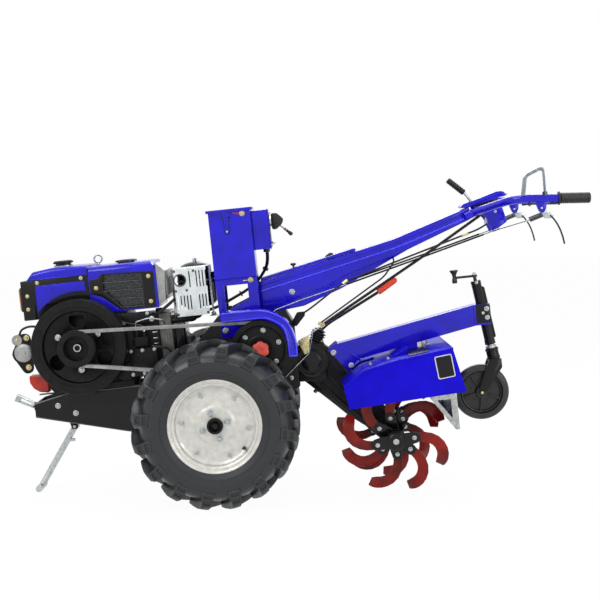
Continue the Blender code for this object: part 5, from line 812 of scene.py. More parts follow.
def grillePieces(side):
    name = sideName(side)
    face = hoodSize["near"] - 0.0003
    mirror = Matrix.Identity(4)
    if side > 0:
        mirror = Matrix.Translation((0, 2 * hoodSize["middle"], 0)) @ Matrix.Scale(-1, 4, toRight)
    plate = slab(grilleOutline, face - 0.004, face, 0.001, 0.006)
    plate.transform(mirror)
    screen = piece(plate, "grillePlate_" + name, blackPaint, stands=["grille_" + name])
    holes = [slab(band, face - 0.02, face + 0.01, 0, 0.003, 2) for band in grilleBands]
    for hole in holes:
        hole.transform(mirror)
    cutAway(screen, holes)
    mesh = hexMesh((-0.402, 0.462), (-0.24, 0.6), face - 0.0012)
    for point, out in (((-0.402, 0, 0), (-1, 0, 0)), ((-0.241, 0, 0), toRear), ((0, 0, 0.462), (0, 0, -1)),
            ((-0.3395, 0, 0.456), (-0.65, 0, -0.76)), ((0, 0, 0.597), upwards)):
        bmesh.ops.bisect_plane(mesh, geom=mesh.verts[:] + mesh.edges[:] + mesh.faces[:], plane_co=point,
            plane_no=out, clear_outer=True)
    mesh.transform(mirror)
    piece(mesh, "grilleMesh_" + name, blackPlastic, smooth=20)
    lines = []
    for band in grilleBands:
        lines.append(rod((band[0][0] + 0.001, face - 0.0042, band[0][1] - 0.0018),
            (band[1][0] - 0.001, face - 0.0042, band[1][1] - 0.0018), 0.0011, 10))
    lines.append(rod((-0.402, face - 0.0042, 0.5345), (-0.337, face - 0.0042, 0.465), 0.0011, 10))
    edges = joined(lines)
    edges.transform(mirror)
    piece(edges, "grilleLines_" + name, rodSteel)
    heads = joined([bolt((x, face - 0.004, z), toLeft, 0.011, 0.005) for x, z in grilleBolts])
    heads.transform(mirror)
    piece(heads, "grilleBolts_" + name, yellowZinc)

    turns = [radians(80 + at * 6.2) for at in range(10)]
    arc = [(driveSize["flywheelX"] + 0.213 * cos(turn), driveSize["flywheelZ"] + 0.213 * sin(turn))
        for turn in turns]
    panel = slab([(-0.472, 0.583), (-0.47, 0.539)] + arc + [(-0.667, 0.474), (-0.6655, 0.58)], face - 0.0026,
        face + 0.0045, 0.0009)
    panel.transform(mirror)
    piece(panel, "sidePanel_" + name, bluePaint)
    screws = [bolt((x, y, z), toLeft, 0.01, 0.004) for x, y,
        z in ((-0.657, face, 0.592), (-0.484, face, 0.594), (-0.701, face, 0.544), (-0.703, face, 0.492))]
    heads = joined(screws)
    heads.transform(mirror)
    piece(heads, "panelScrews_" + name, yellowZinc)


def capShape(x, seat, radius, height, ridges):
    parts = [turned(((seat - 0.003, 0), (seat - 0.003, radius * 0.8), (seat + height * 0.22, radius * 0.82),
        (seat + height * 0.3, radius * 0.97), (seat + height * 0.78, radius),
        (seat + height * 0.96, radius * 0.93), (seat + height, radius * 0.8),
        (seat + height * 0.9, radius * 0.55), (seat + height * 0.9, 0)), 48, (x, hoodSize["middle"], 0),
        upwards)]
    for at in range(ridges):
        turn = 2 * pi * at / ridges
        spot = (x + radius * cos(turn), hoodSize["middle"] + radius * sin(turn))
        parts.append(rod((*spot, seat + height * 0.32), (*spot, seat + height * 0.76), radius * 0.055, 8,
            edge=0.0004))
    return joined(parts)


def hoodPieces():
    near, far = hoodSize["near"], hoodSize["far"]
    tank = rolledHood(((-0.695, 0.604), (-0.4573, 0.604), (-0.4573, 0.641), (-0.595, 0.645), (-0.671, 0.636),
        (-0.695, 0.608)), near, far, 0.63, 0.015, 0.0022)
    tank = joined([tank, box((-0.6975, near - 0.0012, 0.604), (-0.4575, far + 0.0012, 0.6068), 0.0009)])
    piece(tank, "fuelTankShell", bluePaint, stands=["fuel_tank"])
    collar = turned(mm((640, 0), (640, 40), (647.5, 40), (650, 36), (651.2, 31), (651.2, 0)), 40,
        (hoodSize["fillerX"], hoodSize["middle"], 0), upwards)
    piece(collar, "fillerNeck", zinc)
    piece(capShape(hoodSize["fillerX"], 0.6513, 0.038, 0.016, 24), "fuelCapRidged", blackPlastic,
        stands=["fuel_cap"])
    piece(capShape(hoodSize["radiatorCapX"], 0.6333, 0.042, 0.013, 6), "radiatorCapShell", rodSteel,
        stands=["radiator_cap"])

    shroud = piece(rolledHood(((-0.457, 0.448), (-0.19, 0.448), (-0.19, 0.596), (-0.206, 0.633),
        (-0.457, 0.633)), near, far, 0.62, 0.022, 0.0025), "radiatorShroudShell", bluePaint,
        stands=["radiator_shroud"])
    pocket = [(-0.446, 0.531), (-0.405, 0.518), (-0.336, 0.46), (-0.206, 0.459), (-0.204, 0.586),
        (-0.397, 0.597), (-0.41, 0.582), (-0.446, 0.576)]
    cutAway(shroud, [slab(pocket, near - 0.01, near + 0.022), slab(pocket, far - 0.022, far + 0.01)])
    lip = [box((-0.46, near - 0.001, 0.601), (-0.4545, far + 0.001, 0.629), 0.0015)]
    piece(lip, "hoodJoint", blackPaint)
    core = [box((-0.44, near + 0.0215, 0.46), (-0.208, near + 0.023, 0.594)),
        box((-0.44, far - 0.023, 0.46), (-0.208, far - 0.0215, 0.594))]
    core += [box((-0.44 + at * 0.0056, near + 0.019, 0.462), (-0.4392 + at * 0.0056, near + 0.022,
        0.592)) for at in range(42)]
    piece(core, "radiatorFins", rodSteel, smooth=20)
    end = slab(mm((-189.8, 460), (-162, 474), (-154, 590), (-189, 624)), near + 0.004, far - 0.004, 0.003,
        0.004)
    piece(end, "radiatorEndPlate", dieCast)
    vents = [box((-0.162, near + 0.03 + at * 0.022, 0.49), (-0.1545, near + 0.034 + at * 0.022, 0.585),
        0.0015) for at in range(12)]
    piece(vents, "radiatorEndRibs", dieCast)

    x, y = hoodSize["eyeX"], hoodSize["middle"]
    turns = [2 * pi * at / 12 for at in range(12)]
    ring = turned([(0.004 * cos(turn), 0.0155 + 0.004 * sin(turn)) for turn in turns], 40, (x, y, 0.6603),
        closed=True)
    foot = rod((x, y, 0.63), (x, y, 0.646), 0.0045, 16)
    nut = bolt((x, y, 0.633), upwards, 0.014, 0.006)
    piece(joined([ring, foot, nut]), "liftingEye", zinc)

    refined("tank_housing", blackPaint, 0.0025, 2)
    for side in (-1, 1):
        grillePieces(side)
    front = [box((-0.7262, hoodSize["middle"] - 0.052, 0.47), (-0.7238, hoodSize["middle"] + 0.052, 0.59),
        0.001)]
    front += [box((-0.7285, hoodSize["middle"] - 0.046, 0.482 + at * 0.013),
        (-0.725, hoodSize["middle"] + 0.046, 0.488 + at * 0.013), 0.0015) for at in range(8)]
    piece(front, "noseLouvres", blackPlastic)
    for y in (-0.06, 0.18):
        refined("front_lamp_" + sideName(y), amberLens, 0.0016, 3)
    for y in (-0.06, 0.18):
        rim = box((-0.73, y - 0.0345, 0.4835), (-0.7238, y + 0.0345, 0.5785), 0.0015)
        piece(rim, "lampRim_" + sideName(y), blackPlastic)


hoodPieces()
print("hood made")


# Engine

guardSize = {"front": -0.133, "rear": 0.018, "near": -0.104, "far": -0.012, "low": 0.402, "high": 0.593,
    "round": 0.02, "slot": 0.0046, "holeX": -0.098, "holeZ": 0.545, "hole": 0.0215}
# x of each slot, low and high
guardSlots = [(x, 0.514, 0.578) for x in (-0.0597, -0.0324, -0.0199, -0.0074, 0.0051)]
guardSlots += [(x, 0.427, 0.484) for x in (-0.113, -0.1003, -0.0876, -0.0749, -0.0622, -0.0275, -0.015,
    -0.0025, 0.008)]


def guardPieces():
    size = guardSize
    bm = box((size["front"], size["near"], size["low"]), (size["rear"], size["far"], size["high"]))
    corners = [edge for edge in bm.edges if abs(edge.verts[0].co.z - edge.verts[1].co.z) > 0.01
        and edge.verts[0].co.y < -0.1]
    rounded(bm, corners, size["round"], 6)
    crown = [edge for edge in bm.edges if all(vert.co.z > size["high"] - 1e-5 for vert in edge.verts)]
    rounded(bm, crown, 0.004, 3)
    shield = piece(bm, "heatShield", guardSteel, smooth=30, stands=["muffler_guard"])
    cutters = [box((size["front"] + 0.002, size["near"] + 0.002, size["low"] - 0.02),
        (size["rear"] - 0.002, size["far"] + 0.02, size["high"] - 0.002), 0)]
    for x, low, high in guardSlots:
        cutters.append(slab(((x - size["slot"] / 2, low), (x + size["slot"] / 2, low),
            (x + size["slot"] / 2, high), (x - size["slot"] / 2, high)), size["near"] - 0.01,
            size["near"] + 0.02, 0, 0.002, 2))
    cutters.append(rod((size["holeX"], size["near"] - 0.01, size["holeZ"]),
        (size["holeX"], size["near"] + 0.02, size["holeZ"]), size["hole"], 36))
    for at in range(4):
        y = size["near"] + 0.026 + at * 0.0135
        for low, high in ((0.43, 0.484), (0.514, 0.575)):
            for x in (size["front"], size["rear"]):
                cutters.append(box((x - 0.01, y, low), (x + 0.01, y + 0.0046, high), 0))
    cutAway(shield, cutters[:1])
    cutAway(shield, cutters[1:])
    lip = turned(((0, size["hole"] + 0.004), (0.0016, size["hole"] + 0.0036), (0.0016, size["hole"]),
        (-0.004, size["hole"] - 0.0008), (-0.004, size["hole"] + 0.0012), (0, size["hole"] + 0.0016)), 40,
        (size["holeX"], size["near"], size["holeZ"]), toLeft, closed=True)
    screws = [lip] + [bolt((x, size["near"], z), toLeft, 0.007, 0.003)
        for x, z in ((-0.118, 0.582), (-0.118, 0.504), (-0.075, 0.504), (-0.118, 0.411), (0.0, 0.411),
        (-0.042, 0.578))]
    piece(screws, "heatShieldRing", rodSteel)
    refined("muffler", blackCast, 0.0015)


def airCleanerPieces():
    x, y = -0.048, 0.078
    body = turned(mm((425, 0), (425, 50), (428, 60), (440, 74.5), (446, 76.5), (515, 77), (517, 78),
        (523, 78), (525, 76.5), (552, 76.8), (556, 78), (561, 77.5), (563, 66), (568, 64), (584, 64),
        (590, 62.5), (597, 54), (603, 40), (607, 20), (608, 0)), 64, (x, y, 0), upwards)
    piece(body, "airCleanerBowl", blackPaint, stands=["air_cleaner"])
    wing = [rod((x, y, 0.6), (x, y, 0.623), 0.0035, 14, edge=0.0006),
        rod((x, y, 0.606), (x, y, 0.612), 0.0085, 20, edge=0.001)]
    for side in (-1, 1):
        ear = box((x + side * 0.004 - 0.004, y - 0.0012, 0.609),
            (x + side * 0.004 + 0.004, y + 0.0012, 0.6235), 0.001)
        wing.append(ear)
    piece(wing, "wingNut", zinc)
    for name, points, radius in (("inletPipe", ((-0.152, y, 0.3885), (x, y, 0.3885), (x, y, 0.43)), 0.0125),
            ("exhaustPipe", ((-0.152, -0.058, 0.3885), (-0.0575, -0.058, 0.3885), (-0.0575, -0.058, 0.42)),
            0.0125)):
        pipe(points, radius, name, blackCast, bend=0.016, sides=5)
    clip = turned(mm((530, 77.2), (530, 79.2), (538, 79.2), (538, 77.2)), 64, (x, y, 0), upwards, True)
    piece(joined([clip]), "bowlBand", zinc)


def enginePieces():
    refined("crankcase", blackCast, 0.0045, 3)
    head = [box((-0.2047, -0.062, 0.192), (-0.151, 0.15, 0.424), 0.007, 3)]
    head += [box((-0.2 + at * 0.0105, -0.066, 0.205), (-0.197 + at * 0.0105, 0.154, 0.411), 0.001)
        for at in range(5)]
    piece(head, "cylinderHeadFins", greyCast, stands=["cylinder_head"])
    cover = joined([box((-0.152, -0.046, 0.258), (-0.144, 0.134, 0.376), 0.003),
        box((-0.153, -0.042, 0.262), (-0.1027, 0.13, 0.372), 0.015, 5)])
    piece(cover, "rockerCover", blackPaint)
    nuts = [bolt((-0.144, y, z), toRear, 0.011, 0.006) for y in (-0.038, 0.126) for z in (0.268, 0.366)]
    nuts += [bolt((-0.1027, y, 0.317), toRear, 0.013, 0.007) for y in (0.01, 0.078)]
    nuts += [bolt((-0.1505, y, z), toRear, 0.015, 0.01) for y in (-0.05, 0.138) for z in (0.205, 0.411)]
    piece(nuts, "headNuts", zinc)

    near = -0.085
    side = [slab(mm((-330, 185), (-228, 185), (-218, 205), (-218, 295), (-330, 295)), near - 0.014,
        near + 0.002, 0.002, 0.008), box((-0.305, near - 0.03, 0.302), (-0.245, near + 0.001, 0.34), 0.004),
        rod((-0.29, near - 0.02, 0.338), (-0.29, near - 0.02, 0.372), 0.01, 18, edge=0.0015),
        rod((-0.26, near - 0.02, 0.338), (-0.26, near - 0.02, 0.36), 0.008, 18, edge=0.0015),
        turned(mm((0, 0), (0, 46), (6, 46), (10, 42), (14, 30), (14, 0)), 40, (-0.345, near + 0.002, 0.205),
        toLeft), box((-0.345, near - 0.012, 0.39), (-0.23, near + 0.001, 0.438), 0.005),
        rod((-0.2, -0.03, 0.424), (-0.2, -0.03, 0.442), 0.014, 20, edge=0.002)]
    side += [box((-0.3 + at * 0.022, near - 0.006, 0.15), (-0.296 + at * 0.022, near + 0.001, 0.184),
        0.001) for at in range(4)]
    side += [turned(mm((0, 0), (0, 34), (4, 34), (4, 28), (10, 26), (10, 0)), 32,
        (-0.24, near + 0.001, 0.165), toLeft)]
    piece(side, "pumpAndCovers", blackCast)
    bits = [bolt((x, near - 0.014, z), toLeft, 0.01, 0.006)
        for x, z in ((-0.321, 0.194), (-0.229, 0.194), (-0.321, 0.286), (-0.227, 0.286), (-0.275, 0.194),
        (-0.275, 0.286))]
    bits += [bolt((x, near - 0.012, z), toLeft, 0.01, 0.005) for x, z in ((-0.336, 0.4), (-0.24, 0.43))]
    bits += [rod((-0.29, near - 0.02, 0.37), (-0.29, near - 0.02, 0.379), 0.0062, 6, edge=0.0006),
        rod((-0.26, near - 0.02, 0.359), (-0.26, near - 0.02, 0.366), 0.0062, 6, edge=0.0006),
        box((-0.228, near - 0.01, 0.35), (-0.208, near - 0.004, 0.3545), 0.0012),
        box((-0.227, near - 0.01, 0.327), (-0.209, near - 0.004, 0.331), 0.0012),
        box((-0.226, near - 0.01, 0.306), (-0.21, near - 0.004, 0.3095), 0.0012),
        rod((-0.225, near - 0.012, 0.406), (-0.225, near + 0.004, 0.406), 0.011, 12, edge=0.001),
        rod((-0.245, near - 0.01, 0.119), (-0.22, near - 0.01, 0.102), 0.003, 10, edge=0.0006)]
    piece(bits, "engineFittings", zinc)
    pipe(((-0.29, near - 0.02, 0.377), (-0.29, near - 0.02, 0.4), (-0.235, near - 0.03, 0.412),
        (-0.18, near - 0.02, 0.398), (-0.18, -0.05, 0.372)), 0.0028, "injectorPipe", zinc, bend=0.016)
    pipe(((-0.26, near - 0.02, 0.364), (-0.262, near - 0.022, 0.384), (-0.33, near - 0.016, 0.4),
        (-0.38, near - 0.006, 0.43), (-0.4, -0.06, 0.446)), 0.0042, "fuelHose", hoseRubber, bend=0.022)
    pipe(mm((-205, -78, 424), (-190, -86, 430), (-160, -90, 450), (-138, -98, 466), (-126, -80, 474)), 0.0062,
        "breatherHose", hoseRubber, bend=0.02)
    pipe(((-0.235, near - 0.014, 0.3), (-0.2, near - 0.02, 0.292), (-0.17, near + 0.004, 0.28),
        (-0.162, -0.058, 0.25)), 0.0045, "oilPipe", hoseRubber, bend=0.02)
    ribbed = []
    for at in range(6):
        ribbed.append(turned(mm((0, 0), (0, 17), (2, 21.5), (6, 21.5), (8, 17), (8, 0)), 28,
            (-0.008, -0.045, 0.296 + at * 0.0082), upwards))
    ribbed.append(box((-0.026, -0.062, 0.26), (0.008, -0.028, 0.296), 0.003))
    piece(ribbed, "clutchSpring", dieCast)

    far = 0.19
    other = [box((-0.32, far - 0.002, 0.25), (-0.24, far + 0.02, 0.33), 0.005),
        rod((-0.27, far, 0.21), (-0.27, far + 0.034, 0.21), 0.03, 30, edge=0.003),
        box((-0.64, far - 0.002, 0.19), (-0.625, far + 0.006, 0.43), 0.002)]
    piece(other, "farCovers", blackCast)
    x, z = driveSize["flywheelX"], driveSize["flywheelZ"]
    rivets = [bolt((x + dx, far + 0.016, z + dz), toRight, 0.011, 0.006)
        for dx, dz in ringPlaces(8, 0.08, 0)]
    rivets += [bolt((x, far + 0.02, z), toRight, 0.01, 0.005)
        for x, z in ((-0.31, 0.26), (-0.25, 0.26), (-0.31, 0.32), (-0.25, 0.32))]
    rivets.append(rod((x, far + 0.014, z), (x, far + 0.022, z), 0.02, 30, edge=0.002))
    piece(rivets, "farBolts", zinc)


def generatorPieces():
    refined("generator", blackCast, 0.0018)
    refined("gear_cover", coverRed, 0.005, 3)
    y = -0.081
    drum = turned(mm((0, 0), (0, 37.5), (4, 37.5), (7, 35.5), (10, 30), (11, 18), (12, 10), (14, 8), (14, 0)),
        48, (-0.745, y, 0.322), toLeft)
    small = turned(mm((12, 0), (12, 20), (9, 21.5), (-30, 21.5), (-30, 0)), 32, (-0.766, y + 0.008, 0.374),
        toLeft)
    piece(joined([drum, small]), "generatorEnds", dieCast)
    strap = [bolt((-0.728, y, 0.38), toLeft, 0.015, 0.008),
        bolt((-0.732, y, 0.263), toLeft, 0.015, 0.008), bolt((-0.766, y - 0.004, 0.374), toLeft,
        0.011, 0.006)]
    piece(strap, "generatorBolts", yellowZinc)
    pipe(mm((-760, -60, 390), (-750, -64, 412), (-720, -68, 424), (-685, -70, 420), (-660, -70, 405)), 0.0045,
        "generatorLead", hoseRubber, bend=0.02)


guardPieces()
airCleanerPieces()
enginePieces()
generatorPieces()
print("engine made")


# Engine bed, front stand and gearbox

# A closed section of (inward, y) points carried along a route in the side view
def carried(section, route):
    lines = []
    for index, point in enumerate(route):
        ahead = (route[min(index + 1, len(route) - 1)] - route[max(index - 1, 0)]).normalized()
        inward = Vector((ahead.z, 0, -ahead.x))
        lines.append([point + inward * depth + Vector((0, y, 0)) for depth, y in section])
    return lofted(lines)


# Bolt heads at (x, z) places on both side faces
def sideBolts(places, half, across, height):
    heads = []
    for side in (-1, 1):
        heads += [bolt((x, side * half, z), (0, side, 0), across, height, turn=x * 40) for x, z in places]
    return joined(heads)


bedSize = {"half": 0.099, "bolts": ((-0.631, 0.101), (-0.564, 0.065), (-0.3, 0.06), (-0.16, 0.03))}


def bedPieces():
    refined("engine_bed", blackPaint, 0.0022, 2)
    piece(sideBolts(bedSize["bolts"], bedSize["half"], 0.015, 0.008), "bedBolts", zinc)
    rails = []
    for side in (-1, 1):  # the folded lower edge and the bosses that the engine bolts go through
        rails.append(slab(mm((-700, 150), (-110, 150), (-110, 153.5), (-700, 153.5)), side * 0.099,
            side * 0.066, 0.0008))
        for x in (-0.56, -0.47, -0.3, -0.22):
            rails.append(bolt((x, side * 0.082, 0.1535), upwards, 0.015, 0.009))
    piece(rails, "engineRails", blackPaint)
    for side in (-1, 1):  # the lower edge is folded out to a lip, the upper one rolled
        for label, radius, line in (
                ("bedLip_", 0.0032, mm((-719, 65), (-360.5, -27), (-102, -70.5))),
                ("bedEdge_", 0.0034, mm((-719, 116), (-610.5, 140.5), (-585.5, 147.2), (-102, 147.2)))):
            # the lighter black paints a highlight line along each edge
            pipe([(x, side * bedSize["half"], z) for x, z in line], radius, label + sideName(side),
                highlightBlack, sides=4)
    loop = ((-0.745, 0.09), (-0.819, 0.127), (-0.806, 0.151), (-0.732, 0.104))
    bars = [box((-0.7495, -0.0166, 0.0928), (-0.7225, 0.0166, 0.1012), 0.001)]
    for first, second in zip(loop, loop[1:] + loop[:1]):  # the plated hitch strap
        outline = [((x + 0.7755) * scale - 0.7755, (z - 0.118) * scale + 0.118) for (x, z),
            scale in ((first, 1.03), (second, 1.03), (second, 0.6), (first, 0.6))]
        bars.append(slab(outline, -0.0166, 0.0166, 0.001))
    piece(bars, "hitchStrap", zinc)
    refined("front_stand", zinc, 0.0012, 2)
    pin = rod((-0.59, -0.03, 0.002), (-0.59, 0.03, 0.002), 0.0062, 20, edge=0.0008)
    piece(pin, "standPin", zinc)


# A helix between two points, as a curve with a round wire
def coil(start, end, radius, wire, turns, name, finish):
    start = Vector(start)
    reach = Vector(end) - start
    turn = Vector(upwards).rotation_difference(reach)
    route = []
    for step in range(turns * 14 + 1):
        angle = step / 14 * 2 * pi
        share = step / (turns * 14)
        route.append(start + turn @ Vector((radius * cos(angle), radius * sin(angle), reach.length * share)))
    pipe(route, wire, name, finish, bend=0.0001, sides=1)


gearboxHalf = 0.085
gearboxCover = mm((-85, -55), (75, -70), (190, 12), (308, 92), (308, 290), (-40, 290), (-85, 140))


def gearboxPieces():
    refined("gearbox", blackCast, 0.007, 3, angle=20)
    ribs, bolts = [], []
    half = gearboxHalf
    middle = Vector((0.11, 0.12))
    for side in (-1, 1):  # the side covers end under the battery stand
        ribs.append(slab(gearboxCover, side * (half - 0.002), side * (half + 0.007), 0.003, 0.02, 4))
        for index, point in enumerate(gearboxCover):
            after = gearboxCover[(index + 1) % len(gearboxCover)]
            for share in (0.12, 0.62):
                spot = Vector(point).lerp(Vector(after), share)
                spot += (middle - spot).normalized() * 0.01
                bolts.append(bolt((spot.x, side * (half + 0.007), spot.y), (0, side, 0), 0.012, 0.007,
                    turn=index))
        ribs.append(turned(((0, 0.03), (0, 0.07), (side * 0.01, 0.07), (side * 0.014, 0.064),
            (side * 0.014, 0.03)), 40, (0, side * (half + 0.014), 0), toRight, True))
        for step in range(6):
            angle = (step + 0.5) * pi / 3
            bolts.append(bolt((0.06 * cos(angle), side * (half + 0.027), 0.06 * sin(angle)), (0, side, 0),
                0.012, 0.007, turn=step))
    piece(ribs, "gearboxCovers", blackCast, smooth=30)
    bell = turned(mm((-84, 30), (-84, 58), (-89.7, 58), (-89.7, 100), (-104, 96), (-112, 80), (-116, 34),
        (-116, 26), (-84, 26)), 60, (driveSize["clutchX"], 0, driveSize["clutchZ"]), toRight, True)
    piece(bell, "clutchBell", blackCast, smooth=30)
    for x, z in ((0.01, 0.3855), (0.24, 0.3855)):
        plug = bolt((x, 0.045, z), upwards, 0.022, 0.012)
        bolts.append(plug)
    bolts.append(bolt((0.12, 0, -0.064), (0.3, 0, -1), 0.02, 0.01))
    piece(bolts, "gearboxBolts", zinc)
    breather = turned(mm((380, 0), (380, 11), (394, 11), (396, 15), (412, 15), (416, 11), (416, 0)), 24,
        (0.075, 0.05, 0), upwards)
    piece(breather, "gearboxBreather", blackPlastic)


# Belt guard, battery box and its stand

guardShape = {"face": -0.258, "depth": 0.036, "back": -0.17, "wall": 0.0026}
guardRoute = mm((57, 0, 409), (229.4, 0, 409), (312.8, 0, 356.6), (335, 0, 278.1), (335, 0, 222))


def guardPiece():
    face, wall, depth = guardShape["face"], guardShape["wall"], guardShape["depth"]
    outer = [(0.0, guardShape["back"]), (0.0, face + 0.016)]
    # rolled outer edge, then a step out to the beaded inner edge
    turns = [step * pi / 12 for step in range(1, 7)]
    outer += [(0.01 * (1 - cos(turn)), face + 0.016 - 0.01 * sin(turn)) for turn in turns]
    outer += [(0.0165, face + 0.0065), (0.02, face + 0.0045), (0.0232, face + 0.0012), (0.0262, face),
        (0.03, face + 0.0003), (0.0332, face + 0.0022), (0.0352, face + 0.0058), (depth, face + 0.011),
        (depth, face + 0.015)]
    inner = [(depth - wall, face + 0.015), (depth - wall - 0.0006, face + 0.0072), (0.029, face + 0.0034),
        (0.0262, face + 0.0034), (0.022, face + 0.008), (0.012, face + 0.0092), (0.0052, face + 0.013),
        (wall, face + 0.018), (wall, guardShape["back"])]
    bm = carried(outer + inner, bentRoute(guardRoute, 0.06, 10))
    bmesh.ops.recalc_face_normals(bm, faces=bm.faces[:])
    end = slab(mm((299, 222), (335, 222), (335, 219), (299, 219)), face + 0.002, guardShape["back"], 0.0008,
        0.0)
    tab = box((0.057, -0.172, 0.406), (0.091, -0.0893, 0.409), 0.0008)
    foot = box((0.057, -0.0925, 0.375), (0.091, -0.0895, 0.409), 0.0008)
    piece(joined([bm, end, tab, foot]), "beltGuardRolled", bluePaint, smooth=40, stands=["belt_guard"])
    # a wire is rolled into each edge of the guard, in the lighter blue as a painted highlight line
    for drop, name in ((0.0036, "outer"), (0.0318, "inner")):
        line = [(0.057, 0.409 - drop), (0.2294 + drop * 0.1, 0.409 - drop),
            (0.3128 - drop * 0.6, 0.3566 - drop * 0.6), (0.335 - drop, 0.2781), (0.335 - drop, 0.2195)]
        pipe([(x, face + (0.0075 if drop < 0.01 else 0.003), z) for x, z in line], 0.0038,
            "guardBead_" + name, highlightBlue, bend=0.06 - drop, sides=4)
    # the guard's end lip, in the lighter blue as a painted highlight
    pipe(((0.301, face + 0.004, 0.221), (0.333, face + 0.004, 0.221)), 0.0034, "guardEnd", highlightBlue, sides=4)
    heads = [bolt((0.074, -0.0925, 0.391), toLeft, 0.013, 0.007),
        bolt((0.06, -0.0893, 0.328), toLeft, 0.017, 0.009),
        bolt((0.06, 0.0893, 0.328), toRight, 0.017, 0.009),
        bolt((0.18, 0.0893, 0.519), toRight, 0.014, 0.008)]
    piece(heads, "standBolts", zinc)


boxSize = {"front": 0.038, "rear": 0.204, "half": 0.1, "low": 0.5323, "top": 0.8, "wall": 0.003}


def batteryPieces():
    size = boxSize
    refined("battery_stand", bluePaint, 0.0012, 2)
    shell = box((size["front"], -size["half"], size["low"]), (size["rear"], size["half"], size["top"]))
    corners = [edge for edge in shell.edges if abs(edge.verts[0].co.z - edge.verts[1].co.z) > 0.1]
    rounded(shell, corners, 0.0035, 3)
    lid = max(shell.faces, key=lambda face: face.calc_center_median().z)
    bmesh.ops.inset_region(shell, faces=[lid], thickness=size["wall"])
    well = bmesh.ops.extrude_face_region(shell, geom=[lid])
    bmesh.ops.translate(shell, vec=(0, 0, size["low"] + size["wall"] - size["top"]),
        verts=[item for item in well["geom"] if isinstance(item, bmesh.types.BMVert)])
    bmesh.ops.delete(shell, geom=[lid], context="FACES_ONLY")
    hem = box((size["front"] - 0.0016, -size["half"] - 0.0016, size["low"]),
        (size["front"] + 0.0035, size["half"] + 0.0016, size["low"] + 0.01), 0.0007)
    leaf = box((0.046, 0.0985, 0.7855), (0.196, 0.107, 0.7925), 0.0008)
    piece(joined([shell, hem, leaf]), "batteryBoxShell", bluePaint, smooth=30, stands=["battery_box"])
    near = -size["half"]
    # A black plate a little larger than the latch, under it: painted shadow that outlines the latch
    latchShadow = slab(mm((91.5, 794.5), (122.5, 794.5), (122.5, 766), (118.5, 760), (118, 714), (113, 704),
        (101, 704), (96, 714), (95.5, 760), (91.5, 766)), near + 0.0002, near - 0.0014, 0.0004)
    piece(latchShadow, "latchShadowPlate", blackPaint)
    latch = [slab(mm((93, 793), (121, 793), (121, 775), (114, 768), (100, 768), (93, 775)), near - 0.001,
        near - 0.006, 0.0009, 0.002, 2), slab(mm((97, 768), (117, 768), (116, 716), (112, 706), (102, 706),
        (98, 716)), near - 0.001, near - 0.008, 0.0012, 0.002, 2),
        rod((0.096, near - 0.0075, 0.764), (0.118, near - 0.0075, 0.764), 0.0032, 12, edge=0.0006),
        rod((0.101, near - 0.0092, 0.764), (0.101, near - 0.0092, 0.728), 0.002, 10),
        rod((0.113, near - 0.0092, 0.764), (0.113, near - 0.0092, 0.728), 0.002, 10),
        rod((0.099, near - 0.0092, 0.729), (0.115, near - 0.0092, 0.729), 0.0022, 10)]
    piece(latch, "boxLatch", bluePaint)
    heads = [bolt((0.107, near - 0.0075, 0.716), toLeft, 0.01, 0.004, False)]
    piece(heads, "latchRivet", zinc)
    earth = [bolt((0.172, near - 0.001, 0.781), toLeft, 0.014, 0.007),
        bolt((0.178, -0.0898, 0.519), toLeft, 0.014, 0.008)]
    piece(earth, "earthBolt", yellowZinc)
    lug = slab(mm((134, 783.5), (150, 780), (166, 776.5), (176, 776.5), (176, 786), (164, 786.5), (136, 787)),
        near - 0.0002, near - 0.0016, 0.0005)
    piece(lug, "earthLug", coverRed)
    strap = slab(mm((148, 516), (166, 516), (166, 520), (148, 520)), -0.0895, -0.0915, 0.0005)
    piece(strap, "earthTag", zinc)
    refined("battery_lid", bluePaint, 0.0008, 2)
    switchPieces()


def switchPieces():
    case = box((0.2037, -0.082, 0.632), (0.27, 0.082, 0.787), 0.0025, 2)
    rim = box((0.269, -0.0845, 0.6295), (0.2722, 0.0845, 0.7895), 0.0009)
    piece(joined([case, rim]), "switchBoxCase", bluePaint)
    board = box((0.2718, -0.078, 0.636), (0.2745, 0.078, 0.783), 0.0009)
    piece(board, "switchBoard", blackPaint)
    screws = [bolt((0.2742, y, z), toRear, 0.008, 0.003, True) for y in (-0.07, 0.07) for z in (0.645,
        0.774)]
    screws.append(turned(mm((0, 0), (0, 20), (6, 20), (8, 17), (8, 0)), 32, (0.2742, 0.045, 0.736),
        toRear))
    screws.append(turned(mm((0, 0), (0, 20), (6, 20), (8, 17), (8, 0)), 32, (0.2742, 0, 0.738), toRear))
    screws.append(rod((0.2742, -0.045, 0.655), (0.29, -0.045, 0.655), 0.005, 16, edge=0.0008))
    piece(screws, "switchRings", bright)
    hood = slab(mm((281, 706), (298, 704), (324, 726), (330, 744), (305, 770), (281, 770)), -0.0195, 0.0195,
        0.0028, 0.007, 4)
    glass = turned(mm((0, 0), (0, 16.5), (3, 15), (3.8, 0)), 32, (0.2822, 0.045, 0.736), toRear)
    knob = turned(mm((0, 6), (10, 5.2), (16, 7.5), (24, 8.2), (29, 6), (31, 0)), 20, (0.337, 0, 0.6975),
        (0.72, 0, -0.69))
    piece(joined([hood, glass, knob]), "lightSwitch", blackPlastic, smooth=38)
    stem = rod((0.312, 0, 0.7215), (0.34, 0, 0.6947), 0.0042, 16, 0.0036)
    piece(stem, "switchStem", zinc)
    ring = turned(mm((0, 0), (0, 6.2), (8, 5.6), (8, 0)), 20, (0.33, 0, 0.7043), (0.72, 0, -0.69))
    piece(ring, "switchRing", coverRed)


leadRoute = mm((250, 20, 631), (250, 22, 600), (244, 40, 565), (226, 62, 535), (196, 68, 500), (150, 66, 470),
    (100, 56, 448), (50, 40, 425), (0, 26, 410), (-60, 20, 405), (-110, 20, 405), (-147.5, 20, 405))


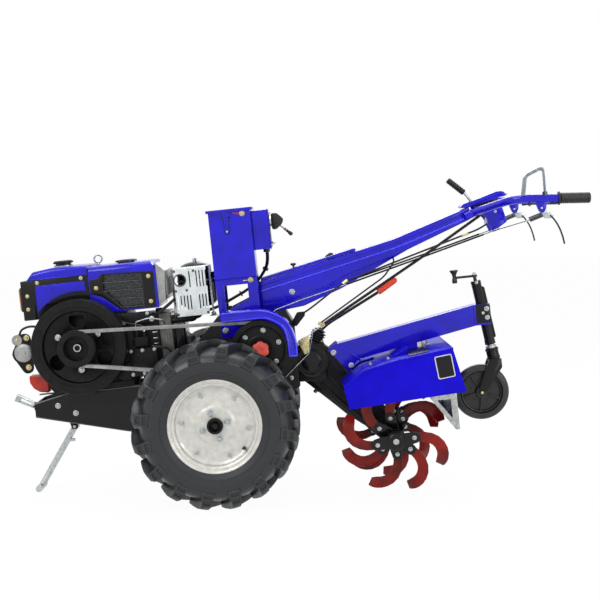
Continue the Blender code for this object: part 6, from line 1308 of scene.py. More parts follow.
def leadPieces():
    pipe(leadRoute, 0.006, "batteryLeadThick", hoseRubber, bend=0.03, sides=5, stands=["battery_lead"])
    second = [(x + 0.004, y - 0.0105, z + 0.002) for x, y, z in leadRoute]
    pipe(second, 0.0042, "batteryLeadThin", hoseRubber, bend=0.03, sides=4)
    ties = []
    for index in (2, 5, 8):
        first, after = Vector(leadRoute[index]), Vector(leadRoute[index + 1])
        ahead = (after - first).normalized()
        middle = (first + after) / 2 + Vector((0.002, -0.005, 0.001))
        ties.append(rod(middle - ahead * 0.0022, middle + ahead * 0.0022, 0.0125, 24, edge=0.0006))
    piece(ties, "leadTies", blackPlastic)
    gland = rod((0.25, 0.018, 0.632), (0.25, 0.018, 0.618), 0.0135, 6, edge=0.001)
    piece(gland, "leadGland", blackPlastic)


def batteryInside():
    refined("battery", blackPlastic, 0.003, 2)
    top = 0.5356 + 0.17
    caps = [turned(mm((0, 0), (0, 10), (3, 10), (4.5, 8), (4.5, 0)), 20, (0.086, y, top),
        upwards) for y in (-0.06, -0.036, -0.012, 0.012, 0.036, 0.06)]
    caps.append(box((0.14, -0.08, top - 0.001), (0.15, 0.08, top + 0.01), 0.002))
    piece(caps, "batteryCaps", blackPlastic)
    posts = [rod((0.172, y, top - 0.001), (0.172, y, top + 0.016), 0.008, 20, 0.0072, 0.0008) for y in (-0.07,
        0.07)]
    piece(posts, "batteryPosts", dieCast)
    pipe(((0.172, 0.07, top + 0.01), (0.185, 0.06, top + 0.014), (0.19, 0.03, top - 0.004),
        (0.196, 0.02, 0.66)), 0.0045, "batteryWire", hoseRubber, bend=0.02)


bedPieces()
gearboxPieces()
print("bed, stand and gearbox made")
guardPiece()
batteryPieces()
leadPieces()
batteryInside()
print("guard and battery box made")


# Handle beam, handlebar and levers

beamSize = {"half": 0.05, "cap": 0.003, "lip": 0.014, "skin": 0.0022}
beamTop = mm((204.5, 499.5), (376, 535), (754.6, 615), (1064, 711))


def beamPieces():
    refined("handle_beam", bluePaint, 0.003, 3)
    half, cap, lip = beamSize["half"], beamSize["cap"], beamSize["lip"]
    bits = []
    upper = [(x, z + cap) for x, z in beamTop]
    lower = [(x, z - lip) for x, z in beamTop][::-1]
    for side in (-1, 1):  # the lid's side flange, folded down over the channel
        bits.append(slab(upper + lower, side * (half - 0.001), side * (half + 0.0035), 0.0014))
    bits.append(slab(upper + [(x, z - 0.001) for x, z in beamTop][::-1], -half - 0.003, half + 0.003, 0.001))
    tray = mm((214, 506), (376, 540), (600, 587), (604, 596), (596, 599), (376, 552), (218, 518.5))
    bits.append(slab(tray, -0.043, 0.043, 0.0025, 0.004, 3))
    skin = beamSize["skin"]
    for side in (-1, 1):  # the rear length's side, which laps the front gusset
        plate = mm((288.5, 476), (376, 495), (754.6, 596), (1062, 692), (1062, 666), (806, 571), (560, 485),
            (314, 412))
        bits.append(slab(plate, side * (half - 0.001), side * (half + skin), 0.001))
        gusset = mm((314, 386), (376, 393), (531, 447), (560, 470), (320, 398))
        bits.append(slab(gusset, side * (half - 0.001), side * (half + 0.0012), 0.0006))
    piece(bits, "beamFlanges", bluePaint, smooth=30)
    heads = [bolt((0.335, side * (half + skin), 0.453), (0, side, 0), 0.015, 0.008) for side in (-1, 1)]
    piece(heads, "beamBolts", zinc)
    for side in (-1, 1):  # the swaged line below the lid's flange
        line = mm((212, 466), (376, 501), (754.6, 581), (1040, 669))
        # drawn in the lighter blue as a painted highlight line
        pipe([(x, side * (half + 0.0012), z) for x, z in line], 0.0038, "beamSwage_" + sideName(side),
            highlightBlue, bend=0.05, sides=4)
    knob = joined([rod((0.35, 0, 0.538), (0.35, 0, 0.556), 0.004, 12),
        turned(mm((548, 4), (552, 11), (557, 11.5), (560, 8), (560, 0)), 20, (0.35, 0, 0.004), upwards)])
    clip = joined([box((0.468, -0.012, 0.564), (0.52, 0.012, 0.569), 0.0012),
        slab(mm((476, 566), (514, 574), (512, 588), (500, 590), (480, 578)), -0.006, 0.006, 0.0016, 0.003,
        3)])
    piece(joined([knob, clip]), "beamKnob", blackPlastic)


barSize = {"radius": 0.016, "cross": 0.06, "spread": 0.3, "elbowX": 1.2, "elbowZ": 0.728, "drop": 0.083}


def barHeight(x):
    return barSize["elbowZ"] - (x - barSize["elbowX"]) * barSize["drop"]


def barPieces():
    size = barSize
    cross = size["cross"] + 0.0068
    for side in (-1, 1):
        arm = [(1.045, side * cross, 0.677), (1.0803, side * cross, 0.691),
            (size["elbowX"], side * size["spread"], size["elbowZ"]),
            (1.478, side * size["spread"], barHeight(1.478))]
        pipe(arm, size["radius"], "handlebar_" + sideName(side) + "_tube", bluePaint, bend=0.06, sides=7,
            stands=["handlebar"])
    pipe(((1.0803, -cross, 0.691), (1.0803, cross, 0.691)), 0.013, "handlebarCross", bluePaint, sides=6)
    for side in (-1, 1):
        name = sideName(side)
        y = side * size["spread"]
        ears = []
        for edge in (-1, 1):
            near = y + edge * 0.0033
            top = barHeight(1.3) - 0.008
            outline = ((1.278, top), (1.322, top), (1.318, top - 0.03), (1.309, top - 0.044),
                (1.296, top - 0.046), (1.288, top - 0.034))
            ears.append(slab(outline, near, near + edge * 0.003, 0.0007, 0.003, 3))
        piece(ears, "leverEars_" + name, bluePaint)
        leverPieces(y, side, name)
        gripPiece(y, name)


# A flat strip whose centre follows a route: each station has a point, its wide direction and half its width
def ribbonShape(stations, wall):
    lines = []
    for index, (point, wide, half) in enumerate(stations):
        ahead = stations[min(index + 1, len(stations) - 1)][0] - stations[max(index - 1, 0)][0]
        wide = wide.normalized()
        thick = ahead.cross(wide).normalized() * wall / 2
        lines.append([point + wide * along * half + thick * up
            for along, up in ((-1, -1), (1, -1), (1, 1), (-1, 1))])
    return lofted(lines)


def leverPieces(y, side, name):
    top = barHeight(1.3)
    head = slab(((1.291, top - 0.02), (1.307, top - 0.02), (1.322, top - 0.052), (1.345, top - 0.052),
        (1.35, top - 0.062), (1.336, top - 0.078), (1.31, top - 0.076), (1.293, top - 0.06)), y - 0.0028,
        y + 0.0028, 0.0008, 0.003, 3)
    pin = rod((1.3, y - 0.009, top - 0.036), (1.3, y + 0.009, top - 0.036), 0.0042, 16, edge=0.0008)
    piece(joined([head, pin]), "leverHead_" + name, zinc)
    stations = []
    for step in range(17):  # the blade hangs in a long even curve from its head
        share = step / 16
        angle = radians(28 + 52 * share)
        point = Vector((1.33 + 0.086 * (sin(angle) - sin(radians(28))), y,
            top - 0.066 + 0.158 * (cos(angle) - cos(radians(28)))))
        stations.append((point, Vector(toRight), 0.0085 - 0.0015 * share))
    blade = ribbonShape(stations, 0.005)
    soften(blade, 0.0012, 2, 50)
    piece(blade, "leverBlade_" + name, blackPaint, smooth=40, stands=["steering_lever_" + name])
    springEnd, springStart = (1.252, y, 0.645), (1.302, y, top - 0.06)
    coil(springStart, springEnd, 0.0088, 0.0016, 14, "leverSpring_" + name, rodSteel)
    caps = [rod((1.296, y, top - 0.0585), (1.308, y, top - 0.062), 0.004, 12),
        rod((1.256, y, 0.6462), (1.24, y, 0.6412), 0.0034, 12)]
    piece(caps, "springEnds_" + name, zinc)
    stop = joined([rod((1.258, y, barHeight(1.258) - 0.015), (1.258, y, barHeight(1.258) - 0.0215), 0.005, 14,
        edge=0.001), box((1.335, y - 0.006, barHeight(1.35) - 0.0215),
        (1.366, y + 0.006, barHeight(1.35) - 0.0145), 0.0018)])
    piece(stop, "leverStop_" + name, blackPlastic)
    pipe(((1.243, y, 0.642), (1.2, side * 0.15, 0.625), (1.149, side * 0.052, 0.61),
        (1.1, side * 0.064, 0.598)), 0.0018, "steerWire_" + name, rodSteel, bend=0.03)
    pipe(((1.11, side * 0.062, 0.6005), (0.844, side * 0.072, 0.533), (0.551, side * 0.08, 0.461)), 0.0036,
        "steerRod_" + name, blackPaint, bend=0.03)
    pipe(((0.57, side * 0.0795, 0.4655), (0.551, side * 0.08, 0.461), (0.362, side * 0.092, 0.418),
        (0.262, side * 0.099, 0.391), (0.25, side * 0.096, 0.378)), 0.0018, "steerWireLow_" + name, zinc,
        bend=0.02)


def gripPiece(y, name):
    start = Vector((1.366, y, barHeight(1.366)))
    ahead = Vector((1, 0, -barSize["drop"])).normalized()
    length = 0.1178
    profile = [(-0.001, 0.0162), (-0.001, 0.0245), (0.0005, 0.0258), (0.0045, 0.0258), (0.006, 0.024),
        (0.0075, 0.0205)]
    ribs = 13
    for rib in range(ribs):
        at = 0.009 + (length - 0.016) * rib / ribs
        pitch = (length - 0.016) / ribs
        profile += [(at, 0.0188), (at + pitch * 0.22, 0.0207), (at + pitch * 0.62, 0.0207),
            (at + pitch * 0.84, 0.0188)]
    profile += [(length - 0.006, 0.0207), (length - 0.001, 0.02), (length + 0.0022, 0.017),
        (length + 0.0028, 0.009), (length + 0.002, 0.0)]
    bm = turned(profile, 40, start, ahead)
    piece(bm, "gripRibbed_" + name, blackPlastic, smooth=50, stands=["grip_" + name])


def consolePieces():
    top = ((1.03, 0.7125), (1.04, 0.7275), (1.1, 0.742), (1.176, 0.764), (1.2, 0.764), (1.212, 0.756),
        (1.214, 0.744), (1.188, 0.74), (1.06, 0.7125))
    hood = slab(top, -0.05, 0.05, 0.003, 0.006, 4)
    inner = slab(mm((1066, 712.5), (1184, 739.5), (1176, 712)), -0.041, 0.041, 0.0012)
    cheeks = []
    for side in (-1, 1):
        cheeks.append(slab(mm((1080, 713), (1190, 713), (1197, 692), (1209, 642), (1149, 606), (1128, 664)),
            side * 0.046, side * 0.05, 0.0008, 0.004, 3))
    web = box((1.132, -0.047, 0.64), (1.137, 0.047, 0.713), 0.0008)
    piece(joined([hood, web] + cheeks), "leverConsoleHood", bluePaint, smooth=32, stands=["lever_console"])
    piece(inner, "consoleGuide", blackPaint)
    lever = joined([rod((1.092, 0, 0.72), (1.0545, 0, 0.7745), 0.0052, 16),
        rod((1.092, -0.018, 0.728), (1.092, 0.018, 0.728), 0.008, 16, edge=0.001)])
    piece(lever, "mainLeverRod", zinc)
    start, finish = Vector((1.056, 0, 0.7722)), Vector((0.996, 0, 0.829))
    ahead = (finish - start).normalized()
    length = (finish - start).length
    profile = [(0, 0.0), (0, 0.0105), (0.003, 0.0122)]
    for rib in range(9):
        at = 0.004 + (length - 0.01) * rib / 9
        pitch = (length - 0.01) / 9
        profile += [(at, 0.0106), (at + pitch * 0.25, 0.0126), (at + pitch * 0.7, 0.0126),
            (at + pitch * 0.9, 0.0106)]
    profile += [(length - 0.003, 0.0122), (length, 0.009), (length + 0.001, 0.0)]
    piece(turned(profile, 32, start, ahead), "mainLeverGrip", blackPlastic, smooth=50)
    fittings = []
    for side in (-1, 1):
        fittings += [bolt((1.166, side * 0.05, 0.686), (0, side, 0), 0.008, 0.004),
            rod((1.149, side * 0.052, 0.61), (1.176, side * 0.056, 0.618), 0.0045, 12, edge=0.0008)]
    piece(fittings, "gussetFittings", zinc)
    rear = [bolt((1.216, side * 0.03, 0.75), (1, 0, 0.2), 0.009, 0.005) for side in (-1, 1)]
    piece(rear, "consoleScrews", zinc)


def loopPieces():
    y = -barSize["spread"]
    foot = barHeight(1.24) + 0.016
    route = bentRoute(((1.236, y, foot - 0.004), (1.25, y, foot + 0.068), (1.306, y, foot + 0.0905),
        (1.3205, y, foot + 0.083), (1.3185, y, barHeight(1.32) + 0.012)), 0.013, 6)
    stations = [(point, Vector(toRight), 0.012) for point in route]
    strap = ribbonShape(stations, 0.012)
    for vert in strap.verts:  # the rear leg is flattened where it drops to its bush
        if vert.co.x > 1.306:
            vert.co.x = 1.3195 + (vert.co.x - 1.3195) * 0.45
    soften(strap, 0.0026, 3, 50)
    piece(strap, "handLoopStrap", loopSteel, smooth=40, stands=["hand_loop"])
    bush = turned(mm((0, 0), (0, 9.5), (10, 9.5), (13, 7), (13, 0)), 24, (1.3185, y, barHeight(1.32) + 0.014),
        upwards)
    piece(bush, "loopBush", blackPlastic)


def rodPieces():
    half = 0.05
    pipe(((1.11, -half + 0.001, 0.692), (1.104, -0.066, 0.678), (0.848, -0.066, 0.531),
        (0.442, -0.066, 0.311), (0.442, -0.06, 0.311)), 0.0058, "shiftRodBent", blackPaint, bend=0.014,
        sides=4, stands=["shift_rod"])
    pipe(mm((1128, -50, 640), (1085, -86, 623), (549, -110, 475), (500, -110, 447), (398, -100, 381),
        (362, -86, 362)), 0.0036, "clutchRod", blackPaint, bend=0.02)
    pipe(mm((746, -51, 548), (746, -90, 530), (700, -90, 476), (431, -90, 319), (431, -66, 315)), 0.0034,
        "brakeRod", blackPaint, bend=0.02)
    joints = [rod((0.556, -0.11, 0.4795), (0.536, -0.11, 0.467), 0.0075, 6, edge=0.001),
        rod((1.02, -0.0893, 0.605), (1.046, -0.088, 0.612), 0.0064, 6, edge=0.0008),
        bolt((0.442, -0.0725, 0.311), toLeft, 0.012, 0.006),
        bolt((0.431, -0.095, 0.319), toLeft, 0.01, 0.005)]
    piece(joints, "rodJoints", yellowZinc)
    clevis = slab(mm((346, 372), (378, 372), (376, 356), (340, 318), (318, 318), (322, 336)), -0.078, -0.09,
        0.0012, 0.004, 3)
    piece(clevis, "rodArm", blackCast)


beamPieces()
barPieces()
consolePieces()
loopPieces()
rodPieces()
print("handles and rods made")


# Tiller case, cover and rotor

caseSize = {"x": 0.404, "z": 0.165, "flangeX": 0.382, "flangeZ": 0.17, "half": 0.0327, "flange": 0.062}
rotorSize = {"x": 0.675, "z": -0.15, "radius": 0.205, "rows": 4, "first": 0.072, "pitch": 0.056,
    "wide": 0.036, "wall": 0.0068, "reach": 0.034, "lag": 0.95, "phase": 0.89}


def casePieces():
    refined("tiller_drive_case", blackCast, 0.005, 3, angle=24)
    x, z, half = caseSize["x"], caseSize["z"], caseSize["half"]
    rotorX, rotorZ = rotorSize["x"], rotorSize["z"]
    down = (Vector((rotorX, 0, rotorZ)) - Vector((x, 0, z))).normalized()
    across = Vector((-down.z, 0, down.x))
    bits, heads = [], []
    for side in (-1, 1):
        flange = (caseSize["flangeX"], side * caseSize["flange"], caseSize["flangeZ"])
        bits.append(turned(((side * -0.03, 0.03), (side * -0.03, 0.062), (side * 0.006, 0.061),
            (side * 0.0085, 0.0575), (side * 0.008, 0.053), (side * 0.004, 0.05), (side * 0.004, 0.045),
            (side * 0.011, 0.042), (side * 0.011, 0.03)), 56, flange, toRight, True))
        bits.append(turned(((0.0, 0.0), (0.0, 0.041), (side * 0.012, 0.039), (side * 0.015, 0.032),
            (side * 0.0155, 0.0)), 48, flange, toRight))
        for offset, first, last in ((0.058, 0.055, 0.345), (-0.058, 0.075, 0.335), (-0.012, 0.07, 0.345)):
            begin = Vector((x, 0, z)) + down * first + across * offset * (1 - first * 0.6)
            end = Vector((x, 0, z)) + down * last + across * offset * (1 - last * 0.75)
            wide = across * 0.0042
            outline = [(spot.x, spot.z) for spot in (begin - wide, end - wide, end + wide, begin + wide)]
            bits.append(slab(outline, side * (half - 0.001), side * (half + 0.0075), 0.0024))
        hub = turned(((0.0, 0.0215), (0.0, 0.046), (side * 0.01, 0.044), (side * 0.013, 0.038),
            (side * 0.013, 0.0215)), 40, (rotorX, side * half, rotorZ), toRight, True)
        bits.append(hub)
        for step in range(5):
            angle = (step + 0.4) * 2 * pi / 5
            heads.append(bolt((rotorX + 0.0385 * cos(angle), side * (half + 0.011),
                rotorZ + 0.0385 * sin(angle)), (0, side, 0), 0.008, 0.004, turn=step))
    web = mm((372, 150), (336, 128), (330, 104), (358, 80), (458, -16), (500, -58), (560, -106), (640, -162),
        (640, -120), (470, 60))
    bits.append(slab(web, -half + 0.0015, half - 0.0015, 0.005, 0.01, 3))
    piece(bits, "tillerCaseRibs", blackPaint, smooth=30)
    heads.append(bolt((0.392, -0.004, 0.046), -across, 0.017, 0.012))  # the drain plug
    heads += [bolt((0.342, side * 0.05, z + rise), (-0.2, side, 0), 0.013, 0.007) for side in (-1, 1)
        for rise in (-0.055, 0.055)]
    piece(heads, "tillerCaseBolts", rodSteel)
    gusset = slab(mm((336, 256), (366, 272), (384, 270), (380, 214), (370, 198), (358, 202)), -0.072, -0.0748,
        0.0008, 0.003, 3)
    piece(gusset, "selectorPlate", yellowZinc)
    pipe(mm((404, -77, 300), (378, -77, 205), (345, -86, 179), (320, -97.5, 160), (276, -97.5, 124)), 0.0019,
        "selectorRodLow", zinc, bend=0.01)
    pipe(mm((340, -77, 254), (392, -77, 280), (437, -74, 308)), 0.0019, "selectorRodHigh", zinc, bend=0.01)
    pins = [bolt((0.374, -0.0748, 0.21), toLeft, 0.008, 0.004),
        bolt((0.346, -0.0748, 0.256), toLeft, 0.007, 0.004)]
    piece(pins, "selectorPins", zinc)
    bootPieces()


def bootPieces():
    ahead = Vector((0.5, 0, 0.86)).normalized()
    root = Vector((0.4, 0, 0.233))
    profile = [(0.0, 0.0), (0.0, 0.03), (0.004, 0.033), (0.008, 0.03)]
    for fold in range(5):
        at, radius = 0.012 + fold * 0.0105, (0.027, 0.029, 0.0315, 0.031, 0.024)[fold]
        profile += [(at, radius - 0.0085), (at + 0.003, radius - 0.002), (at + 0.0052, radius),
            (at + 0.0074, radius - 0.002)]
    profile += [(0.064, 0.013), (0.07, 0.0105), (0.072, 0.0)]
    piece(turned(profile, 40, root, ahead), "shiftBoot", hoseRubber, smooth=40, stands=["shift_lever"])
    tip = Vector((0.676, 0, 0.412))
    pipe((root + ahead * 0.05, (0.462, 0, 0.306), tip), 0.006, "shiftLeverRod", blackPaint, bend=0.03)
    lean = Vector((0.258, 0, 0.1517)).normalized()
    profile = [(0.0003, 0.0), (0.0003, 0.0105), (0.003, 0.013)]
    for rib in range(8):
        at = 0.006 + rib * 0.009
        profile += [(at, 0.012), (at + 0.002, 0.013), (at + 0.0065, 0.013), (at + 0.0085, 0.012)]
    profile += [(0.082, 0.0128), (0.088, 0.01), (0.0915, 0.005), (0.0925, 0.0)]
    piece(turned(profile, 32, tip, lean), "shiftGripRibbed", orangeRubber, smooth=50, stands=["shift_grip"])


coverHalf = 0.28
coverLine = mm((495, 85.7), (578.5, 138.4), (699.2, 163.7), (796.6, 175.4), (921.9, 191))


def coverPieces():
    refined("tiller_beam", bluePaint, 0.0026, 3)
    flats, heads = [], []
    for side in (-1, 1):
        lip = mm((491.5, 218), (508, 220), (583, 152), (576, 146))
        flats.append(slab(lip, side * 0.035, side * 0.0425, 0.0012))
        heads += [bolt((x, side * 0.041, z), (0, side, 0), 0.015, 0.008, turn=x * 9)
            for x, z in ((0.474, 0.193), (0.54, 0.135))]
        heads.append(bolt((1.082, side * 0.034, 0.29), (0, side, 0), 0.015, 0.008))
    flats.append(box((1.046, -0.037, 0.248), (1.054, 0.037, 0.3245), 0.0012))
    piece(flats, "tillerBeamWelds", bluePaint)
    refined("tiller_cover", coverBlue, 0.0008, 2)
    rolls = []
    for side in (-1, 1):  # the top sheet's turned edge along each side plate
        y = side * (coverHalf + 0.0008)
        edge = bentRoute([(x, y, z - 0.001) for x, z in coverLine], 0.03, 5)
        section = mm((-2.2, -3), (-2.2, 2.2), (1.6, 3), (5.8, 2.2), (5.8, -2.2))
        rolls.append(carried([(depth, spot * side * -1) for depth, spot in section], edge))
    rolls.append(box((0.918, -0.279, 0.1835), (0.9245, 0.279, 0.1915), 0.0012))
    ramp = slab(mm((700, 165), (760, 195), (764, 195), (764, 169)), -0.15, 0.15, 0.0012)
    rolls.append(ramp)
    piece(rolls, "coverSeams", coverBlue, smooth=40)
    # The slot on the cover's top is a thin black strip: painted shade standing for the dark gap there
    well = slab(mm((757, 169), (838, 179), (838, 183.5), (757, 174)), -0.235, 0.235, 0.0006)
    piece(well, "coverGapShade", blackPaint)
    for x, z in ((0.61, 0.1458), (0.68, 0.16)):
        for y in (-0.16, 0.16):
            heads.append(bolt((x, y, z), (-0.2, 0, 1), 0.012, 0.006, turn=y * 9))
    wing = [rod((0.852, 0, 0.176), (0.852, 0, 0.214), 0.0045, 14),
        rod((0.836, 0, 0.215), (0.868, 0, 0.218), 0.004, 12),
        turned(mm((0, 0), (0, 9.5), (8, 8.5), (8, 0)), 6, (0.852, 0, 0.1785), upwards),
        rod((0.812, 0.012, 0.2), (0.84, 0.012, 0.2045), 0.0045, 12),
        box((0.83, -0.018, 0.176), (0.842, 0.018, 0.206), 0.001)]
    heads += wing
    piece(heads, "coverBolts", zinc)
    middle = Vector((0.886, 0, 0.123))
    turn = (Matrix.Translation(middle) @ Matrix.Rotation(-radians(6), 4, "Y")
        @ Matrix.Translation(-middle))
    y = -coverHalf
    for low, high, stand, corner, name, finish, slot in (
            ((0.853, 0.079), (0.919, 0.167), 0.0014, 0.006, "blankPlateRim", blankPlate, "blue_paint"),
            ((0.8565, 0.0825), (0.9155, 0.1635), 0.0018, 0.004, "blankPlateField", blackPaint, "blue_paint")):
        sheet = box((low[0], y - stand, low[1]), (high[0], y + 0.001, high[1]), 0.0)
        corners = [edge for edge in sheet.edges if abs(edge.verts[0].co.y - edge.verts[1].co.y) > 0.001]
        rounded(sheet, corners, corner, 4)
        sheet.transform(turn)
        piece(sheet, name, finish)
    rivets = []
    for x, z in ((0.8575, 0.0835), (0.9145, 0.0835), (0.8575, 0.1625), (0.9145, 0.1625)):
        spot = turn @ Vector((x, y - 0.0014, z))
        rivets.append(turned(mm((0, 0), (0, -2.4), (-1.2, -1.8), (-1.6, 0)), 12, spot, toRight))
    for rivet in rivets:
        bmesh.ops.recalc_face_normals(rivet, faces=rivet.faces[:])
    piece(rivets, "blankPlateRivets", bright)
    refined("levelling_board", galvanised, 0.001, 2)


bladeLine = ((0.3, 0.0, 0.0), (0.42, 0.01, 0.0), (0.54, 0.05, 0.0), (0.65, 0.115, 0.0), (0.75, 0.2, 0.0),
    (0.83, 0.3, 0.0), (0.885, 0.4, 0.03), (0.92, 0.49, 0.12), (0.938, 0.57, 0.28), (0.948, 0.635, 0.48),
    (0.953, 0.69, 0.72), (0.955, 0.735, 0.98))


def bladeStations(turn, y, bend):
    stations, points = [], []
    for reach, lag, shift in bladeLine:
        angle, radius = turn - lag * rotorSize["lag"], reach * rotorSize["radius"]
        points.append(Vector((radius * cos(angle), y + bend * shift * rotorSize["reach"],
            radius * sin(angle))))
    for index, point in enumerate(points):
        ahead = points[min(index + 1, len(points) - 1)] - points[max(index - 1, 0)]
        flat = Vector((ahead.x, 0, ahead.z)).normalized()
        wide = Vector((flat.z, 0, -flat.x))
        share = index / (len(points) - 1)
        half = rotorSize["wide"] / 2 * (0.74 + 0.5 * sin(pi * min(share * 0.62 + 0.08, 1))
            - 0.22 * max(share - 0.8, 0) / 0.2)
        stations.append((point, wide, half))
    return stations


def rotorPieces():
    size = rotorSize
    place = machine @ Matrix.Translation((size["x"], 0, size["z"]))
    blades, holders, heads = [], [], []
    for side in (-1, 1):
        for index in range(size["rows"]):
            y = side * (size["first"] + index * size["pitch"])
            first = (index * 2 + (side > 0)) * pi / (2 * size["rows"])
            bend = -side if index == size["rows"] - 1 else side * (1 if index % 2 else -1)
            if index == 0:
                bend = side
            holders.append(turned(mm((-10, 19), (-10, 34), (-6, 38), (6, 38), (10, 34), (10, 19)), 40,
                (0, y, 0), toRight, True))
            for blade in range(2):
                turn = size["phase"] + first + blade * pi
                bm = ribbonShape(bladeStations(turn, y, bend), size["wall"])
                soften(bm, 0.0014, 2, 50)
                blades.append(bm)
                out = Vector((cos(turn), 0, sin(turn)))
                over = Vector((sin(turn), 0, -cos(turn)))
                outline = []
                for along, wide in ((0.026, -0.024), (0.06, -0.021), (0.086, -0.018), (0.0935, -0.01),
                        (0.0935, 0.01), (0.084, 0.02), (0.06, 0.024), (0.026, 0.026)):
                    spot = out * along + over * wide
                    outline.append((spot.x, spot.z))
                for near, far in ((-0.0092, -0.0038), (0.0038, 0.0092)):
                    holders.append(slab(outline, y + near, y + far, 0.001, 0.003, 2))
                spot = out * 0.072
                for face in (-1, 1):
                    heads.append(bolt((spot.x, y + face * 0.0092, spot.z), (0, face, 0), 0.0115, 0.0065,
                        turn=turn))
    piece(blades, "tillerBlades", redPaint, "rotor", place=place, smooth=40, stands=["tiller_rotor"])
    half = 0.262
    shaft = turned(((-half + 0.006, 0.0), (-half + 0.006, 0.015), (-half + 0.008, 0.0185),
        (half - 0.008, 0.0185), (half - 0.006, 0.015), (half - 0.006, 0.0)), 6, (0, 0, 0))
    soften(shaft, 0.001, 2, 28)
    holders.append(shaft)
    for side in (-1, 1):
        holders.append(turned(((side * 0.04, 0.019), (side * 0.04, 0.036), (side * 0.052, 0.036),
            (side * 0.056, 0.03), (side * 0.056, 0.019)), 32, (0, 0, 0), toRight, True))
        holders.append(turned(((side * 0.248, 0.0), (side * 0.248, 0.03), (side * 0.254, 0.03),
            (side * 0.256, 0.027), (side * 0.256, 0.0)), 36, (0, 0, 0)))
        heads.append(bolt((0, side * 0.2555, 0), (0, side, 0), 0.015, 0.0062, turn=0.2))
    piece(holders, "bladeHolders", blackPaint, "rotor", place=place, smooth=30)
    piece(heads, "bladeBolts", zinc, "rotor", place=place, smooth=30)


casePieces()
coverPieces()
rotorPieces()
print("tiller made")


# Tail wheel and its column

tailSize = {"x": 1.069, "z": 0.418, "lean": radians(8), "length": 0.262, "radius": 0.02, "wheelX": 1.05,
    "wheelZ": -0.029, "wheel": 0.112, "half": 0.021}
columnDown = Vector((sin(tailSize["lean"]), 0, -cos(tailSize["lean"])))


def onColumn(distance):
    lean = tailSize["lean"]
    return Vector((tailSize["x"] + distance * sin(lean), 0, tailSize["z"] - distance * cos(lean)))


def columnPieces():
    down = columnDown
    length, radius = tailSize["length"], tailSize["radius"]
    profile = [(0.0, 0.0), (0.0, 0.019), (0.0015, 0.0205), (0.012, 0.0205), (0.0135, radius),
        (length - 0.02, radius), (length - 0.018, 0.0215), (length - 0.001, 0.0215), (length, 0.0205),
        (length, 0.0147), (0.047, 0.0147), (0.047, 0.0)]
    tube = turned(profile, 48, onColumn(0), down)
    outline = [(onColumn(at).x + offset, onColumn(at).z)
        for at, offset in ((0.022, 0.0185), (0.03, 0.029), (length - 0.03, 0.029), (length - 0.022, 0.0185))]
    rib = slab(outline, -0.0035, 0.0035, 0.001)
    piece(joined([tube, rib]), "columnTube", blackPaint, smooth=30, stands=["tail_column"])
    top = onColumn(0.002) - down * 0.022
    arm = top + Vector((-0.08, 0, 0))
    crank = [rod(onColumn(0.002), top - down * 0.002, 0.0068, 20, edge=0.0008),
        turned(mm((-4, 0), (-4, 11.5), (4.5, 11.5), (6, 9), (6, 0)), 24, top, upwards),
        rod(top + Vector((-0.008, 0, 0)), arm, 0.005, 16), turned(mm((-22, 0), (-22, 8.5), (-18, 10.5),
        (-6, 10), (1, 7.5), (1, 0)), 20, arm, upwards)]
    crank.append(turned(mm((0, 7), (8, 7.8), (16, 10), (24, 15), (27.5, 17.2), (30.5, 16.8), (32, 13),
        (32, 0)), 32, arm, upwards))
    piece(crank, "crankHandle", blackPlastic, smooth=40)
    cap = [bolt(top + Vector((0, 0, 0.0055)), upwards, 0.013, 0.007),
        bolt(onColumn(0.006) + Vector((0, -0.0205, 0)), toLeft, 0.009, 0.005)]
    piece(cap, "crankNut", zinc)
    clampPieces()
    stem = turned(((0.05, 0.0), (0.05, 0.0138), (0.0515, 0.014), (length + 0.005, 0.014),
        (length + 0.005, 0.021), (length + 0.006, 0.022), (length + 0.014, 0.022), (length + 0.015, 0.021),
        (length + 0.015, 0.014), (length + 0.058, 0.014), (length + 0.059, 0.013), (length + 0.059, 0.0)), 40,
        onColumn(0), down)
    piece(stem, "stemTube", zinc, "tail_post", smooth=30, stands=["tail_stem"])


def clampPieces():
    bits = []
    for side in (-1, 1):
        bits.append(slab(mm((1050, 324.5), (1110, 324.5), (1113, 318), (1113, 255), (1110, 249), (1050, 249)),
            side * 0.034, side * 0.0362, 0.001))
    piece(bits, "columnClampCheeks", blackPaint)
    heads = []
    for z in (0.27, 0.305):
        for side in (-1, 1):
            heads.append(bolt((1.098, side * 0.0362, z), (0, side, 0), 0.013, 0.007))
    piece(heads, "columnClampBolts", zinc)


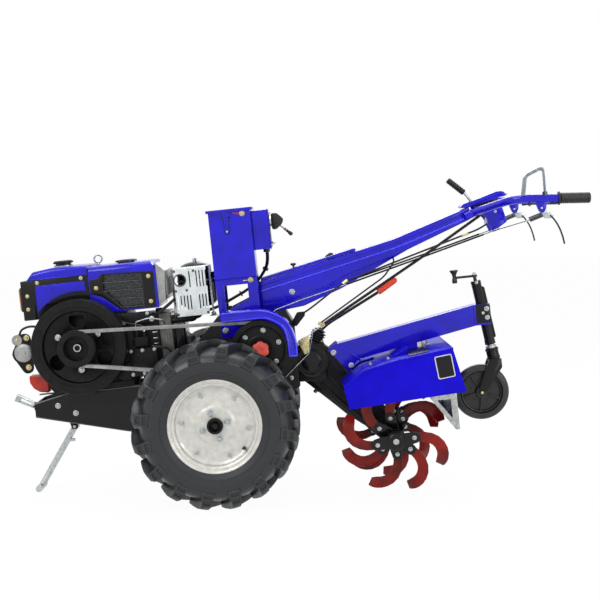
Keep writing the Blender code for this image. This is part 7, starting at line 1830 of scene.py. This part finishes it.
def forkPieces():
    refined("tail_fork", blackPaint, 0.0014, 2)
    start = onColumn(tailSize["length"] + 0.0165)
    rings = [turned(section, 40, start, columnDown, True) for section in (
        mm((1, 25), (1, 26.8), (8.5, 26.8), (10, 25)), mm((33, 25), (34, 26.6), (42, 26.6), (43, 25)))]
    piece(rings, "forkRings", blackPaint, "tail_yoke")
    heads = [bolt((tailSize["wheelX"], side * 0.03, tailSize["wheelZ"]), (0, side, 0), 0.014,
        0.007) for side in (-1, 1)]
    piece(heads, "forkAxleNuts", yellowZinc, "tail_yoke")


def tailWheelPieces():
    place = machine @ Matrix.Translation((tailSize["wheelX"], 0, tailSize["wheelZ"]))
    half, radius = tailSize["half"], tailSize["wheel"]
    profile = [(-half, 0.086), (-half + 0.001, 0.0955), (-half + 0.003, 0.104), (-half + 0.0075, 0.109),
        (-0.007, 0.1112), (0.0, radius), (0.007, 0.1112), (half - 0.0075, 0.109), (half - 0.003, 0.104),
        (half - 0.001, 0.0955), (half, 0.086), (half - 0.006, 0.0835), (-half + 0.006, 0.0835)]
    tyre = turned(profile, 72, closed=True)
    piece(tyre, "tailTyre", tyreRubber, "tail_roller", place=place, smooth=30, stands=["tail_wheel"])
    hub = [turned(((-half + 0.0065, 0.0838), (-half + 0.0045, 0.08), (-half + 0.006, 0.0765),
        (-0.0035, 0.075), (-0.0035, 0.0255), (-half + 0.001, 0.0225), (-half, 0.02), (-half, 0.009),
        (half, 0.009), (half, 0.02), (half - 0.001, 0.0225), (0.0035, 0.0255), (0.0035, 0.075),
        (half - 0.006, 0.0765), (half - 0.0045, 0.08), (half - 0.0065, 0.0838)), 64, closed=True)]
    for spoke in range(5):
        angle = (spoke + 0.35) * 2 * pi / 5
        rib = box((0.02, -half + 0.006, -0.0032), (0.0775, half - 0.006, 0.0032), 0.0014)
        rib.transform(Matrix.Rotation(angle, 4, "Y"))
        hub.append(rib)
        ring = box((0.04, -half + 0.009, -0.0015), (0.043, half - 0.009, 0.0015), 0.0004)
        ring.transform(Matrix.Rotation(angle + 0.6, 4, "Y"))
        hub.append(ring)
    piece(hub, "tailWheelHub", blackPlastic, "tail_roller", place=place,
        smooth=32)


columnPieces()
forkPieces()
tailWheelPieces()
print("tail wheel made")
